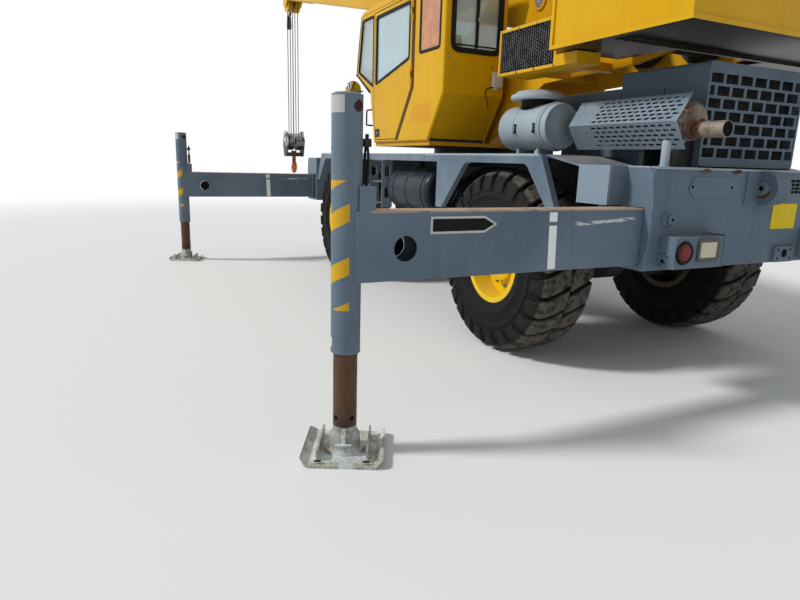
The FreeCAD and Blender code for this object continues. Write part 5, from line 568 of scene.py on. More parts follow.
@dataclass(frozen=True)
class Vinyl:
    """Stitched seat cover or moulded trim with a leather grain."""

    name: str
    colour: Colour
    slot: str = "seat_vinyl"
    grain: float = 420.0
    roughness: float = 0.5

    def build(self) -> bpy.types.Material:
        """Return the vinyl as a material."""
        g = Graph(self.name)
        lighter_top_patches = g.ramp(g.noise(8, 4), 0.35, 0.7)
        colour = g.tint(g.calc("MULTIPLY", lighter_top_patches, 0.5), self.colour, tuple(min(1, c * 1.7) for c in self.colour))
        relief = g.calc("SUBTRACT", 1.0, g.cells(self.grain))
        g.bump(relief, 0.22, 0.0006)
        return g.finish(colour, g.calc("ADD", g.calc("MULTIPLY", lighter_top_patches, 0.15), self.roughness),
                        Sheen_Weight=0.15)


BLUE_GREY: Colour = (0.105, 0.150, 0.200)
BLUE_FADED: Colour = (0.150, 0.200, 0.250)
CRANE_YELLOW: Colour = (0.62, 0.330, 0.0012)
YELLOW_FADED: Colour = (0.67, 0.375, 0.004)


class Finishes:
    """Every finish of the crane, built once and shared."""

    carrier = Paint("carrier_blue_grey", BLUE_GREY, BLUE_FADED, edge_amount=0.45)
    deck = Paint("deck_blue_grey", BLUE_GREY, (0.19, 0.235, 0.275), dust=0.7, edge_amount=0.6, streaks=0.45,
                 marks=Marks.LOCKER_HIGHLIGHT)
    box = Paint("box_blue_grey", BLUE_GREY, BLUE_FADED, marks=Marks.BOX)
    beam = Paint("beam_blue_grey", BLUE_GREY, BLUE_FADED, dust=0.25, marks=Marks.BEAM,
                 edge=(0.36, 0.30, 0.26), chips=0.8)
    # Partly painted highlight: a lighter copy of the blue-grey for the air cleaner, rails and trims that catch the
    # light.
    pale = Paint("blue_grey_with_painted_highlight", (0.27, 0.335, 0.38), (0.36, 0.42, 0.46), edge_amount=0.3, streaks=0.2)
    yellow = Paint("machine_yellow", CRANE_YELLOW, YELLOW_FADED, slot="crane_yellow", dust=0.22, chips=0.25,
                   edge=(0.80, 0.56, 0.10), edge_amount=0.3, roughness=0.36, coat=0.10, streaks=0.14)
    ballast = Paint("counterweight_yellow", CRANE_YELLOW, YELLOW_FADED, slot="crane_yellow", dust=0.3, chips=0.3,
                    edge=(0.80, 0.56, 0.10), edge_amount=0.35, roughness=0.36, coat=0.10, marks=Marks.SHADED_UNDERSIDE)
    cooler_frame = Paint("cooler_frame_yellow", CRANE_YELLOW, YELLOW_FADED, slot="crane_yellow", dust=0.3,
                         roughness=0.42, marks=Marks.CORE)
    frame_yellow = Paint("frame_yellow", (0.56, 0.27, 0.003), (0.66, 0.35, 0.010), slot="crane_yellow",
                         dust=0.5, chips=0.6, edge=(0.50, 0.30, 0.10), roughness=0.4, streaks=0.45)
    wheel_yellow = Paint("wheel_yellow", (0.80, 0.50, 0.001), (0.80, 0.54, 0.004), slot="crane_yellow",
                         dust=0.4, chips=0.2, edge=(0.6, 0.4, 0.12), roughness=0.42, streaks=0.1, marks=Marks.WHEEL)
    dark = Paint("dark_paint", (0.020, 0.021, 0.023), (0.036, 0.036, 0.037), slot="dark_paint", dust=0.5,
                 edge=(0.12, 0.11, 0.10), roughness=0.5, coat=0.05)
    under = Paint("underbody_paint", (0.018, 0.024, 0.031), (0.03, 0.037, 0.044), slot="dark_paint",
                  dust=0.3, edge=(0.10, 0.10, 0.10), roughness=0.6, coat=0.0)
    cooler = Paint("cooler_grey", (0.045, 0.045, 0.048), (0.055, 0.054, 0.054), slot="cooler_grey",
                   dust=0.3, roughness=0.5, coat=0.0)
    white = Paint("lamp_white", (0.62, 0.62, 0.60), (0.70, 0.69, 0.66), dust=0.3, edge=(0.4, 0.38, 0.35))
    label = Paint("label_white", (0.62, 0.62, 0.60), (0.50, 0.50, 0.48), dust=0.1, edge_amount=0.0,
                  roughness=0.35)
    sign_black = Paint("sign_black", (0.006, 0.006, 0.0065), (0.010, 0.010, 0.010), dust=0.05, chips=0.0,
                       edge_amount=0.0, roughness=0.6, coat=0.0)
    sign_yellow = Paint("sign_yellow", (0.76, 0.54, 0.003), (0.78, 0.58, 0.01), dust=0.1, chips=0.0,
                        edge_amount=0.0, roughness=0.35)
    patch = Paint("repair_orange", (0.62, 0.29, 0.003), (0.64, 0.31, 0.006), slot="crane_yellow", dust=0.1,
                  chips=0.1, edge_amount=0.1, roughness=0.3)
    strip = Paint("door_gap_brown", (0.050, 0.022, 0.005), (0.08, 0.036, 0.007), slot="dark_paint", dust=0.2,
                  edge_amount=0.2)
    tank = Paint("tank_dark_blue", (0.014, 0.020, 0.027), (0.026, 0.035, 0.044), slot="dark_paint", dust=0.0,
                 edge=(0.08, 0.09, 0.10), roughness=0.35, coat=0.15)
    # Painted shade: near-black sheets, discs and blocks put in holes, slots, gaps and behind fins and grilles, where
    # only shade is.
    opening_shade = Rubber("painted_opening_shade", (0.004, 0.004, 0.005), slot="dark_paint", roughness=0.85)
    rubber = Rubber("tyre_black", (0.0075, 0.0074, 0.0073), (0.160, 0.142, 0.122), dusty=0.72, roughness=0.68)
    wall = Rubber("tyre_wall_black", (0.0058, 0.0058, 0.006), dusty=0.10, roughness=0.55)
    seal = Rubber("window_seal", (0.010, 0.010, 0.011), slot="dark_paint", roughness=0.42)
    galvanised = Steel("galvanised_float", (0.52, 0.55, 0.545), (0.52, 0.51, 0.42), slot="zinc_grey",
                       metallic=0.2, roughness=0.5, blotch=11, cover=0.35)
    jack_rod = Steel("rusty_jack_rod", (0.080, 0.040, 0.020), (0.125, 0.058, 0.024), slot="rusty_steel",
                     metallic=0.35, roughness=0.55, blotch=9, cover=0.7, grain=(1, 1, 0.25))
    bolt = Steel("bolt_zinc", (0.28, 0.28, 0.28), (0.14, 0.10, 0.07), roughness=0.4, blotch=30)
    cast = Steel("cast_iron_black", (0.035, 0.034, 0.033), (0.06, 0.045, 0.035), slot="cast_steel",
                 metallic=0.3, roughness=0.6, blotch=8)
    leg = Split("jack_leg_steel", jack_rod, galvanised, 0.155, darker_above=0.034)
    block = Split("hook_block_paint", Steel("block_white", (0.50, 0.50, 0.49), (0.10, 0.09, 0.08)),
                  Steel("block_black", (0.03, 0.03, 0.03), (0.07, 0.05, 0.04)), 1.80, slot="cast_steel")
    chrome = Steel("polished_cylinder_rod", (0.62, 0.63, 0.64), (0.30, 0.29, 0.28), slot="polished_rod",
                   metallic=1.0, roughness=0.12, blotch=2, cover=0.0, bump_size=0.0002)
    shield = Steel("heat_shield", (0.20, 0.25, 0.30), (0.25, 0.285, 0.31), slot="exhaust_steel",
                   metallic=0.25, roughness=0.40, blotch=7, cover=0.3)
    muffler = Steel("rusted_muffler", (0.20, 0.17, 0.14), (0.15, 0.085, 0.05), slot="exhaust_steel",
                    metallic=0.2, roughness=0.7, blotch=8, cover=0.35)
    # The muffler's front, under the heat shield, carries painted shade.
    saddled = Split("muffler_and_saddles", muffler, Steel("saddle_grey", (0.055, 0.075, 0.10), (0.05, 0.06, 0.07)),
                    1.722, slot="exhaust_steel", shaded_ahead_of=-3.36)
    tail = Steel("tan_tail_pipe", (0.25, 0.21, 0.165), (0.15, 0.085, 0.05), slot="exhaust_steel",
                 metallic=0.3, roughness=0.6, blotch=10, cover=0.5)
    hook = Steel("rusty_orange_hook", (0.42, 0.12, 0.03), (0.22, 0.085, 0.035), slot="rusty_steel",
                 metallic=0.2, roughness=0.6, blotch=11, cover=0.5)
    rust = Steel("rusty_strap", (0.19, 0.08, 0.035), (0.10, 0.045, 0.025), slot="rusty_steel",
                 metallic=0.2, roughness=0.8, blotch=40, cover=0.6)
    sheave = Steel("worn_sheave", (0.16, 0.16, 0.16), (0.09, 0.06, 0.045), slot="cast_steel",
                   metallic=0.5, roughness=0.5, blotch=10)
    # Painted reflection: the panes' pale cyan and blue base colours stand for the sky reflected in the glass.
    glass = Pane("cab_glass", (0.64, 0.76, 0.78))
    door_pane = Pane("door_glass", (0.50, 0.68, 0.74), clear=0.35)
    mirror = Steel("mirror_glass", (0.75, 0.78, 0.80), (0.6, 0.6, 0.6), slot="polished_rod",
                   metallic=1.0, roughness=0.06, blotch=3, cover=0.0, bump_size=0.0001)
    red = Lens("red_lens", (0.30, 0.005, 0.012), (0.10, 0.002, 0.005))
    cream = Lens("cream_lens", (0.74, 0.70, 0.52), (0.56, 0.52, 0.36), ribs=110)
    lamp = Lens("work_lamp_lens", (0.72, 0.74, 0.74), (0.42, 0.44, 0.45), ribs=90)
    rope = Rope("wire_rope")
    vinyl = Vinyl("seat_vinyl_black", (0.022, 0.022, 0.024))
    trim = Vinyl("cab_trim_grey", (0.055, 0.055, 0.058), roughness=0.6, grain=260)
    board = Vinyl("window_board_brown", (0.44, 0.20, 0.105), roughness=0.62, grain=300)

    made: dict[str, bpy.types.Material] = {}

    @classmethod
    def get(cls, finish: "Finish") -> bpy.types.Material:
        """Return a finish's material, built the first time that it is asked for."""
        if finish.name not in cls.made:
            cls.made[finish.name] = finish.build()
        return cls.made[finish.name]


Finish = Paint | Steel | Split | Rubber | Pane | Lens | Rope | Vinyl


class Axis(Enum):
    """The direction that a form is drawn along."""

    X = 0
    Y = 1
    Z = 2

    def place(self, a: float, b: float, along: float) -> Vector:
        """Return a point from its two values across the axis and one along it."""
        if self is Axis.X:
            return Vector((along, a, b))
        if self is Axis.Y:
            return Vector((a, along, b))
        return Vector((a, b, along))


class Grid:
    """A geometry nodes tree that repeats a small mesh in rows, in a ring or both."""

    tree: bpy.types.NodeTree | None = None

    @classmethod
    def build(cls) -> bpy.types.NodeTree:
        """Return the tree, built the first time that it is asked for."""
        if cls.tree is not None:
            return cls.tree
        tree = bpy.data.node_groups.new("repeat_in_rows", "GeometryNodeTree")
        face = tree.interface
        for name, kind in (("Geometry", "Geometry"), ("Count", "Int"), ("Rows", "Int"), ("Step", "Vector"),
                           ("Row Step", "Vector"), ("Stagger", "Vector"), ("Turn", "Vector"),
                           ("Material", "Material")):
            face.new_socket(name=name, in_out="INPUT", socket_type=f"NodeSocket{kind}")
        face.new_socket(name="Geometry", in_out="OUTPUT", socket_type="NodeSocketGeometry")
        start = tree.nodes.new("NodeGroupInput")
        end = tree.nodes.new("NodeGroupOutput")

        def number(operation: str, *values: Socket | float) -> Socket:
            """Return a math node's output."""
            node = tree.nodes.new("ShaderNodeMath")
            node.operation = operation
            for socket, value in zip(node.inputs, values):
                if isinstance(value, Socket):
                    tree.links.new(value, socket)
                else:
                    socket.default_value = value
            return node.outputs[0]

        def scaled(vector: Socket, factor: Socket) -> Socket:
            """Return a vector times a number."""
            node = tree.nodes.new("ShaderNodeVectorMath")
            node.operation = "SCALE"
            tree.links.new(vector, node.inputs[0])
            tree.links.new(factor, node.inputs["Scale"])
            return node.outputs[0]

        def plus(first: Socket, second: Socket) -> Socket:
            """Return the sum of two vectors."""
            node = tree.nodes.new("ShaderNodeVectorMath")
            node.operation = "ADD"
            tree.links.new(first, node.inputs[0])
            tree.links.new(second, node.inputs[1])
            return node.outputs[0]

        index = tree.nodes.new("GeometryNodeInputIndex").outputs[0]
        column = number("MODULO", index, start.outputs["Count"])
        row = number("FLOOR", number("DIVIDE", number("ADD", index, 0.5), start.outputs["Count"]))
        odd = number("MODULO", row, 2.0)
        place = plus(scaled(start.outputs["Step"], column), scaled(start.outputs["Row Step"], row))
        place = plus(place, scaled(start.outputs["Stagger"], odd))
        points = tree.nodes.new("GeometryNodePoints")
        tree.links.new(number("MULTIPLY", start.outputs["Count"], start.outputs["Rows"]),
                       points.inputs["Count"])
        tree.links.new(place, points.inputs["Position"])
        turn = tree.nodes.new("FunctionNodeEulerToRotation")
        tree.links.new(scaled(start.outputs["Turn"], column), turn.inputs[0])
        copies = tree.nodes.new("GeometryNodeInstanceOnPoints")
        tree.links.new(points.outputs[0], copies.inputs["Points"])
        tree.links.new(start.outputs["Geometry"], copies.inputs["Instance"])
        tree.links.new(turn.outputs[0], copies.inputs["Rotation"])
        real = tree.nodes.new("GeometryNodeRealizeInstances")
        tree.links.new(copies.outputs[0], real.inputs[0])
        coat = tree.nodes.new("GeometryNodeSetMaterial")
        tree.links.new(real.outputs[0], coat.inputs["Geometry"])
        tree.links.new(start.outputs["Material"], coat.inputs["Material"])
        tree.links.new(coat.outputs[0], end.inputs[0])
        cls.tree = tree
        return tree


@dataclass(frozen=True)
class Repeat:
    """How a small mesh is repeated: copies in a row, rows, and a turn from copy to copy."""

    count: int
    step: Point = (0, 0, 0)
    rows: int = 1
    row_step: Point = (0, 0, 0)
    stagger: Point = (0, 0, 0)
    turn: Point = (0, 0, 0)
    centre: Point = (0, 0, 0)

    def apply(self, thing: bpy.types.Object) -> None:
        """Repeat an object's mesh and keep the result as a plain mesh.

        Args:
            thing: the object that holds one copy.
        """
        tree = Grid.build()
        modifier = thing.modifiers.new("copies", "NODES")
        modifier.node_group = tree
        values = {"Count": self.count, "Rows": self.rows, "Step": self.step, "Row Step": self.row_step,
                  "Stagger": self.stagger, "Turn": self.turn, "Material": thing.data.materials[0]}
        for item in tree.interface.items_tree:
            if item.in_out == "INPUT" and item.name in values:
                value = values[item.name]
                modifier[item.identifier] = [float(v) for v in value] if isinstance(value, tuple) else value
        graph = bpy.context.evaluated_depsgraph_get()
        mesh = bpy.data.meshes.new_from_object(thing.evaluated_get(graph))
        thing.modifiers.remove(modifier)
        mesh.transform(Matrix.Translation(Vector(self.centre)))
        thing.data = mesh


def ring(count: int, axis: Axis, centre: Point) -> Repeat:
    """Return a full ring of copies about an axis through a centre."""
    turn = [0.0, 0.0, 0.0]
    turn[axis.value] = math.tau / count
    return Repeat(count, turn=tuple(turn), centre=tuple(centre))


class Shape:
    """A piece's mesh, put together from turned, swept and flat forms."""

    def __init__(self, name: str) -> None:
        """Start an empty piece.

        Args:
            name: the piece's name.
        """
        self.name = name
        self.mesh = bmesh.new()

    def skin(self, rings: Sequence[Sequence[Vector]], closed: bool = True, caps: bool = True,
             wrap: bool = False, uv: Sequence[float] | None = None) -> "Shape":
        """Join rings of points with faces.

        Args:
            rings: the rings, each with the same number of points.
            closed: whether each ring closes on itself.
            caps: whether the two ends are closed with a face.
            wrap: whether the last ring joins the first.
            uv: length along the piece at each ring, for a map.

        Returns:
            The shape.
        """
        made = [[self.mesh.verts.new(point) for point in points] for points in rings]
        layer = self.mesh.loops.layers.uv.verify() if uv else None
        size = len(made[0])
        last = len(made) if wrap else len(made) - 1
        for i in range(last):
            near, far = made[i], made[(i + 1) % len(made)]
            for j in range(size if closed else size - 1):
                k = (j + 1) % size
                face = self.mesh.faces.new((near[j], near[k], far[k], far[j]))
                if layer and uv:
                    ends = (uv[i], uv[i], uv[i + 1], uv[i + 1])
                    sides = (j / size, (j + 1) / size, (j + 1) / size, j / size)
                    for loop, u, v in zip(face.loops, sides, ends):
                        loop[layer].uv = (u, v)
        if caps and closed and not wrap:
            self.mesh.faces.new(made[0])
            self.mesh.faces.new(list(reversed(made[-1])))
        return self

    def slab(self, outline: Sequence[Point], low: float, high: float, axis: Axis) -> "Shape":
        """Add a flat plate from its outline across an axis and its two levels along it."""
        return self.skin([[axis.place(a, b, along) for a, b in outline] for along in (low, high)])

    def block(self, low: Point, high: Point) -> "Shape":
        """Add a rectangular block from its two corners."""
        outline = ((low[0], low[1]), (high[0], low[1]), (high[0], high[1]), (low[0], high[1]))
        return self.slab(outline, low[2], high[2], Axis.Z)

    def turned(self, profile: Sequence[Point], centre: Point, axis: Axis, sides: int = 28,
               closed: bool = False) -> "Shape":
        """Add a form turned about an axis.

        Args:
            profile: pairs of radius and offset along the axis.
            centre: the point that offsets are measured from.
            axis: the axis.
            sides: faces around the axis.
            closed: whether the profile closes on itself.

        Returns:
            The shape.
        """
        middle = Vector(centre)
        rings = []
        for radius, offset in profile:
            radius = max(radius, 1e-5)
            rings.append([
                middle + axis.place(radius * math.cos(math.tau * i / sides),
                                    radius * math.sin(math.tau * i / sides), offset)
                for i in range(sides)
            ])
        return self.skin(rings, caps=not closed, wrap=closed)

    def rod(self, start: Point, end: Point, radius: float, sides: int = 16, tip: float = -1.0) -> "Shape":
        """Add a round bar between two points, with a small chamfer at its ends."""
        a, b = Vector(start), Vector(end)
        tip = radius if tip < 0 else tip
        run = b - a
        long = run.length
        cut = min(radius, tip, long / 3) * 0.18
        way = run.to_track_quat("Z", "Y")
        rings = []
        for size, along in ((radius - cut, 0.0), (radius, cut), (tip, long - cut), (max(tip - cut, 1e-4), long)):
            rings.append([
                a + way @ Vector((size * math.cos(math.tau * i / sides),
                                  size * math.sin(math.tau * i / sides), along))
                for i in range(sides)
            ])
        return self.skin(rings)

    def pipe(self, points: Sequence[Point], radius: float, sides: int = 10, smooth: int = 6,
             loop: bool = False) -> "Shape":
        """Add a round pipe, hose or rope that runs smoothly through points.

        Args:
            points: the points that it passes.
            radius: its radius.
            sides: faces around it.
            smooth: steps between two points; 1 keeps straight runs.
            loop: whether it closes on itself.

        Returns:
            The shape.
        """
        knots = [Vector(p) for p in points]
        line = []
        count = len(knots) if loop else len(knots) - 1
        for i in range(count):
            before = knots[i - 1] if i or loop else knots[0]
            a, b = knots[i], knots[(i + 1) % len(knots)]
            after = knots[(i + 2) % len(knots)] if loop or i + 2 < len(knots) else b
            for step in range(smooth):
                t = step / smooth
                if smooth == 1:
                    line.append(a.copy())
                    continue
                line.append(0.5 * ((2 * a) + (b - before) * t + (2 * before - 5 * a + 4 * b - after) * t * t
                                   + (3 * a - before - 3 * b + after) * t ** 3))
        if not loop:
            line.append(knots[-1].copy())
        rings, lengths, total = [], [], 0.0
        side = Vector((0, 0, 1))
        for i, point in enumerate(line):
            ahead = line[(i + 1) % len(line)] if loop or i + 1 < len(line) else point
            behind = line[i - 1] if loop or i else point
            way = (ahead - behind).normalized()
            if i == 0 and abs(way.dot(side)) > 0.9:
                side = Vector((1, 0, 0))
            side = (side - way * side.dot(way)).normalized()
            other = way.cross(side)
            rings.append([
                point + radius * (side * math.cos(math.tau * j / sides) + other * math.sin(math.tau * j / sides))
                for j in range(sides)
            ])
            lengths.append(total)
            total += (ahead - point).length
        return self.skin(rings, wrap=loop, uv=None if loop else lengths)

    def raised(self, value: float) -> "Shape":
        """Store how raised the points added so far are, where that isn't stored yet."""
        layer = self.mesh.verts.layers.float.get("raised") or self.mesh.verts.layers.float.new("raised")
        for vert in self.mesh.verts:
            vert[layer] = value
        return self

    def finish(self, finish: Finish, body: str, bevel: float = 0.0, repeat: Repeat | None = None,
               replaces: Iterable[str] = (), angle: float = 38.0, weld: bool = True) -> bpy.types.Object:
        """Turn the shape into an object that rides on a body.

        Args:
            finish: the piece's finish.
            body: the body that it moves with.
            bevel: width of rounded edges, or 0.
            repeat: how the mesh is repeated, if it is.
            replaces: nodes that the piece stands for.
            angle: faces that meet at less than this many degrees look smooth.
            weld: whether points at the same place are joined.

        Returns:
            The finished object.
        """
        if weld:
            bmesh.ops.remove_doubles(self.mesh, verts=self.mesh.verts, dist=2e-5)
        bmesh.ops.recalc_face_normals(self.mesh, faces=self.mesh.faces)
        mesh = bpy.data.meshes.new(self.name)
        self.mesh.to_mesh(mesh)
        self.mesh.free()
        thing = bpy.data.objects.new(self.name, mesh)
        bpy.context.scene.collection.objects.link(thing)
        mesh.materials.append(Finishes.get(finish))
        if repeat:
            repeat.apply(thing)
        thing.data.polygons.foreach_set("use_smooth", [True] * len(thing.data.polygons))
        thing.data.set_sharp_from_angle(angle=math.radians(angle))
        if bevel:
            soft = thing.modifiers.new("edges", "BEVEL")
            soft.width = bevel
            soft.segments = 2
            soft.limit_method = "ANGLE"
            soft.harden_normals = True
        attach(thing, body)
        for node in replaces:
            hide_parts(node)
        log.info("%s rides on %s", self.name, body)
        return thing


def rounded(corners: Sequence[Point], radius: float, steps: int = 4) -> list[tuple[float, float]]:
    """Return a flat outline with its corners rounded.

    Args:
        corners: the corners in order.
        radius: radius of each corner.
        steps: points in each corner.

    Returns:
        The rounded outline.
    """
    outline = []
    for i, corner in enumerate(corners):
        here = Vector((*corner, 0.0))
        back = (Vector((*corners[i - 1], 0.0)) - here)
        on = (Vector((*corners[(i + 1) % len(corners)], 0.0)) - here)
        reach = min(radius, back.length * 0.45, on.length * 0.45)
        a, b = here + back.normalized() * reach, here + on.normalized() * reach
        for step in range(steps + 1):
            t = step / steps
            point = a * (1 - t) ** 2 + here * 2 * t * (1 - t) + b * t * t
            outline.append((point.x, point.y))
    return outline


def hexagon(radius: float) -> list[tuple[float, float]]:
    """Return a hexagon's corners."""
    return [(radius * math.cos(math.tau * i / 6), radius * math.sin(math.tau * i / 6)) for i in range(6)]


def frame_loop(corners: Sequence[Point], inset: float, low: float, high: float, axis: Axis, radius: float,
               shape: Shape) -> Shape:
    """Add a flat frame between an outline and the same outline drawn in.

    Args:
        corners: the outer corners.
        inset: width of the frame.
        low: lower level along the axis.
        high: upper level along the axis.
        axis: the axis across which the frame lies.
        radius: radius of the outer corners.
        shape: the shape that it is added to.

    Returns:
        The shape.
    """
    middle = (sum(a for a, _ in corners) / len(corners), sum(b for _, b in corners) / len(corners))
    inner = []
    for i, (a, b) in enumerate(corners):
        before, after = corners[i - 1], corners[(i + 1) % len(corners)]
        edges = []
        for p, q in ((before, (a, b)), ((a, b), after)):
            run = Vector((q[0] - p[0], q[1] - p[1]))
            normal = Vector((-run.y, run.x)).normalized()
            if normal.dot(Vector((middle[0] - a, middle[1] - b))) < 0:
                normal = -normal
            edges.append(normal)
        both = edges[0] + edges[1]
        inner.append((a + both.x * inset / max(both.dot(edges[0]), 0.2),
                      b + both.y * inset / max(both.dot(edges[0]), 0.2)))
    out, inside = rounded(corners, radius), rounded(inner, max(radius - inset, 0.004))
    rings = [[axis.place(a, b, level) for a, b in line]
             for line, level in ((out, low), (out, high), (inside, high), (inside, low))]
    return shape.skin(rings, caps=False, wrap=True)


SIDES = (("left", 1), ("right", -1))
ENDS = (("rear", -1), ("front", 1))


@dataclass
class Wheels:
    """Four earthmover tyres with traction lugs, and the nuts and valves of their rims."""

    lugs: int = 24
    track: float = 1.007
    high: float = 0.746
    rear: float = -2.052
    front: float = 1.615
    hub_out: float = 0.165
    top: tuple[Point, ...] = ((0.006, 0.7455), (0.055, 0.7455), (0.105, 0.7448), (0.155, 0.741), (0.200, 0.732),
                              (0.228, 0.714), (0.246, 0.688), (0.256, 0.650), (0.2600, 0.610), (0.2585, 0.582))
    foot: tuple[Point, ...] = ((0.006, 0.690), (0.055, 0.690), (0.105, 0.690), (0.150, 0.684), (0.182, 0.674),
                               (0.200, 0.660), (0.214, 0.643), (0.226, 0.622), (0.236, 0.598), (0.242, 0.578))
    lean: tuple[float, ...] = (0.0, 0.036, 0.070, 0.100, 0.124, 0.138, 0.147, 0.154, 0.159, 0.162)
    half: tuple[float, ...] = (0.107, 0.107, 0.107, 0.106, 0.103, 0.096, 0.088, 0.080, 0.074, 0.070)
    zigzag: float = 0.30

    def tread(self) -> Shape:
        """Return one pair of lugs, drawn about the wheel's axis."""
        shape = Shape("lug")
        layer = shape.mesh.verts.layers.float.new("raised")
        for side in (1, -1):
            start = 0.0 if side == 1 else -self.zigzag * math.tau / self.lugs
            rings, heights = [], []
            for (y, r), (fy, fr), lean, half in zip(self.top, self.foot, self.lean, self.half):
                points = []
                face = min(1.0, max(0.0, (r - 0.690) / 0.03))
                for share, depth, raised in ((-1.10, 1.0, 0.0), (-1.0, 0.14, face * 0.7), (-0.90, 0.0, face),
                                             (0.90, 0.0, face), (1.0, 0.14, face * 0.7), (1.10, 1.0, 0.0)):
                    radius = r + (fr - r) * depth
                    across = y + (fy - y) * depth
                    angle = start - side * lean + half * share
                    points.append(Vector((-radius * math.cos(angle), side * across,
                                          radius * math.sin(angle))))
                    heights.append(raised)
                rings.append(points)
            before = len(shape.mesh.verts)
            shape.skin(rings)
            shape.mesh.verts.ensure_lookup_table()
            for i, raised in enumerate(heights):
                shape.mesh.verts[before + i][layer] = raised
        return shape

    def carcass(self, name: str, centre: Vector) -> Shape:
        """Return the smooth body of a tyre."""
        wall = ((0.3257, 0.205), (0.3462, 0.205), (0.3462, 0.226), (0.372, 0.240), (0.425, 0.2505), (0.4285, 0.2545),
                (0.434, 0.2525), (0.500, 0.2565), (0.540, 0.2560), (0.543, 0.2585), (0.549, 0.2585), (0.552, 0.2550),
                (0.575, 0.2520), (0.600, 0.2475), (0.640, 0.2390), (0.675, 0.225), (0.694, 0.200),
                (0.702, 0.15), (0.7055, 0.08), (0.706, 0.0))
        profile = wall + tuple((r, -y) for r, y in reversed(wall[:-1]))
        shape = Shape(name).turned(profile, centre, Axis.Y, sides=72, closed=True)
        return shape.raised(0.25)

    def build(self) -> None:
        """Build the tyres, nuts and valves of all four wheels."""
        for end, sign in ENDS:
            for side_name, side in SIDES:
                tag = f"{end}_{side_name}"
                body = f"{tag}_wheel"
                centre = spot(self.front if sign == 1 else self.rear, side * self.track, self.high)
                self.carcass(f"{tag}_tyre_wall", centre).finish(
                    Finishes.wall, body, replaces=[f"{tag}_tyre"], angle=50)
                lug = self.tread()
                lug.name = f"{tag}_tyre_tread"
                lug.finish(Finishes.rubber, body, repeat=ring(self.lugs, Axis.Y, centre), angle=32)
                self.nuts(tag, body, centre, side)

    def nuts(self, tag: str, body: str, centre: Vector, side: int) -> None:
        """Add wheel nuts, hub bolts, a hub plug and a valve to one rim."""
        nut = Shape(f"{tag}_wheel_nuts")
        seat = side * 0.050
        nut.turned(((0.021, 0.0), (0.021, side * 0.004), (0.0165, side * 0.005), (0.0165, side * 0.020),
                    (0.009, side * 0.022), (0.009, side * 0.034), (0.001, side * 0.036)),
                   (0.218, seat, 0), Axis.Y, sides=12)
        nut.finish(Finishes.bolt, body, repeat=ring(12, Axis.Y, centre))
        cap = Shape(f"{tag}_hub_bolts")
        cap.slab([(x + 0.088, z) for x, z in hexagon(0.009)], side * self.hub_out, side * (self.hub_out + 0.008),
                 Axis.Y)
        cap.finish(Finishes.wheel_yellow, body, repeat=ring(8, Axis.Y, centre), bevel=0.001)
        plug = Shape(f"{tag}_hub_plug")
        plug.turned(((0.045, side * self.hub_out), (0.045, side * (self.hub_out + 0.006)),
                     (0.030, side * (self.hub_out + 0.012)), (0.001, side * (self.hub_out + 0.013))),
                    centre, Axis.Y)
        plug.finish(Finishes.wheel_yellow, body)
        valve = Shape(f"{tag}_valve")
        root = centre + Vector((0.0, side * 0.06, 0.285))
        valve.pipe((root, root + Vector((0, side * 0.03, -0.004)), root + Vector((0, side * 0.055, -0.02))), 0.005)
        valve.finish(Finishes.bolt, body)


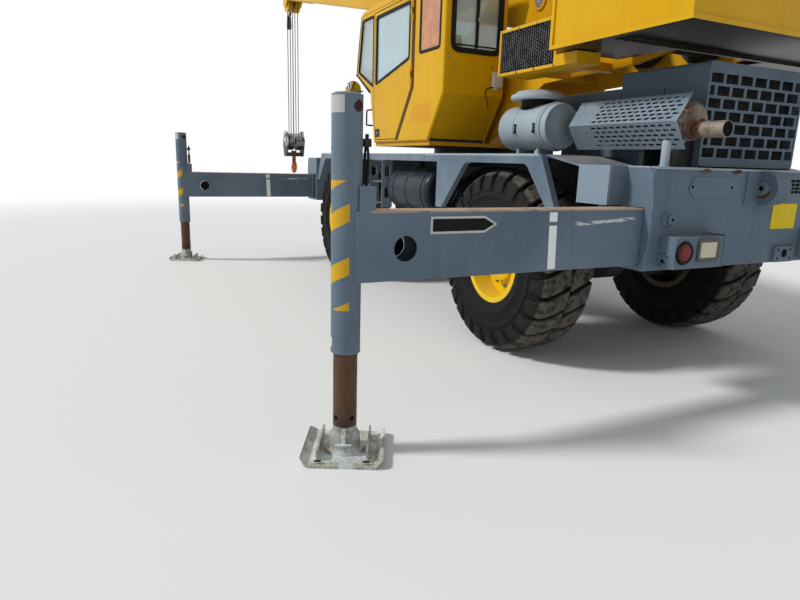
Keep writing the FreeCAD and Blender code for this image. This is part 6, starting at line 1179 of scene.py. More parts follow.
@dataclass
class Outriggers:
    """Fittings of the four beams and jacks: valve blocks, pipes, signs, labels and float latches."""

    rear_x: float = -3.358
    front_x: float = 3.358
    pitch: float = 0.2
    out: float = 3.016
    tube: float = 0.0765
    beam_top: float = 1.293
    beam_half: float = 0.079

    def x_of(self, sign: int, side: int) -> float:
        """Return a jack's place fore and aft of the slewing axis."""
        base = self.front_x if sign == 1 else self.rear_x
        return base if side == 1 else base - sign * self.pitch

    def build(self) -> None:
        """Build the fittings of every outrigger."""
        for end, sign in ENDS:
            for side_name, side in SIDES:
                tag = f"{end}_{side_name}"
                x = self.x_of(sign, side)
                self.tube_fittings(tag, x, sign, side)
                self.signs(tag, x, sign, side)
                self.float_fittings(tag, x, side)

    def tube_fittings(self, tag: str, x: float, sign: int, side: int) -> None:
        """Add the cap, the weld, the valve block and the pipes of a jack tube."""
        body = f"{tag}_beam"
        y = side * self.out
        top = spot(x, y, 1.84)
        cap = Shape(f"{tag}_tube_cap")
        cap.turned(((0.073, -0.004), (0.073, 0.0), (0.060, 0.008), (0.001, 0.012)), top, Axis.Z)
        cap.finish(Finishes.beam, body)
        seam = Shape(f"{tag}_tube_seam")
        for z, wide in ((1.592, 0.0012), (0.570, 0.0012)):
            r = self.tube
            seam.turned(((r - 0.004, z - 0.006), (r + wide, z - 0.004), (r + wide, z + 0.004), (r - 0.004, z + 0.006)),
                        spot(x, y, 0), Axis.Z, sides=36, closed=True)
        seam.finish(Finishes.beam, body)
        weld = Shape(f"{tag}_tube_weld")
        random.seed(tag)
        bead = []
        for i in range(24):
            t = i / 23
            bead.append(spot(x - sign * 0.048 + 0.002 * random.uniform(-1, 1), side * (self.out - self.tube * 0.83),
                             0.95 + 0.42 * t))
        weld.pipe(bead, 0.006, sides=7, smooth=2)
        weld.finish(Finishes.rust, body)
        block = Shape(f"{tag}_holding_valve")
        low, high = sorted((side * 2.896, side * 2.930))
        block.slab(rounded(((low, 1.600), (high, 1.600), (high, 1.640), (low, 1.640)), 0.006),
                   spot(x, 0, 0).x - 0.022, spot(x, 0, 0).x + 0.022, Axis.X)
        block.rod(spot(x, side * 2.912, 1.638), spot(x, side * 2.912, 1.662), 0.010, 8)
        block.rod(spot(x, side * 2.928, 1.62), spot(x, side * 2.942, 1.62), 0.010, 6)
        block.rod(spot(x, side * 2.914, 1.425), spot(x, side * 2.914, 1.540), 0.017, 14)
        block.finish(Finishes.cast, body, bevel=0.002)
        pipes = Shape(f"{tag}_jack_pipes")
        for shift in (-0.024, 0.024):
            pipes.pipe((spot(x + shift, side * 2.925, 1.405), spot(x + shift, side * 2.918, 1.46),
                        spot(x + shift, side * 2.913, 1.54), spot(x + shift * 0.5, side * 2.914, 1.606)), 0.0065)
        pipes.finish(Finishes.seal, body)
        # Painted shade: a black disc inside the beam, seen through the sight hole.
        hole_shade_disc = Shape(f"{tag}_sight_hole_shade")
        hole_y = side * (self.out - 0.296)
        hole_shade_disc.turned(((0.064, 0.0), (0.064, -sign * 0.004), (0.001, -sign * 0.004)), spot(x - sign * 0.0745, hole_y, 1.10), Axis.X, 28)
        hole_shade_disc.finish(Finishes.opening_shade, body)

    def signs(self, tag: str, x: float, sign: int, side: int) -> None:
        """Add the blank arrow sign on the beam and the blank label on the tube."""
        body = f"{tag}_beam"
        face = spot(x + sign * self.beam_half, 0, 0).x
        high_z, low_z, mid = 1.262, 1.172, 1.217
        near, far, tip = side * 2.58, side * 2.245, side * 2.166
        outline = ((near, low_z), (far, low_z), (tip, mid), (far, high_z), (near, high_z))
        levels = sorted((face - sign * 0.001, face + sign * 0.0018))
        Shape(f"{tag}_beam_sign_border").slab(outline, *levels, Axis.X).finish(Finishes.label, body)
        inner = ((near - side * 0.012, low_z + 0.012), (far + side * 0.004, low_z + 0.012),
                 (tip + side * 0.020, mid), (far + side * 0.004, high_z - 0.012), (near - side * 0.012, high_z - 0.012))
        levels = sorted((face, face + sign * 0.0030))
        Shape(f"{tag}_beam_sign").slab(inner, *levels, Axis.X).finish(Finishes.sign_black, body)
        label = Shape(f"{tag}_tube_label")
        rings = []
        for z in (1.752, 1.832):
            rings.append([spot(x + (self.tube + 0.0012) * math.cos(a), side * (self.out + (self.tube + 0.0012) * math.sin(a)), z)
                          for a in [math.radians(d) for d in range(62, 151, 8)]])
        back = []
        for z in (1.752, 1.832):
            back.append([spot(x + (self.tube - 0.001) * math.cos(a), side * (self.out + (self.tube - 0.001) * math.sin(a)), z)
                         for a in [math.radians(d) for d in range(62, 151, 8)]])
        label.skin([rings[0], rings[1], back[1], back[0]], closed=False, caps=False, wrap=True)
        label.finish(Finishes.label, body)

    def float_fittings(self, tag: str, x: float, side: int) -> None:
        """Add the locking pin, the holes and slots of a float, and a label low on its tube."""
        body = f"{tag}_jack"
        centre = spot(x, side * self.out, 0)
        turn = math.radians(155)
        ahead = Vector((math.cos(turn), math.sin(turn) * side, 0))
        wide = Vector((-ahead.y, ahead.x, 0))
        pin = Shape(f"{tag}_float_latch")
        strap = [ahead * (0.0835 + 0.006 * k) + Vector((0, 0, z)) for k, z in ((0, 0.158), (1, 0.146), (1, 0.092), (2, 0.074))]
        pin.skin([[centre + p + wide * a + ahead * b for a, b in ((-0.011, -0.004), (0.011, -0.004), (0.011, 0.004), (-0.011, 0.004))]
                  for p in strap])
        tip = centre + strap[-1] + Vector((0, 0, -0.002))
        pin.rod(tip - wide * 0.042, tip + wide * 0.042, 0.0085)
        pin.rod(centre + ahead * 0.070 + Vector((0, 0, 0.112)), centre + ahead * 0.100 + Vector((0, 0, 0.112)), 0.010, 10)
        pin.finish(Finishes.galvanised, body)
        # Painted shade: black discs and slots stand for the holes in the rod and the float.
        holes = Shape(f"{tag}_rod_holes")
        for degrees in (109, 196, 289, 16):
            way = Vector((math.cos(math.radians(degrees)), math.sin(math.radians(degrees)) * side, 0))
            holes.rod(centre + way * 0.058 + Vector((0, 0, 0.205)), centre + way * 0.0641 + Vector((0, 0, 0.205)), 0.013)
        for a in (-0.125, 0.125):
            at = centre + ahead * 0.185 + wide * a + Vector((0, 0, 0.0))
            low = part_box(f"{tag}_jack_leg")[0].z + 0.0305
            holes.skin([[at + wide * p + ahead * q + Vector((0, 0, z)) for p, q in rounded(
                ((-0.018, -0.007), (0.018, -0.007), (0.018, 0.007), (-0.018, 0.007)), 0.006)] for z in (low - 0.004, low)])
        holes.finish(Finishes.opening_shade, body)
        label = Shape(f"{tag}_rod_label")
        arc = [math.radians(d) for d in range(72, 97, 6)]
        rings = [[centre + Vector((r * math.cos(a), side * r * math.sin(a), z)) for a in arc]
                 for r, z in ((self.tube + 0.001, 0.60), (self.tube + 0.001, 0.645), (self.tube - 0.001, 0.645), (self.tube - 0.001, 0.60))]
        label.skin(rings, closed=False, caps=False, wrap=True)
        label.finish(Finishes.label, f"{tag}_beam")


@dataclass
class RearPlate:
    """Everything fixed to the back of the rear outrigger box."""

    face: float = -3.475
    body: str = "carrier"

    def x(self, out: float) -> float:
        """Return a level a distance behind the box's face."""
        return SLEW_X + self.face - out

    def build(self) -> None:
        """Build the covers, vent, label, lugs, post and top trim."""
        cover = Shape("rear_cover_plate")
        outline = ((0.739, 1.42), (0.700, 1.492), (0.350, 1.492), (0.312, 1.42), (0.330, 1.36), (0.692, 1.36))
        cover.slab(outline, self.x(0.006), self.x(-0.002), Axis.X)
        cover.finish(Finishes.box, self.body, bevel=0.0025)
        # Painted shade: black discs stand for the holes in the rear plate.
        holes = Shape("rear_cover_holes")
        for y, z in ((0.712, 1.428), (0.335, 1.428)):
            holes.turned(((0.010, -0.0005), (0.010, 0.001), (0.001, 0.001)), (self.x(0.007), y, z), Axis.X, 14)
        holes.turned(((0.011, -0.0005), (0.011, 0.001), (0.001, 0.001)), (self.x(0.0395), 0.893, 1.225), Axis.X, 14)
        for y, z, r in ((-0.315, 0.965, 0.030), (-0.245, 0.99, 0.008), (-0.385, 0.99, 0.008),
                        (-0.245, 0.93, 0.008), (-0.385, 0.93, 0.008)):
            holes.turned(((r, -0.0005), (r, 0.001), (0.001, 0.001)), (self.x(0.025), y, z), Axis.X, 18)
        holes.finish(Finishes.opening_shade, self.body)
        boss = Shape("rear_boss")
        boss.turned(((0.052, 0.002), (0.052, -0.006), (0.034, -0.014), (0.032, -0.036), (0.028, -0.0395),
                     (0.001, -0.0395)), (self.x(0.0), 0.893, 1.225), Axis.X)
        boss.finish(Finishes.box, self.body)
        socket = Shape("trailer_socket")
        socket.slab(rounded(((-0.21, 0.902), (-0.42, 0.902), (-0.42, 1.016), (-0.21, 1.016)), 0.006),
                    self.x(0.024), self.x(-0.002), Axis.X)
        socket.finish(Finishes.box, self.body, bevel=0.003)
        # Painted shade: black slots stand for the vent's openings.
        vent = Shape("rear_vent_slots")
        vent.slab(rounded(((-0.135, 1.391), (-0.178, 1.391), (-0.178, 1.409), (-0.135, 1.409)), 0.006),
                  self.x(0.0012), self.x(-0.001), Axis.X)
        vent.finish(Finishes.opening_shade, self.body, repeat=Repeat(6, (0, -0.0545, 0), 4, (0, 0, 0.0255)))
        label = Shape("rear_blank_label")
        label.slab(rounded(((-0.14, 1.142), (-0.41, 1.142), (-0.41, 1.318), (-0.14, 1.318)), 0.008),
                   self.x(0.0015), self.x(-0.001), Axis.X)
        label.finish(Finishes.sign_yellow, self.body)
        trim = Shape("rear_top_trim")
        trim.block((self.x(0.012), -1.048, 1.535), (self.x(-0.004), 1.048, 1.5495))
        trim.finish(Finishes.pale, self.body, bevel=0.002)
        post = Shape("rear_post")
        post.turned(((0.036, 0.0), (0.036, 0.006), (0.0275, 0.008), (0.0275, 0.158), (0.024, 0.164), (0.001, 0.165)),
                    spot(-3.35, 0.84, 1.5495), Axis.Z)
        post.finish(Finishes.pale, self.body)
        for index, y in enumerate((0.611, 0.311)):
            clip = Shape(f"rusty_clip_{index}")
            base = Vector((self.x(0.008), y, 1.53))
            clip.pipe([base + Vector(p) for p in ((0, 0.035, 0.004), (-0.012, 0.018, -0.006), (-0.006, 0.0, 0.010),
                                                  (-0.016, -0.015, -0.004), (-0.004, -0.034, 0.008))], 0.006, 6, 4)
            clip.pipe([base + Vector(p) for p in ((0, 0.02, 0.012), (-0.010, -0.002, -0.008),
                                                  (-0.004, -0.022, 0.002))], 0.005, 6, 4)
            clip.finish(Finishes.rust, self.body)
        pin = Shape("tow_pin_face")
        centre = Vector((SLEW_X + self.face - 0.040, 0.0, 1.425))
        for side in (1, -1):
            pin.turned(((0.046, side * 0.082), (0.040, side * 0.086), (0.018, side * 0.086), (0.018, side * 0.080),
                        (0.001, side * 0.080)), centre, Axis.Y)
        pin.finish(Finishes.box, self.body)
        stain = Shape("tow_pin_rust")
        rings = []
        for r, out in ((0.047, 0.0708), (0.062, 0.0712), (0.066, 0.0706)):
            rings.append([centre + Vector((r * math.cos(a), out, r * math.sin(a)))
                          for a in [math.radians(d) for d in range(195, 346, 10)]])
        stain.skin(rings, closed=False, caps=False)
        stain.finish(Finishes.rust, self.body)
        self.lamps()

    def lamps(self) -> None:
        """Build the round and square lamps in both light boxes."""
        back = SLEW_X - 3.600
        for name, side in SIDES:
            round_at = Vector((back, side * 0.858, 1.027))
            rim = Shape(f"{name}_lamp_rubber")
            rim.turned(((0.076, 0.0), (0.076, -0.0025), (0.071, -0.004), (0.070, -0.011), (0.064, -0.015), (0.058, -0.013),
                        (0.056, -0.002), (0.056, 0.0)), round_at, Axis.X, 40, closed=True)
            rim.finish(Finishes.seal, self.body)
            lens = Shape(f"{name}_red_lamp")
            lens.turned(((0.057, -0.001), (0.057, -0.008), (0.052, -0.013), (0.036, -0.0175), (0.016, -0.019),
                         (0.001, -0.0192)), round_at, Axis.X, 36)
            lens.finish(Finishes.red, self.body)
            low, high = sorted((side * 0.545, side * 0.745))
            corners = ((low, 0.966), (high, 0.966), (high, 1.114), (low, 1.114))
            bezel = frame_loop(corners, 0.024, back - 0.012, back + 0.0, Axis.X, 0.030,
                               Shape(f"{name}_lamp_bezel"))
            bezel.finish(Finishes.trim, self.body, bevel=0.002)
            inner = rounded(((low + 0.022, 0.988), (high - 0.022, 0.988), (high - 0.022, 1.092), (low + 0.022, 1.092)), 0.010)
            pane = Shape(f"{name}_cream_lamp")
            rings = [[Vector((x, y * k + (1 - k) * side * 0.645, z * k + (1 - k) * 1.04)) for y, z in inner]
                     for x, k in ((back - 0.001, 1.0), (back - 0.007, 1.0), (back - 0.011, 0.93), (back - 0.012, 0.5))]
            pane.skin(rings)
            pane.finish(Finishes.cream, self.body)
            # Painted shade: black discs stand for the holes in the lamp box.
            dots = Shape(f"{name}_lamp_box_holes")
            for x, z, r in ((-3.50, 1.011, 0.006), (-3.525, 1.016, 0.006), (-3.545, 0.995, 0.006), (-3.512, 0.966, 0.013),
                            (-3.497, 0.945, 0.006), (-3.53, 0.957, 0.005)):
                dots.turned(((r, -0.0006), (r, side * 0.0010), (0.0005, side * 0.0010)), spot(x, side * 0.9401, z), Axis.Y, 12)
            dots.finish(Finishes.opening_shade, self.body)
            guard = Shape(f"{name}_lamp_guard")
            edge = side * 0.492
            a, b = sorted((edge, side * 0.4995))
            guard.block((back - 0.006, a, 0.925), (SLEW_X - 3.476, b, 1.135))
            guard.finish(Finishes.box, self.body, bevel=0.0015)


@dataclass
class PowerPack:
    """Radiator, exhaust and air cleaner details around the engine hood."""

    body: str = "carrier"
    cleaner_y: float = 0.820
    cleaner_z: float = 1.836
    cleaner_r: float = 0.181
    muffler_y: float = 0.655
    muffler_z: float = 1.840

    def build(self) -> None:
        """Build the radiator core, the cleaner's fittings, the exhaust's fittings and the hood's bolts."""
        # Painted shade: a black block behind the radiator's fins.
        core = Shape("radiator_core")
        core.block((SLEW_X - 3.262, -0.455, 1.60), (SLEW_X - 3.215, 0.455, 2.19))
        core.finish(Finishes.opening_shade, self.body)
        fin = Shape("radiator_fins")
        fin.block((SLEW_X - 3.272, -0.4505, 1.605), (SLEW_X - 3.258, -0.4475, 2.185))
        fin.finish(Finishes.dark, self.body, repeat=Repeat(75, (0, 0.01215, 0)))
        tubes = Shape("radiator_tubes")
        tubes.block((SLEW_X - 3.268, -0.452, 1.612), (SLEW_X - 3.256, 0.452, 1.618))
        tubes.finish(Finishes.dark, self.body, repeat=Repeat(32, (0, 0, 0.0184)))
        self.grille()
        self.heat_shield()
        self.cleaner()
        self.exhaust()
        self.hood()

    def grille(self) -> None:
        """Build the radiator grille, its openings laid like bricks."""
        low, high, side, pitch, row = 1.6206, 2.1580, 0.482, 0.147, 0.0795
        near, far = SLEW_X - 3.3305, SLEW_X - 3.3215
        border = Shape("grille_border")
        outer = rounded(((-0.5, 1.56), (0.5, 1.56), (0.5, 2.23), (-0.5, 2.23)), 0.026)
        inner = rounded(((-side, low), (side, low), (side, high), (-side, high)), 0.006)
        border.skin([[Axis.X.place(a, b, x) for a, b in line]
                     for line, x in ((outer, near), (outer, far), (inner, far), (inner, near))], caps=False, wrap=True)
        border.finish(Finishes.carrier, self.body, replaces=["radiator_grille"], bevel=0.002)
        bars = Shape("grille_bars")
        bars.block((near + 0.001, -side, -0.0093), (far, side, 0.0093))
        bars.finish(Finishes.carrier, self.body, bevel=0.0015,
                    repeat=Repeat(6, (0, 0, row), centre=(0, 0, low + 0.0703)))
        for name, first, count, start in (("odd", 0, 6, 0.349), ("even", 1, 7, 0.4225)):
            upright = Shape(f"grille_{name}_uprights")
            upright.block((near + 0.001, -0.0125, -0.031), (far, 0.0125, 0.031))
            upright.finish(Finishes.carrier, self.body, bevel=0.0015,
                           repeat=Repeat(count, (0, -pitch, 0), 4 - first, (0, 0, 2 * row),
                                         centre=(0, start, low + 0.0305 + first * row)))

    def heat_shield(self) -> None:
        """Build the folded heat shield beside the muffler, its faces full of staggered slots."""
        ridge = spot(-2.64, 0.850, 1.832)
        sheet = Shape("shield_sheet")
        for name, top, columns, rows, cell, margin in (("upper", (0.735, 2.010), 12, 6, (0.0605, 0.0310), 0.011),
                                                       ("lower", (0.742, 1.662), 12, 5, (0.0605, 0.0345), 0.012)):
            rise = Vector((0.0, top[0] - 0.850, top[1] - 1.832))
            tall = rise.length
            rise.normalize()
            back = Vector((-1.0, 0.0, 0.0))
            out = rise.cross(back) if name == "lower" else back.cross(rise)
            if out.y < 0:
                out = -out

            def at(u: float, v: float, w: float) -> Vector:
                """Return a point from its place along, up and out of the face."""
                return ridge + back * u + rise * v + out * w

            def plate(u: Point, v: Point) -> None:
                """Add a plain rectangle of the sheet."""
                sheet.skin([[at(u[0], v[0], w), at(u[1], v[0], w), at(u[1], v[1], w), at(u[0], v[1], w)]
                            for w in (-0.0025, 0.0)])
            holed = columns * cell[0] + cell[0] / 2
            plate((-0.22, 0.0), (0.0, tall))
            plate((holed, 0.772), (0.0, tall))
            plate((0.0, holed), (0.0, margin))
            plate((0.0, holed), (margin + rows * cell[1], tall))
            for row in range(rows):
                start = 0.0 if row % 2 else columns * cell[0]
                plate((start, start + cell[0] / 2), (margin + row * cell[1], margin + (row + 1) * cell[1]))
            punched = Shape(f"shield_{name}_slots")
            half_u, half_v = cell[0] / 2, cell[1] / 2
            edge = rounded(((-half_u, -half_v), (half_u, -half_v), (half_u, half_v), (-half_u, half_v)), 1e-4, 3)
            hole = rounded(((-0.0215, -0.0085), (0.0215, -0.0065), (0.0215, 0.0085), (-0.0215, 0.0065)), 0.007, 3)
            rings = [[at(half_u + a, margin + half_v + b, w) - ridge for a, b in line]
                     for line, w in ((edge, -0.0025), (edge, 0.0), (hole, 0.0), (hole, -0.0025))]
            punched.skin(rings, caps=False, wrap=True)
            punched.finish(Finishes.shield, self.body, weld=False,
                           repeat=Repeat(columns, tuple(back * cell[0]), rows, tuple(rise * cell[1]),
                                         tuple(back * half_u), centre=tuple(ridge)))
        for x in (-2.52, -3.34):
            sheet.slab(((0.742, 1.664), (0.655, 1.735), (0.668, 1.750), (0.748, 1.676)), SLEW_X + x - 0.018, SLEW_X + x + 0.018,
                       Axis.X)
            sheet.slab(((0.735, 2.008), (0.690, 1.945), (0.700, 1.935), (0.745, 1.995)), SLEW_X + x - 0.018, SLEW_X + x + 0.018,
                       Axis.X)
        sheet.finish(Finishes.shield, self.body, replaces=["muffler_shield"])

    def cleaner(self) -> None:
        """Build the air cleaner: canister, end cover, bands, clips, feet, screen and rain cap."""
        middle = spot(0, self.cleaner_y, self.cleaner_z)
        can = Shape("cleaner_canister")
        r = self.cleaner_r
        can.turned(((0.09, -1.690), (r - 0.030, -1.690), (r - 0.012, -1.695), (r - 0.003, -1.706), (r, -1.722), (r, -1.905),
                    (r + 0.0035, -1.907), (r + 0.0035, -1.913), (r, -1.915), (r, -2.205), (r + 0.005, -2.209),
                    (r + 0.005, -2.217), (r, -2.221), (r, -2.238), (r + 0.008, -2.243), (r + 0.009, -2.252), (r + 0.002, -2.258),
                    (r - 0.004, -2.262), (r - 0.006, -2.296), (r - 0.004, -2.306), (r - 0.008, -2.3145), (r - 0.016, -2.316),
                    (r - 0.023, -2.311), (r - 0.030, -2.3085), (0.07, -2.308), (0.065, -2.3105), (0.03, -2.311), (0.028, -2.316),
                    (0.001, -2.317)), middle, Axis.X, 56)
        can.finish(Finishes.pale, self.body, replaces=["air_cleaner"])
        feet = Shape("cleaner_feet")
        for x in (-1.865, -2.125):
            feet.block(spot(x - 0.016, 0.745, 1.615), spot(x + 0.016, 0.900, 1.700))
            feet.block(spot(x - 0.030, 0.725, 1.6145), spot(x + 0.030, 0.925, 1.622))
        feet.finish(Finishes.pale, self.body, bevel=0.002)
        clips = Shape("cleaner_clips")
        for x in (-1.948, -2.190):
            at = spot(x, self.cleaner_y + r + 0.001, self.cleaner_z - 0.005)
            clips.block(at + Vector((-0.010, -0.006, -0.034)), at + Vector((0.010, 0.006, 0.018)))
            clips.block(at + Vector((-0.013, 0.000, -0.048)), at + Vector((0.013, 0.010, -0.032)))
            clips.rod(at + Vector((-0.018, 0.002, 0.022)), at + Vector((0.018, 0.002, 0.022)), 0.006, 8)
        clips.finish(Finishes.seal, self.body, bevel=0.002)
        # Painted shade: a black drum behind the screen's slats.
        screen = Shape("cleaner_screen")
        screen.turned(((0.120, -0.03), (0.126, -0.02), (0.126, 0.050), (0.120, 0.054)), spot(-1.99, self.cleaner_y, 2.004), Axis.Z, 40)
        screen.finish(Finishes.opening_shade, self.body)
        slats = Shape("cleaner_screen_slats")
        slats.block((0.125, -0.0025, 2.000), (0.131, 0.0025, 2.054))
        slats.finish(Finishes.dark, self.body, repeat=ring(40, Axis.Z, spot(-1.99, self.cleaner_y, 0.0)))
        cap = Shape("cleaner_rain_cap")
        cap.turned(((0.121, 2.056), (0.150, 2.052), (0.205, 2.050), (0.216, 2.053), (0.222, 2.062), (0.2225, 2.078), (0.219, 2.088),
                    (0.208, 2.094), (0.190, 2.098), (0.184, 2.104), (0.180, 2.112), (0.168, 2.119), (0.110, 2.130), (0.056, 2.135),
                    (0.022, 2.136), (0.020, 2.142), (0.001, 2.144)), spot(-1.99, self.cleaner_y, 0.0), Axis.Z, 56)
        cap.finish(Finishes.pale, self.body)

    def exhaust(self) -> None:
        """Add the rings of the muffler, the clamp of its tail pipe and the pipe's dark bore."""
        rings = Shape("muffler_rings")
        for x in (-3.372, -3.352, -3.26, -3.20):
            rings.turned(((0.1165, -0.006), (0.1215, -0.003), (0.1215, 0.003), (0.1165, 0.006)),
                         spot(x, self.muffler_y, self.muffler_z), Axis.X, 40, closed=True)
        rings.finish(Finishes.muffler, self.body)
        clamp = Shape("tail_pipe_clamp")
        at = spot(-3.44, self.muffler_y, 1.785)
        clamp.turned(((0.0495, -0.013), (0.0535, -0.012), (0.0535, 0.012), (0.0495, 0.013)), at, Axis.X, 32, closed=True)
        clamp.rod(at + Vector((0, 0.030, 0.052)), at + Vector((0, -0.025, 0.058)), 0.005, 8)
        clamp.block(at + Vector((-0.012, -0.006, 0.050)), at + Vector((0.012, 0.006, 0.068)))
        clamp.finish(Finishes.rust, self.body)
        pipe = Shape("tail_pipe_skin")
        pipe.turned(((0.0497, -3.46), (0.0510, -3.47), (0.0514, -3.55), (0.0518, -3.612), (0.0512, -3.628),
                     (0.0465, -3.628), (0.0465, -3.62), (0.0497, -3.618)), spot(0, self.muffler_y, 1.785), Axis.X, 32, closed=True)
        pipe.finish(Finishes.tail, self.body)
        # Painted shade: a black disc inside the tail pipe's mouth.
        bore = Shape("tail_pipe_bore")
        bore.turned(((0.0468, 0.0), (0.0468, -0.0022), (0.001, -0.0022)), spot(-3.6245, self.muffler_y, 1.785), Axis.X, 32)
        bore.finish(Finishes.opening_shade, self.body)

    def hood(self) -> None:
        """Add the bolts, rivets, latches, louvres and panel joints of the engine hood."""
        bolt = Shape("hood_bolts")
        bolt.slab(hexagon(0.010), 2.2285, 2.2375, Axis.Z)
        bolt.finish(Finishes.bolt, self.body, bevel=0.001,
                    repeat=Repeat(5, (0.15, 0, 0), 2, (0, 0.90, 0), centre=tuple(spot(-3.28, -0.45, 0))))
        rivets = Shape("hood_rivets")
        rivets.turned(((0.009, 0.0), (0.008, -0.003), (0.004, -0.005), (0.0005, -0.0052)), (0, 0, 0), Axis.X, 10)
        rivets.finish(Finishes.carrier, self.body,
                      repeat=Repeat(2, (0, 0.952, 0), 5, (0, 0, 0.155), centre=tuple(spot(-3.3205, -0.476, 1.585))))
        for side in (1, -1):
            name = "left" if side == 1 else "right"
            seams = Shape(f"{name}_hood_seams")
            for x in (-2.58, -2.98):
                a, b = sorted((side * 0.4985, side * 0.5007))
                seams.block(spot(x - 0.003, a, 1.70), spot(x + 0.003, b, 2.09))
            seams.finish(Finishes.opening_shade, self.body)
            latch = Shape(f"{name}_hood_latches")
            a, b = sorted((side * 0.500, side * 0.512))
            for x in (-2.68, -2.88, -2.30):
                latch.block(spot(x - 0.018, a, 1.97), spot(x + 0.018, b, 2.03))
                latch.rod(spot(x, side * 0.512, 2.018), spot(x, side * 0.522, 2.018), 0.007, 8)
            latch.finish(Finishes.dark, self.body, bevel=0.002)
            # Painted shade: black slots stand for the louvres' openings.
            slots = Shape(f"{name}_hood_louvres")
            slots.slab(rounded(((-0.055, 0.0), (0.055, 0.0), (0.055, 0.014), (-0.055, 0.014)), 0.006),
                       side * 0.4995, side * 0.5012, Axis.Y)
            slots.finish(Finishes.opening_shade, self.body,
                         repeat=Repeat(2, (0.16, 0, 0), 8, (0, 0, 0.032), centre=tuple(spot(-2.22, 0, 1.74))))


@dataclass
class DeckTrim:
    """Bolts, treads, bands and rails on the decks and the side tanks."""

    body: str = "carrier"

    def build(self) -> None:
        """Build the trim of both sides."""
        bolts = Shape("fender_rail_bolts")
        for x in (-1.073, -1.231, -1.467, -1.697, 0.86, 1.08, 1.31, 2.12):
            for side in (1, -1):
                at = spot(x, side * 1.2695, 1.572)
                bolts.turned(((0.013, 0.0), (0.012, side * 0.003), (0.008, side * 0.0035), (0.0075, side * 0.009),
                              (0.001, side * 0.010)), at, Axis.Y, 12)
        bolts.finish(Finishes.bolt, self.body)
        rail = Shape("deck_top_rail")
        for side in (1, -1):
            a, b = sorted((side * 1.255, side * 1.2725))
            rail.block(spot(-2.62, a, 1.598), spot(-0.90, b, 1.6175))
            rail.block(spot(0.72, a, 1.598), spot(2.18, b, 1.6175))
        rail.finish(Finishes.pale, self.body, bevel=0.0025)
        tread = Shape("deck_tread_ribs")
        tread.slab(rounded(((-0.016, -0.0035), (0.016, -0.0035), (0.016, 0.0035), (-0.016, 0.0035)), 0.003, 2),
                   1.6135, 1.6158, Axis.Z)
        tread.finish(Finishes.deck, self.body,
                     repeat=Repeat(40, (0.04, 0, 0), 7, (0, 0.045, 0), (0.02, 0, 0), centre=tuple(spot(-2.52, 0.87, 0))))
        step = Shape("ladder_treads")
        step.rod((0, 1.146, 0.0), (0, 1.262, 0.0), 0.006, 8)
        step.finish(Finishes.under, self.body,
                    repeat=Repeat(9, (0.038, 0, 0), 3, (0, 0, 0.238), centre=tuple(spot(0.148, 0, 1.082))))
        bands = Shape("tank_bands")
        for x in (-0.68, -0.385, -0.09):
            bands.turned(((0.2425, -0.020), (0.2465, -0.018), (0.2465, 0.018), (0.2425, 0.020)),
                         spot(x, 0.985, 1.245), Axis.X, 48, closed=True)
        bands.finish(Finishes.under, self.body)
        cap = Shape("tank_filler_cap")
        cap.turned(((0.040, -0.004), (0.040, 0.014), (0.052, 0.016), (0.052, 0.040), (0.044, 0.047), (0.001, 0.049)),
                   spot(-0.25, 0.985, 1.484), Axis.Z, 24)
        cap.turned(((0.040, -0.004), (0.040, 0.014), (0.052, 0.016), (0.052, 0.040), (0.044, 0.047), (0.001, 0.049)),
                   spot(-0.25, -0.98, 1.500), Axis.Z, 24)
        cap.finish(Finishes.dark, self.body)
        hoses = Shape("carrier_hoses")
        for index in range(3):
            y = 0.90 + 0.045 * index
            hoses.pipe((spot(-0.90, y, 1.12 + 0.03 * index), spot(-1.05, y, 1.30), spot(-1.10, y - 0.2, 1.46),
                        spot(-1.20, y - 0.45, 1.49), spot(-1.45, 0.42 - 0.03 * index, 1.40)), 0.013)
        hoses.finish(Finishes.seal, self.body)
        box_straps = Shape("fuel_box_straps")
        for x in (-0.86, -0.18):
            box_straps.block(spot(x - 0.022, -1.2035, 0.957), spot(x + 0.022, -1.199, 1.503))
            box_straps.block(spot(x - 0.022, -1.2035, 1.4985), spot(x + 0.022, -0.64, 1.5030))
        box_straps.finish(Finishes.carrier, self.body, bevel=0.001)


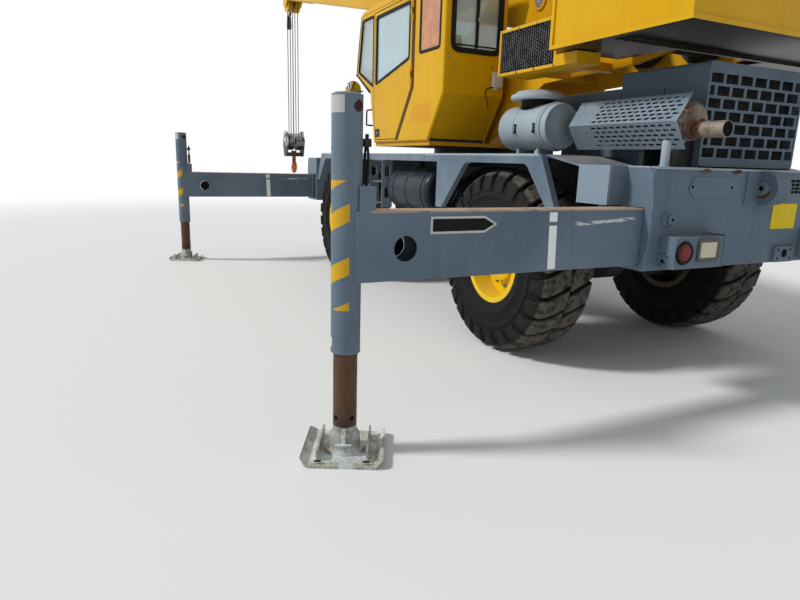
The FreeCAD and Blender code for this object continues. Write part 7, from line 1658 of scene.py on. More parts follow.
@dataclass
class Cab:
    """Window seals, door trim, lamps, mirror, grab rails and the driver's station."""

    body: str = "superstructure"
    outer: float = 1.150
    rear: float = -0.975
    middle: float = 0.8025
    low: float = 1.7715

    def frame_on(self, name: str, corners: Sequence[Point], wide: float, near: float, far: float, axis: Axis,
                 radius: float, body: str) -> None:
        """Add a rubber window frame, given in the frame of the slewing axis where it is seen from the side."""
        if axis is Axis.Y:
            corners = [(x + SLEW_X, z) for x, z in corners]
        frame_loop(corners, wide, near, far, axis, radius, Shape(name)).finish(
            Finishes.seal, body, bevel=0.003)

    def build(self) -> None:
        """Build every fitting of the cab and its door."""
        self.windows()
        self.door()
        self.outside()
        self.station()

    def windows(self) -> None:
        """Add the rubber frames of the fixed windows and the board behind the side window."""
        out = self.outer
        self.frame_on("side_window_frame", ((-0.902, 2.578), (-0.468, 2.578), (-0.468, 3.162), (-0.902, 3.162)), 0.030,
                      out - 0.012, out + 0.005, Axis.Y, 0.05, self.body)
        board = Shape("side_window_board")
        board.slab([(x + SLEW_X, z) for x, z in rounded(((-0.872, 2.608), (-0.498, 2.608), (-0.498, 3.132), (-0.872, 3.132)),
                                                        0.03)], out - 0.0115, out - 0.004, Axis.Y)
        board.finish(Finishes.board, self.body)
        x = SLEW_X + self.rear
        self.frame_on("rear_window_frame", ((0.545, 2.572), (1.060, 2.572), (1.060, 3.168), (0.545, 3.168)), 0.022,
                      x - 0.010, x + 0.014, Axis.X, 0.08, self.body)
        self.frame_on("rear_window_seal", ((0.515, 2.545), (1.088, 2.545), (1.088, 3.195), (0.515, 3.195)), 0.034,
                      x - 0.012, x - 0.0004, Axis.X, 0.10, self.body)
        divider = Shape("rear_window_divider")
        divider.block((x - 0.006, 0.785, 2.60), (x + 0.012, 0.815, 3.14))
        divider.block((x - 0.004, 0.58, 2.612), (x + 0.012, 1.03, 2.624))
        divider.finish(Finishes.seal, self.body, bevel=0.003)
        catch = Shape("rear_window_catch")
        catch.block((x - 0.014, 0.776, 2.83), (x - 0.004, 0.800, 2.87))
        catch.finish(Finishes.bolt, self.body, bevel=0.002)
        for name, front, side in (("left", 0.650 + 0.035, 1), ("right", 0.0, -1)):
            if side == 1:
                corners = ((front - 0.008, 2.362), (1.148, 2.572), (1.030, 3.158), (front - 0.008, 3.158))
                near, far = out - 0.012, out + 0.004
            else:
                corners = ((-0.893, 2.582), (0.650, 2.442), (1.133, 2.592), (1.003, 3.158), (-0.893, 3.158))
                near, far = 0.451, 0.467
            self.frame_on(f"{name}_window_frame", corners, 0.022, near, far, Axis.Y, 0.03, self.body)
        screen = Shape("windscreen_frame")
        low, high = Vector((1.190, 0, 2.602)), Vector((1.081, 0, 3.162))
        way = (high - low).normalized()
        normal = Vector((way.z, 0, -way.x))
        rings = []
        for inset, lift in ((0.0, -0.010), (0.0, 0.007), (0.028, 0.007), (0.028, -0.010)):
            corners = [(0.512 + inset, inset), (1.093 - inset, inset),
                       (1.093 - inset, (high - low).length - inset), (0.512 + inset, (high - low).length - inset)]
            rings.append([Vector((SLEW_X, 0, 0)) + low + way * t + normal * lift + Vector((0, y, 0))
                          for y, t in rounded(corners, 0.04)])
        screen.skin(rings, caps=False, wrap=True)
        screen.finish(Finishes.seal, self.body, bevel=0.002)
        wiper = Shape("windscreen_wiper")
        foot = Vector((SLEW_X, 0.80, 0)) + low + way * -0.004 + normal * 0.016
        wiper.rod(foot - normal * 0.02, foot + normal * 0.010, 0.014)
        wiper.pipe((foot, foot + way * 0.22 + Vector((0, 0.06, 0)) + normal * 0.008, foot + way * 0.40 + Vector((0, 0.10, 0))), 0.005)
        mid = foot + way * 0.40 + Vector((0, 0.10, 0)) - normal * 0.006
        wiper.rod(mid - way * 0.22 - Vector((0, 0.05, 0)), mid + way * 0.10 + Vector((0, 0.02, 0)), 0.006)
        wiper.finish(Finishes.seal, self.body)

    def door(self) -> None:
        """Add the door's window rubber, its dark gap strip, its handle and its blank patch."""
        out = self.outer
        corners = ((0.613, 2.377), (0.613, 3.128), (-0.263, 3.128), (-0.263, 2.562))
        self.frame_on("door_window_frame", corners, 0.030, out - 0.010, out + 0.006, Axis.Y, 0.045, "door")
        strip = Shape("door_rear_strip")
        levels = (out - 0.010, out + 0.0015)
        strip.slab([(x + SLEW_X, z) for x, z in ((-0.308, 3.165), (-0.372, 3.165), (-0.372, 2.275), (-0.018, 1.760), (0.050, 1.760),
                                                 (-0.308, 2.284))], *levels, Axis.Y)
        strip.finish(Finishes.strip, self.body)
        seal = Shape("door_edge_seal")
        around_door = ((0.593, 1.771), (0.6535, 2.168), (0.6535, 3.1685), (-0.303, 3.1685), (-0.303, 2.290), (0.057, 1.771))
        frame_loop([(x + SLEW_X, z) for x, z in around_door], 0.0055, out - 0.028, out - 0.001, Axis.Y, 0.012, seal)
        seal.finish(Finishes.seal, self.body)
        handle = Shape("door_latch")
        handle.slab([(x + SLEW_X, z) for x, z in rounded(((0.47, 1.80), (0.595, 1.80), (0.595, 1.895), (0.47, 1.895)), 0.012)],
                    out - 0.001, out + 0.0035, Axis.Y)
        handle.finish(Finishes.dark, "door", bevel=0.002)
        lever = Shape("door_lever")
        lever.rod(spot(0.53, out + 0.003, 1.848), spot(0.53, out + 0.008, 1.848), 0.017, 20)
        lever.slab([(x + SLEW_X, z) for x, z in rounded(((0.485, 1.838), (0.545, 1.836), (0.545, 1.860), (0.485, 1.853)), 0.008)],
                   out + 0.004, out + 0.0095, Axis.Y)
        lever.finish(Finishes.bolt, "door", bevel=0.0015)
        patch = Shape("cab_side_patch")
        patch.slab([(x + SLEW_X, z) for x, z in ((-0.270, 1.925), (-0.745, 1.925), (-0.745, 2.108), (-0.360, 2.108))],
                   out - 0.001, out + 0.0014, Axis.Y)
        patch.finish(Finishes.patch, self.body)

    def outside(self) -> None:
        """Add the mirror, grab rail, windscreen edge rubber, work lamp, wall bolts, drip rail and beacon base."""
        out = self.outer
        rail = Shape("cab_grab_rail")
        rail.pipe((spot(0.86, out - 0.10, 1.951), spot(0.86, out - 0.006, 1.951), spot(0.86, out + 0.0, 1.99),
                   spot(0.86, out + 0.0, 2.10), spot(0.84, out - 0.004, 2.12), spot(0.70, out - 0.004, 2.12),
                   spot(0.690, out - 0.03, 2.12)), 0.010)
        rail.finish(Finishes.dark, self.body)
        arm = Shape("mirror_arm")
        arm.pipe((spot(1.10, out - 0.045, 2.36), spot(1.17, out + 0.01, 2.36), spot(1.236, out + 0.03, 2.372)), 0.008)
        arm.finish(Finishes.dark, self.body)
        at = spot(1.228, out + 0.03, 2.386)
        head = Shape("mirror_head")
        head.turned(((0.098, 0.000), (0.104, 0.003), (0.106, 0.010), (0.098, 0.024), (0.055, 0.044), (0.001, 0.050)), at, Axis.X, 36)
        head.finish(Finishes.seal, self.body)
        rim = Shape("mirror_rim")
        rim.turned(((0.098, -0.003), (0.104, -0.005), (0.108, 0.002), (0.106, 0.008), (0.100, 0.006)), at, Axis.X, 36, closed=True)
        rim.finish(Finishes.chrome, self.body)
        pane = Shape("mirror_pane")
        pane.turned(((0.099, 0.002), (0.099, -0.001), (0.070, -0.006), (0.035, -0.009), (0.001, -0.010)), at, Axis.X, 36)
        pane.finish(Finishes.mirror, self.body)
        edge = Shape("windscreen_edge_rubber")
        edge.pipe((spot(1.060, out - 0.012, 3.205), spot(1.128, out - 0.010, 2.90), spot(1.192, out - 0.010, 2.58),
                   spot(1.188, out - 0.012, 2.55), spot(0.800, out - 0.012, 2.325)), 0.0135, 10, 5)
        edge.finish(Finishes.seal, self.body)
        x = SLEW_X + self.rear
        lamp = Shape("work_lamp_shell")
        lamp.slab(rounded(((0.514, 2.262), (0.619, 2.262), (0.619, 2.396), (0.514, 2.396)), 0.014), x - 0.052, x - 0.014, Axis.X)
        lamp.block((x - 0.030, 0.545, 2.235), (x + 0.004, 0.588, 2.268))
        lamp.finish(Finishes.white, self.body, bevel=0.006)
        lens = Shape("work_lamp_lens")
        lens.slab(rounded(((0.524, 2.272), (0.609, 2.272), (0.609, 2.386), (0.524, 2.386)), 0.010), x - 0.0545, x - 0.050, Axis.X)
        lens.finish(Finishes.lamp, self.body, bevel=0.001)
        wire = Shape("work_lamp_wire")
        wire.pipe(((x - 0.014, 0.600, 2.262), (x - 0.008, 0.66, 2.245), (x - 0.006, 0.675, 2.214), (x - 0.008, 0.66, 2.15),
                   (x + 0.02, 0.617, 2.069)), 0.0045)
        wire.finish(Finishes.seal, self.body)
        bolts = Shape("rear_wall_bolts")
        for y, z in ((0.614, 2.444), (1.03, 2.444), (0.50, 2.50), (1.10, 2.50)):
            bolts.turned(((0.012, 0.0), (0.011, -0.005), (0.001, -0.007)), (x, y, z), Axis.X, 12)
        bolts.finish(Finishes.bolt, self.body)
        gutter = Shape("drip_rail")
        gutter.rod(spot(-0.93, out - 0.004, 3.205), spot(1.03, out - 0.004, 3.205), 0.011, 10)
        gutter.finish(Finishes.yellow, self.body)
        beacon = Shape("roof_beacon_base")
        beacon.turned(((0.060, -0.006), (0.060, 0.004), (0.052, 0.006), (0.052, 0.0085), (0.001, 0.0088)),
                      spot(-0.35, 0.80, 3.275), Axis.Z, 24)
        beacon.finish(Finishes.seal, self.body)

    def station(self) -> None:
        """Build the seat with its cushions, the dash, the steering wheel and the levers."""
        base = Shape("seat_pedestal")
        x, y, floor = SLEW_X - 0.12, self.middle, self.low
        base.block((x - 0.17, y - 0.17, floor), (x + 0.17, y + 0.17, floor + 0.025))
        outline = rounded(((x - 0.14, y - 0.14), (x + 0.14, y - 0.14), (x + 0.14, y + 0.14), (x - 0.14, y + 0.14)), 0.03)
        rings = []
        for z, k in ((floor + 0.02, 1.0), (floor + 0.18, 0.82), (floor + 0.26, 0.82), (floor + 0.33, 1.25)):
            rings.append([Vector((x + (a - x) * k, y + (b - y) * k, z)) for a, b in outline])
        base.skin(rings)
        base.block((x - 0.21, y - 0.22, 2.085), (x + 0.21, y + 0.22, 2.115))
        base.finish(Finishes.dark, self.body, bevel=0.004, replaces=["operator_station"])
        self.cushion("seat_cushion", Vector((x, y, 2.165)), (0.225, 0.235, 0.058), 0.0)
        self.cushion("seat_back_cushion", Vector((x - 0.245, y, 2.54)), (0.315, 0.225, 0.055), math.radians(-80))
        arms = Shape("seat_arm_rests")
        for side in (1, -1):
            outline = rounded(((x - 0.20, 2.315), (x + 0.10, 2.33), (x + 0.10, 2.375), (x - 0.20, 2.36)), 0.018)
            arms.slab(outline, *sorted((y + side * 0.235, y + side * 0.275)), Axis.Y)
            arms.rod((x - 0.16, y + side * 0.255, 2.10), (x - 0.14, y + side * 0.255, 2.33), 0.014)
        arms.finish(Finishes.vinyl, self.body, bevel=0.01)
        dash = Shape("dash_panel")
        outline = [(SLEW_X + a, b) for a, b in rounded(((0.50, 2.26), (0.50, 2.40), (0.60, 2.46), (0.725, 2.315), (0.66, 2.10),
                                                       (0.58, floor), (0.52, floor)), 0.03)]
        dash.slab(outline, y - 0.235, y + 0.235, Axis.Y)
        dash.finish(Finishes.trim, self.body, bevel=0.008)
        dials = Shape("dash_dials")
        for index in range(4):
            at = Vector((SLEW_X + 0.556, y - 0.15 + 0.10 * index, 2.442))
            way = Vector((-0.5, 0, 0.86)).normalized()
            dials.rod(at - way * 0.01, at + way * 0.006, 0.033, 20)
        dials.finish(Finishes.sign_black, self.body)
        wheel = Shape("steering_wheel")
        hub = Vector((SLEW_X + 0.47, y, 2.52))
        points = [hub + Vector((0.165 * math.cos(a), 0.175 * math.sin(a), -0.045 * math.cos(a)))
                  for a in [math.tau * i / 20 for i in range(20)]]
        wheel.pipe(points, 0.013, 10, 3, loop=True)
        for a in (0.0, 2.2, 4.08):
            wheel.rod(hub - Vector((0, 0, 0.01)), hub + Vector((0.158 * math.cos(a), 0.168 * math.sin(a), -0.043 * math.cos(a))),
                      0.009, 8)
        wheel.turned(((0.034, -0.02), (0.036, 0.0), (0.030, 0.014), (0.001, 0.018)), hub, Axis.Z, 24)
        wheel.rod(hub, Vector((SLEW_X + 0.53, y, 2.30)), 0.020)
        wheel.finish(Finishes.seal, self.body)
        levers = Shape("control_levers")
        for index in range(4):
            foot = Vector((SLEW_X + 0.10 + 0.07 * index, y - 0.255, 2.12))
            levers.rod(foot, foot + Vector((0.02, 0, 0.20)), 0.006, 8)
            levers.turned(((0.010, 0.0), (0.017, 0.012), (0.017, 0.028), (0.001, 0.040)), foot + Vector((0.02, 0, 0.19)), Axis.Z, 14)
        levers.block((SLEW_X + 0.05, y - 0.285, floor), (SLEW_X + 0.36, y - 0.225, 2.13))
        levers.finish(Finishes.trim, self.body, bevel=0.002)

    def cushion(self, name: str, centre: Vector, half: Point, lean: float) -> None:
        """Add a crowned cushion with sewn channels.

        Args:
            name: name of the cushion.
            centre: its middle.
            half: half of its length, width and thickness.
            lean: turn about Y.
        """
        shape = Shape(name)
        steps = 34
        turn = Matrix.Rotation(lean, 3, "Y")
        grids = []
        for sign in (1, -1):
            rows = []
            for i in range(steps + 1):
                u = -1 + 2 * i / steps
                row = []
                for j in range(steps + 1):
                    v = -1 + 2 * j / steps
                    crown = max(0.0, (1 - u ** 6) * (1 - v ** 6)) ** 0.42
                    channel = 0.0
                    if sign == 1 and abs(u) < 0.78 and abs(v) < 0.82:
                        channel = 0.10 * math.exp(-((v * 3.0 - round(v * 3.0)) * 14) ** 2)
                    pull = 1 - 0.035 * (1 - abs(u)) * (abs(v) > 0.999) - 0.02 * (u * v) ** 4
                    point = Vector((u * half[0] * pull, v * half[1] * pull, sign * half[2] * (crown - channel)))
                    row.append(centre + turn @ point)
                rows.append(row)
            grids.append(rows)
        for rows in grids:
            shape.skin(rows, closed=False, caps=False)
        thing = shape.finish(Finishes.vinyl, self.body, angle=75)


@dataclass
class Superstructure:
    """Oil cooler core, hoses, hoist ropes, lugs and bolts above the slewing bearing."""

    body: str = "superstructure"

    def build(self) -> None:
        """Build the superstructure's fittings."""
        self.cooler()
        self.frame_fittings()
        self.counterweight()
        self.hoist("main", -2.000, 2.640, "main_drum")
        self.hoist("aux", -2.580, 2.600, "aux_drum")

    def cooler(self) -> None:
        """Add the core of the oil cooler and its frame bolts."""
        # Painted shade: a black block behind the cooler's slats.
        core = Shape("cooler_core")
        core.block(spot(-2.3875, 0.980, 2.2745), spot(-1.7025, 1.0100, 2.5875))
        core.finish(Finishes.opening_shade, self.body)
        slot = Shape("cooler_slats")
        slot.slab(rounded(((-0.0052, -0.0075), (0.0052, -0.0115), (0.0052, 0.0075), (-0.0052, 0.0115)), 0.002, 1), 1.0095, 1.0125,
                  Axis.Y)
        slot.finish(Finishes.cooler, self.body,
                    repeat=Repeat(11, (0, 0, 0.0275), 26, (0.02660, 0, 0), (0, 0, 0.01375), centre=tuple(spot(-2.3775, 0, 2.289))))
        bolts = Shape("cooler_frame_bolts")
        for x in (-2.39, -2.16, -1.93, -1.70):
            for z in (2.2625, 2.5995):
                at = spot(x, 1.0195, z)
                bolts.turned(((0.009, 0.0), (0.0085, 0.004), (0.001, 0.006)), at, Axis.Y, 10)
        bolts.finish(Finishes.bolt, self.body)

    def frame_fittings(self) -> None:
        """Add pins, a valve bank and its hoses on the turntable's cheeks."""
        for name, side in SIDES:
            pins = Shape(f"{name}_frame_pins")
            face = side * 0.3775
            for x, z, r in ((-1.35, 3.0, 0.062), (-0.45, 2.02, 0.052)):
                at = spot(x, face, z)
                pins.turned(((r, -side * 0.002), (r, side * 0.016), (r * 0.9, side * 0.020), (r * 0.3, side * 0.020),
                             (r * 0.26, side * 0.016), (0.001, side * 0.016)), at, Axis.Y, 28)
                pins.block(at + Vector((-r * 1.5, min(0, side * 0.012), -0.012)), at + Vector((r * 1.5, max(0, side * 0.012), 0.012)))
            pins.finish(Finishes.bolt, self.body, bevel=0.0015)
        bank = Shape("valve_bank")
        bank.block(spot(-0.30, 0.395, 1.90), spot(0.02, 0.44, 2.10))
        for index in range(5):
            x = -0.27 + 0.06 * index
            bank.rod(spot(x, 0.418, 2.095), spot(x, 0.418, 2.135), 0.014, 10)
            bank.rod(spot(x, 0.418, 1.865), spot(x, 0.418, 1.905), 0.012, 6)
        bank.finish(Finishes.frame_yellow, self.body, bevel=0.004)
        loops = Shape("valve_bank_hoses")
        for index in range(5):
            x = -0.27 + 0.06 * index
            loops.pipe((spot(x, 0.418, 2.13), spot(x - 0.02, 0.425, 2.22), spot(x - 0.16, 0.428, 2.27),
                        spot(x - 0.36, 0.425, 2.20), spot(x - 0.50, 0.40, 2.10)), 0.012)
        loops.finish(Finishes.seal, self.body)

    def counterweight(self) -> None:
        """Add the lifting lugs, their eyes and the bolts of the counterweight."""
        lugs = Shape("counterweight_lugs")
        for y in (0.80, -0.80):
            outline = [(SLEW_X - 3.25 + a, 2.949 + b) for a, b in ((-0.075, 0), (0.075, 0), (0.045, 0.075), (0.02, 0.095),
                                                                  (-0.02, 0.095), (-0.045, 0.075))]
            lugs.slab(outline, y - 0.016, y + 0.016, Axis.Y)
        lugs.finish(Finishes.yellow, self.body, bevel=0.004)
        # Painted shade: black discs stand for the eyes of the lugs.
        eyes = Shape("counterweight_lug_eyes")
        for y in (0.80, -0.80):
            for side in (1, -1):
                eyes.turned(((0.021, side * 0.0155), (0.021, side * 0.0168), (0.001, side * 0.0168)), spot(-3.25, y, 3.006), Axis.Y, 18)
        eyes.finish(Finishes.opening_shade, self.body)
        bolts = Shape("counterweight_bolts")
        for x in (-2.62, -2.86):
            for y in (0.60, -0.60):
                at = spot(x, y, 2.949)
                bolts.turned(((0.040, 0.0), (0.040, 0.006), (0.028, 0.008), (0.028, 0.030), (0.022, 0.034), (0.001, 0.034)), at, Axis.Z, 6)
        bolts.finish(Finishes.bolt, self.body)

    def hoist(self, name: str, x: float, z: float, drum: str) -> None:
        """Wrap a drum with rope.

        Args:
            name: name of the hoist.
            x: its axis from the slewing axis.
            z: height of its axis.
            drum: the body that the rope rides on.
        """
        radius, thick, turns = 0.172, 0.0105, 28
        rope = Shape(f"{name}_hoist_rope")
        points = []
        for i in range(turns * 14 + 1):
            angle = math.tau * i / 14
            points.append(spot(x + radius * math.cos(angle), -0.302 + 0.604 * i / (turns * 14), z + radius * math.sin(angle)))
        rope.pipe(points, thick, 7, 2)
        rope.finish(Finishes.rope, drum)
        for side in (1, -1):
            web = Shape(f"{name}_hoist_motor_{'left' if side == 1 else 'right'}")
            at = spot(x, side * 0.332, z)
            web.turned(((0.095, 0.0), (0.095, side * 0.010), (0.070, side * 0.012), (0.066, side * 0.006), (0.030, side * 0.006),
                        (0.028, side * 0.012), (0.001, side * 0.013)), at, Axis.Y, 28)
            web.finish(Finishes.cast, drum)


@dataclass
class Boom:
    """Rope guides, the rope over the boom and its head, wear pads and their bolts, and hoses at the boom's foot."""

    top: float = 0.62
    sections: tuple[tuple[str, float, float, float, float], ...] = (
        ("boom_base_section", 0.250, 9.000, 0.560, 0.700),
        ("boom_second_section", 0.760, 9.120, 0.500, 0.640),
        ("boom_third_section", 0.900, 9.240, 0.444, 0.584),
        ("boom_fly_section", 1.040, 9.330, 0.388, 0.528),
    )

    def turned(self, shape: Shape) -> Shape:
        """Turn a shape drawn along X from the pivot to the resting boom."""
        turn = Matrix.Translation(BOOM_PIVOT) @ Matrix.Rotation(-BOOM_REST, 4, "Y")
        bmesh.ops.transform(shape.mesh, matrix=turn, verts=shape.mesh.verts)
        return shape

    def build(self) -> None:
        """Build the boom's fittings."""
        pads = Shape("boom_wear_pad_bolts")
        for side in (1, -1):
            for u in (8.84, 8.93):
                for w in (-0.16, 0.30):
                    pads.turned(((0.016, 0.0), (0.015, side * 0.008), (0.001, side * 0.010)), (u, side * 0.2915, w), Axis.Y, 6)
        self.turned(pads).finish(Finishes.bolt, "boom_base_section")
        for index, (body, _, front, wide, high) in enumerate(self.sections[:3]):
            shim = Shape(f"{body}_pads")
            inner = self.sections[index + 1]
            for side in (1, -1):
                a, b = sorted((side * (inner[3] / 2 + 0.002), side * (wide / 2 - 0.004)))
                shim.block((front - 0.004, a, 0.1 - inner[4] / 2 + 0.03), (front + 0.012, b, 0.1 - inner[4] / 2 + 0.14))
                shim.block((front - 0.004, a, 0.1 + inner[4] / 2 - 0.14), (front + 0.012, b, 0.1 + inner[4] / 2 - 0.03))
            self.turned(shim).finish(Finishes.white, body, bevel=0.002)
        guide = Shape("boom_rope_guides")
        for u in (0.55, 4.6, 8.86):
            for side in (1, -1):
                a, b = sorted((side * 0.10, side * 0.112))
                guide.slab(rounded(((u - 0.05, 0.446), (u + 0.05, 0.446), (u + 0.035, 0.585), (u - 0.035, 0.585)), 0.01), a, b, Axis.Y)
            guide.rod((u, -0.115, 0.560), (u, 0.115, 0.560), 0.016)
        self.turned(guide).finish(Finishes.cast, "boom_base_section", bevel=0.001)
        self.ropes()
        self.foot_hoses()

    def ropes(self) -> None:
        """Add the hoist rope along the boom and over its head."""
        line = Shape("boom_rope_base")
        line.pipe(((0.40, 0.0, 0.585), (2.4, 0.0, 0.580), (4.6, 0.0, 0.5865), (6.8, 0.0, 0.580), (8.98, 0.0, 0.586)), 0.0095, 8, 6)
        self.turned(line).finish(Finishes.rope, "boom_base_section")
        over = Shape("boom_rope_fly")
        over.pipe(((9.02, 0.058, 0.5885), (9.20, 0.058, 0.596), (9.36, 0.058, 0.6015), (9.44, 0.058, 0.6045), (9.52, 0.058, 0.581),
                   (9.5745, 0.058, 0.48), (9.598, 0.058, 0.30), (9.641, 0.058, 0.0), (9.676, 0.058, -0.24)), 0.0095, 8, 4)
        self.turned(over).finish(Finishes.rope, "boom_fly_section")

    def foot_hoses(self) -> None:
        """Add hoses that bend from the cheeks to the boom's foot."""
        for index in range(3):
            y = -0.12 + 0.12 * index
            hose = Shape(f"boom_foot_hose_{index}")
            start, end = spot(-1.15, y, 2.52), on_boom(0.42, y, -0.20)
            hose.pipe((start, start + Vector((0.12, 0, 0.05)), start.lerp(end, 0.55) + Vector((0.08, 0, -0.06)), end - Vector((0.03, 0, 0.05)), end),
                      0.014, 8, 8)
            thing = hose.finish(Finishes.seal, "boom_base_section")
            thing.parent = None
            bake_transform(thing)


@dataclass
class HookBlock:
    """Ropes from the boom's head, the bolts on the block's cheeks, and the hook's latch."""

    x: float = 5.6175
    falls: tuple[tuple[float, float], ...] = ((-0.190, 0.058), (0.190, 0.058), (-0.190, -0.058), (0.190, -0.058), (-0.190, 0.112),
                                              (0.190, -0.112))

    def build(self) -> None:
        """Build the hook block's fittings and its falls of rope."""
        for index, (dx, y) in enumerate(self.falls):
            fall = Shape(f"rope_fall_{index}")
            head_x, head_z = HEAD.x + (0.2 if dx > 0 else -0.2), HEAD.z - 0.0
            fall.pipe(((self.x + dx * 0.97, y, 1.92), (self.x + dx, y, 2.6), (head_x * 0.5 + (self.x + dx) * 0.5, y, 3.6), (head_x, y, head_z)),
                      0.0095, 8, 5)
            thing = fall.finish(Finishes.rope, "rope_anchor_link")
            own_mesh(thing)
        body = "hook_block_body"
        for name, side in SIDES:
            face = side * 0.205
            bolts = Shape(f"{name}_block_bolts")
            at = Vector((self.x, face, 1.90))
            bolts.turned(((0.058, -side * 0.004), (0.058, -side * 0.0005), (0.040, side * 0.0), (0.001, side * 0.0)), at, Axis.Y, 6)
            bolts.finish(Finishes.bolt, body)
        latch = Shape("hook_latch")
        latch.rod((self.x + 0.098, -0.022, 1.448), (self.x + 0.098, 0.022, 1.448), 0.008, 10)
        latch.slab(((self.x + 0.092, 1.452), (self.x + 0.104, 1.452), (self.x + 0.112, 1.380), (self.x + 0.100, 1.380)), -0.016, 0.016, Axis.Y)
        latch.finish(Finishes.bolt, "hook", bevel=0.001)


class Dressing:
    """Finishes of the parts that keep their own shape."""

    coats: dict[str, str] = {
        "chassis_frame": "under", "slew_bearing": "dark", "side_decks": "deck", "outrigger_boxes": "box",
        "axle_housings": "under", "drive_line": "dark", "engine_hood": "carrier", "engine_block": "dark",
        "radiator_grille": "carrier", "muffler": "saddled", "muffler_shield": "shield", "air_cleaner": "pale",
        "side_tanks": "tank", "rear_light_boxes": "box", "turntable_frame": "frame_yellow",
        "counterweight": "ballast", "oil_cooler": "cooler_frame", "cab_left_wall": "yellow",
        "cab_right_wall": "yellow", "cab_rear_wall": "yellow", "cab_front_wall": "yellow",
        "cab_roof": "yellow", "cab_floor": "dark", "cab_glass": "glass", "cab_door": "yellow",
        "door_glass": "door_pane", "main_hoist_drum": "cast", "aux_hoist_drum": "cast", "boom_base": "yellow",
        "boom_second": "yellow", "boom_third": "yellow", "boom_fly": "yellow", "rope_anchor": "cast",
        "hook_block": "block", "load_hook": "hook", "lift_cylinder_barrel": "frame_yellow",
        "lift_cylinder_rod": "chrome",
    }

    @classmethod
    def coat(cls, node: str) -> Finish:
        """Return the finish of a node."""
        if node in cls.coats:
            return getattr(Finishes, cls.coats[node])
        for ending, name in (("_beam", "beam"), ("_jack_leg", "leg"), ("_knuckle", "under"), ("_rim", "wheel_yellow"),
                             ("_tyre", "rubber"), ("_tie_rod", "dark")):
            if node.endswith(ending):
                return getattr(Finishes, name)
        return Finishes.dark

    def build(self) -> None:
        """Coat every part and let its curved faces look smooth."""
        tree = self.softener()
        for name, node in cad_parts.items():
            material = Finishes.get(self.coat(name))
            if not node.material_slots:
                node.data.materials.append(material)
            for holder in node.material_slots:
                holder.material = material
            modifier = node.modifiers.new("smooth_faces", "NODES")
            modifier.node_group = tree
            log.info("%s is coated with %s", name, material.name)

    @staticmethod
    def softener() -> bpy.types.NodeTree:
        """Return a tree that joins loose triangles and keeps only their sharp edges sharp."""
        tree = bpy.data.node_groups.new("smooth_faces", "GeometryNodeTree")
        tree.interface.new_socket(name="Geometry", in_out="INPUT", socket_type="NodeSocketGeometry")
        tree.interface.new_socket(name="Geometry", in_out="OUTPUT", socket_type="NodeSocketGeometry")
        start, end = tree.nodes.new("NodeGroupInput"), tree.nodes.new("NodeGroupOutput")
        merge = tree.nodes.new("GeometryNodeMergeByDistance")
        merge.inputs["Distance"].default_value = 2e-5
        tree.links.new(start.outputs[0], merge.inputs["Geometry"])
        faces = tree.nodes.new("GeometryNodeSetShadeSmooth")
        tree.links.new(merge.outputs[0], faces.inputs["Geometry"])
        angle = tree.nodes.new("GeometryNodeInputMeshEdgeAngle")
        wide = tree.nodes.new("FunctionNodeCompare")
        wide.operation = "LESS_THAN"
        wide.inputs["B"].default_value = math.radians(32)
        tree.links.new(angle.outputs["Unsigned Angle"], wide.inputs["A"])
        edges = tree.nodes.new("GeometryNodeSetShadeSmooth")
        edges.domain = "EDGE"
        tree.links.new(faces.outputs[0], edges.inputs["Geometry"])
        tree.links.new(wide.outputs[0], edges.inputs["Shade Smooth"])
        tree.links.new(edges.outputs[0], end.inputs[0])
        return tree


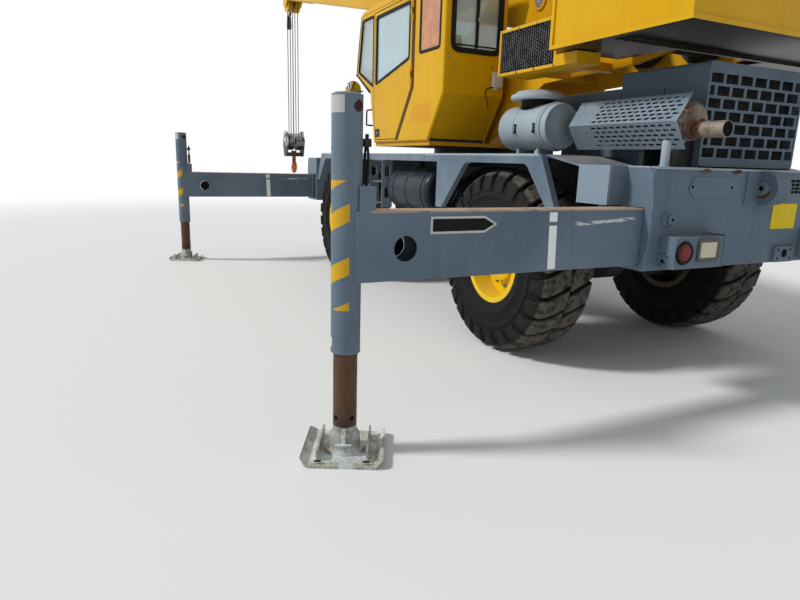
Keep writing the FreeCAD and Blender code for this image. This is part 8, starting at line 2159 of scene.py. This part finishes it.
@dataclass
class Studio:
    """A pale floor, soft light, and the camera at the photograph's angle."""

    sun_way: tuple[float, float, float] = (0.25, 0.70, 0.65)
    sun: float = 2.35
    sky: float = 0.45
    eye: tuple[float, float, float] = (-8.538, 4.100, 1.539)
    yaw: float = 26.22
    pitch: float = 12.97
    roll: float = -1.665
    lens: float = 27.19

    @staticmethod
    def shown(tree: bpy.types.NodeTree) -> Socket:
        """Return 1 for rays from the camera, a gloss or a glass."""
        path = tree.nodes.new("ShaderNodeLightPath")
        whole = path.outputs["Is Camera Ray"]
        for name in ("Is Glossy Ray", "Is Transmission Ray"):
            node = tree.nodes.new("ShaderNodeMath")
            node.operation = "MAXIMUM"
            tree.links.new(whole, node.inputs[0])
            tree.links.new(path.outputs[name], node.inputs[1])
            whole = node.outputs[0]
        return whole

    def build(self) -> None:
        """Build the floor, the lights, the world and the camera."""
        self.floor()
        self.lights()
        self.camera()
        bpy.context.scene.view_settings.view_transform = "Standard"

    def floor(self) -> None:
        """Add the floor, which fades to white away from the crane."""
        mesh = bpy.data.meshes.new("studio_floor")
        half = 60.0
        mesh.from_pydata([(-half, -half, 0), (half, -half, 0), (half, half, 0), (-half, half, 0)], [], [(0, 1, 2, 3)])
        thing = bpy.data.objects.new("studio_floor", mesh)
        bpy.context.scene.collection.objects.link(thing)
        g = Graph("studio_floor")
        g.finish((0.80, 0.80, 0.79), 0.9)
        radius = g.calc("SQRT", g.calc("ADD", g.calc("MULTIPLY", g.x, g.x), g.calc("MULTIPLY", g.y, g.y)))
        glow = g.tree.nodes.new("ShaderNodeEmission")
        glow.inputs["Strength"].default_value = 1.0
        blend = g.tree.nodes.new("ShaderNodeMixShader")
        g.tree.links.new(g.both(g.ramp(radius, 8.0, 17.0), self.shown(g.tree)), blend.inputs[0])
        g.tree.links.new(g.shader.outputs[0], blend.inputs[1])
        g.tree.links.new(glow.outputs[0], blend.inputs[2])
        g.tree.links.new(blend.outputs[0], g.output.inputs["Surface"])
        mesh.materials.append(g.material)

    def lights(self) -> None:
        """Add the key light and the world's even light."""
        data = bpy.data.lights.new("key_light", "SUN")
        data.energy = self.sun
        data.angle = math.radians(9)
        lamp = bpy.data.objects.new("key_light", data)
        lamp.rotation_euler = Vector(self.sun_way).to_track_quat("Z", "Y").to_euler()
        bpy.context.scene.collection.objects.link(lamp)
        world = bpy.data.worlds.new("studio_world")
        bpy.context.scene.world = world
        world.use_nodes = True
        tree = world.node_tree
        tree.nodes.clear()
        out = tree.nodes.new("ShaderNodeOutputWorld")
        mix = tree.nodes.new("ShaderNodeMixShader")
        soft = tree.nodes.new("ShaderNodeBackground")
        soft.inputs["Color"].default_value = (0.95, 0.98, 1.0, 1.0)
        soft.inputs["Strength"].default_value = self.sky
        white = tree.nodes.new("ShaderNodeBackground")
        white.inputs["Color"].default_value = (1.0, 1.0, 1.0, 1.0)
        white.inputs["Strength"].default_value = 1.0
        tree.links.new(self.shown(tree), mix.inputs[0])
        tree.links.new(soft.outputs[0], mix.inputs[1])
        tree.links.new(white.outputs[0], mix.inputs[2])
        tree.links.new(mix.outputs[0], out.inputs[0])

    def camera(self) -> None:
        """Place the camera where the photograph was taken from."""
        yaw, pitch, roll = (math.radians(v) for v in (self.yaw, self.pitch, self.roll))
        ahead = Vector((math.cos(yaw) * math.cos(pitch), -math.sin(yaw) * math.cos(pitch), -math.sin(pitch)))
        right = Vector((-math.sin(yaw), -math.cos(yaw), 0.0))
        down = ahead.cross(right)
        right, down = right * math.cos(roll) + down * math.sin(roll), down * math.cos(roll) - right * math.sin(roll)
        data = bpy.data.cameras.new("photo_camera")
        data.lens = self.lens
        data.sensor_width = 36.0
        data.clip_end = 200.0
        eye = bpy.data.objects.new("photo_camera", data)
        turn = Matrix((right, -down, -ahead)).transposed()
        eye.matrix_world = Matrix.Translation(Vector(self.eye)) @ turn.to_4x4()
        bpy.context.scene.collection.objects.link(eye)
        bpy.context.scene.camera = eye


def main() -> None:
    """Build the crane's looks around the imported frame."""
    logging.basicConfig(level=logging.INFO, format="%(message)s")
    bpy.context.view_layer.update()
    Studio().build()
    Dressing().build()
    Wheels().build()
    Outriggers().build()
    RearPlate().build()
    PowerPack().build()
    DeckTrim().build()
    Cab().build()
    Superstructure().build()
    Boom().build()
    HookBlock().build()


if __name__ == "__main__":
    main()
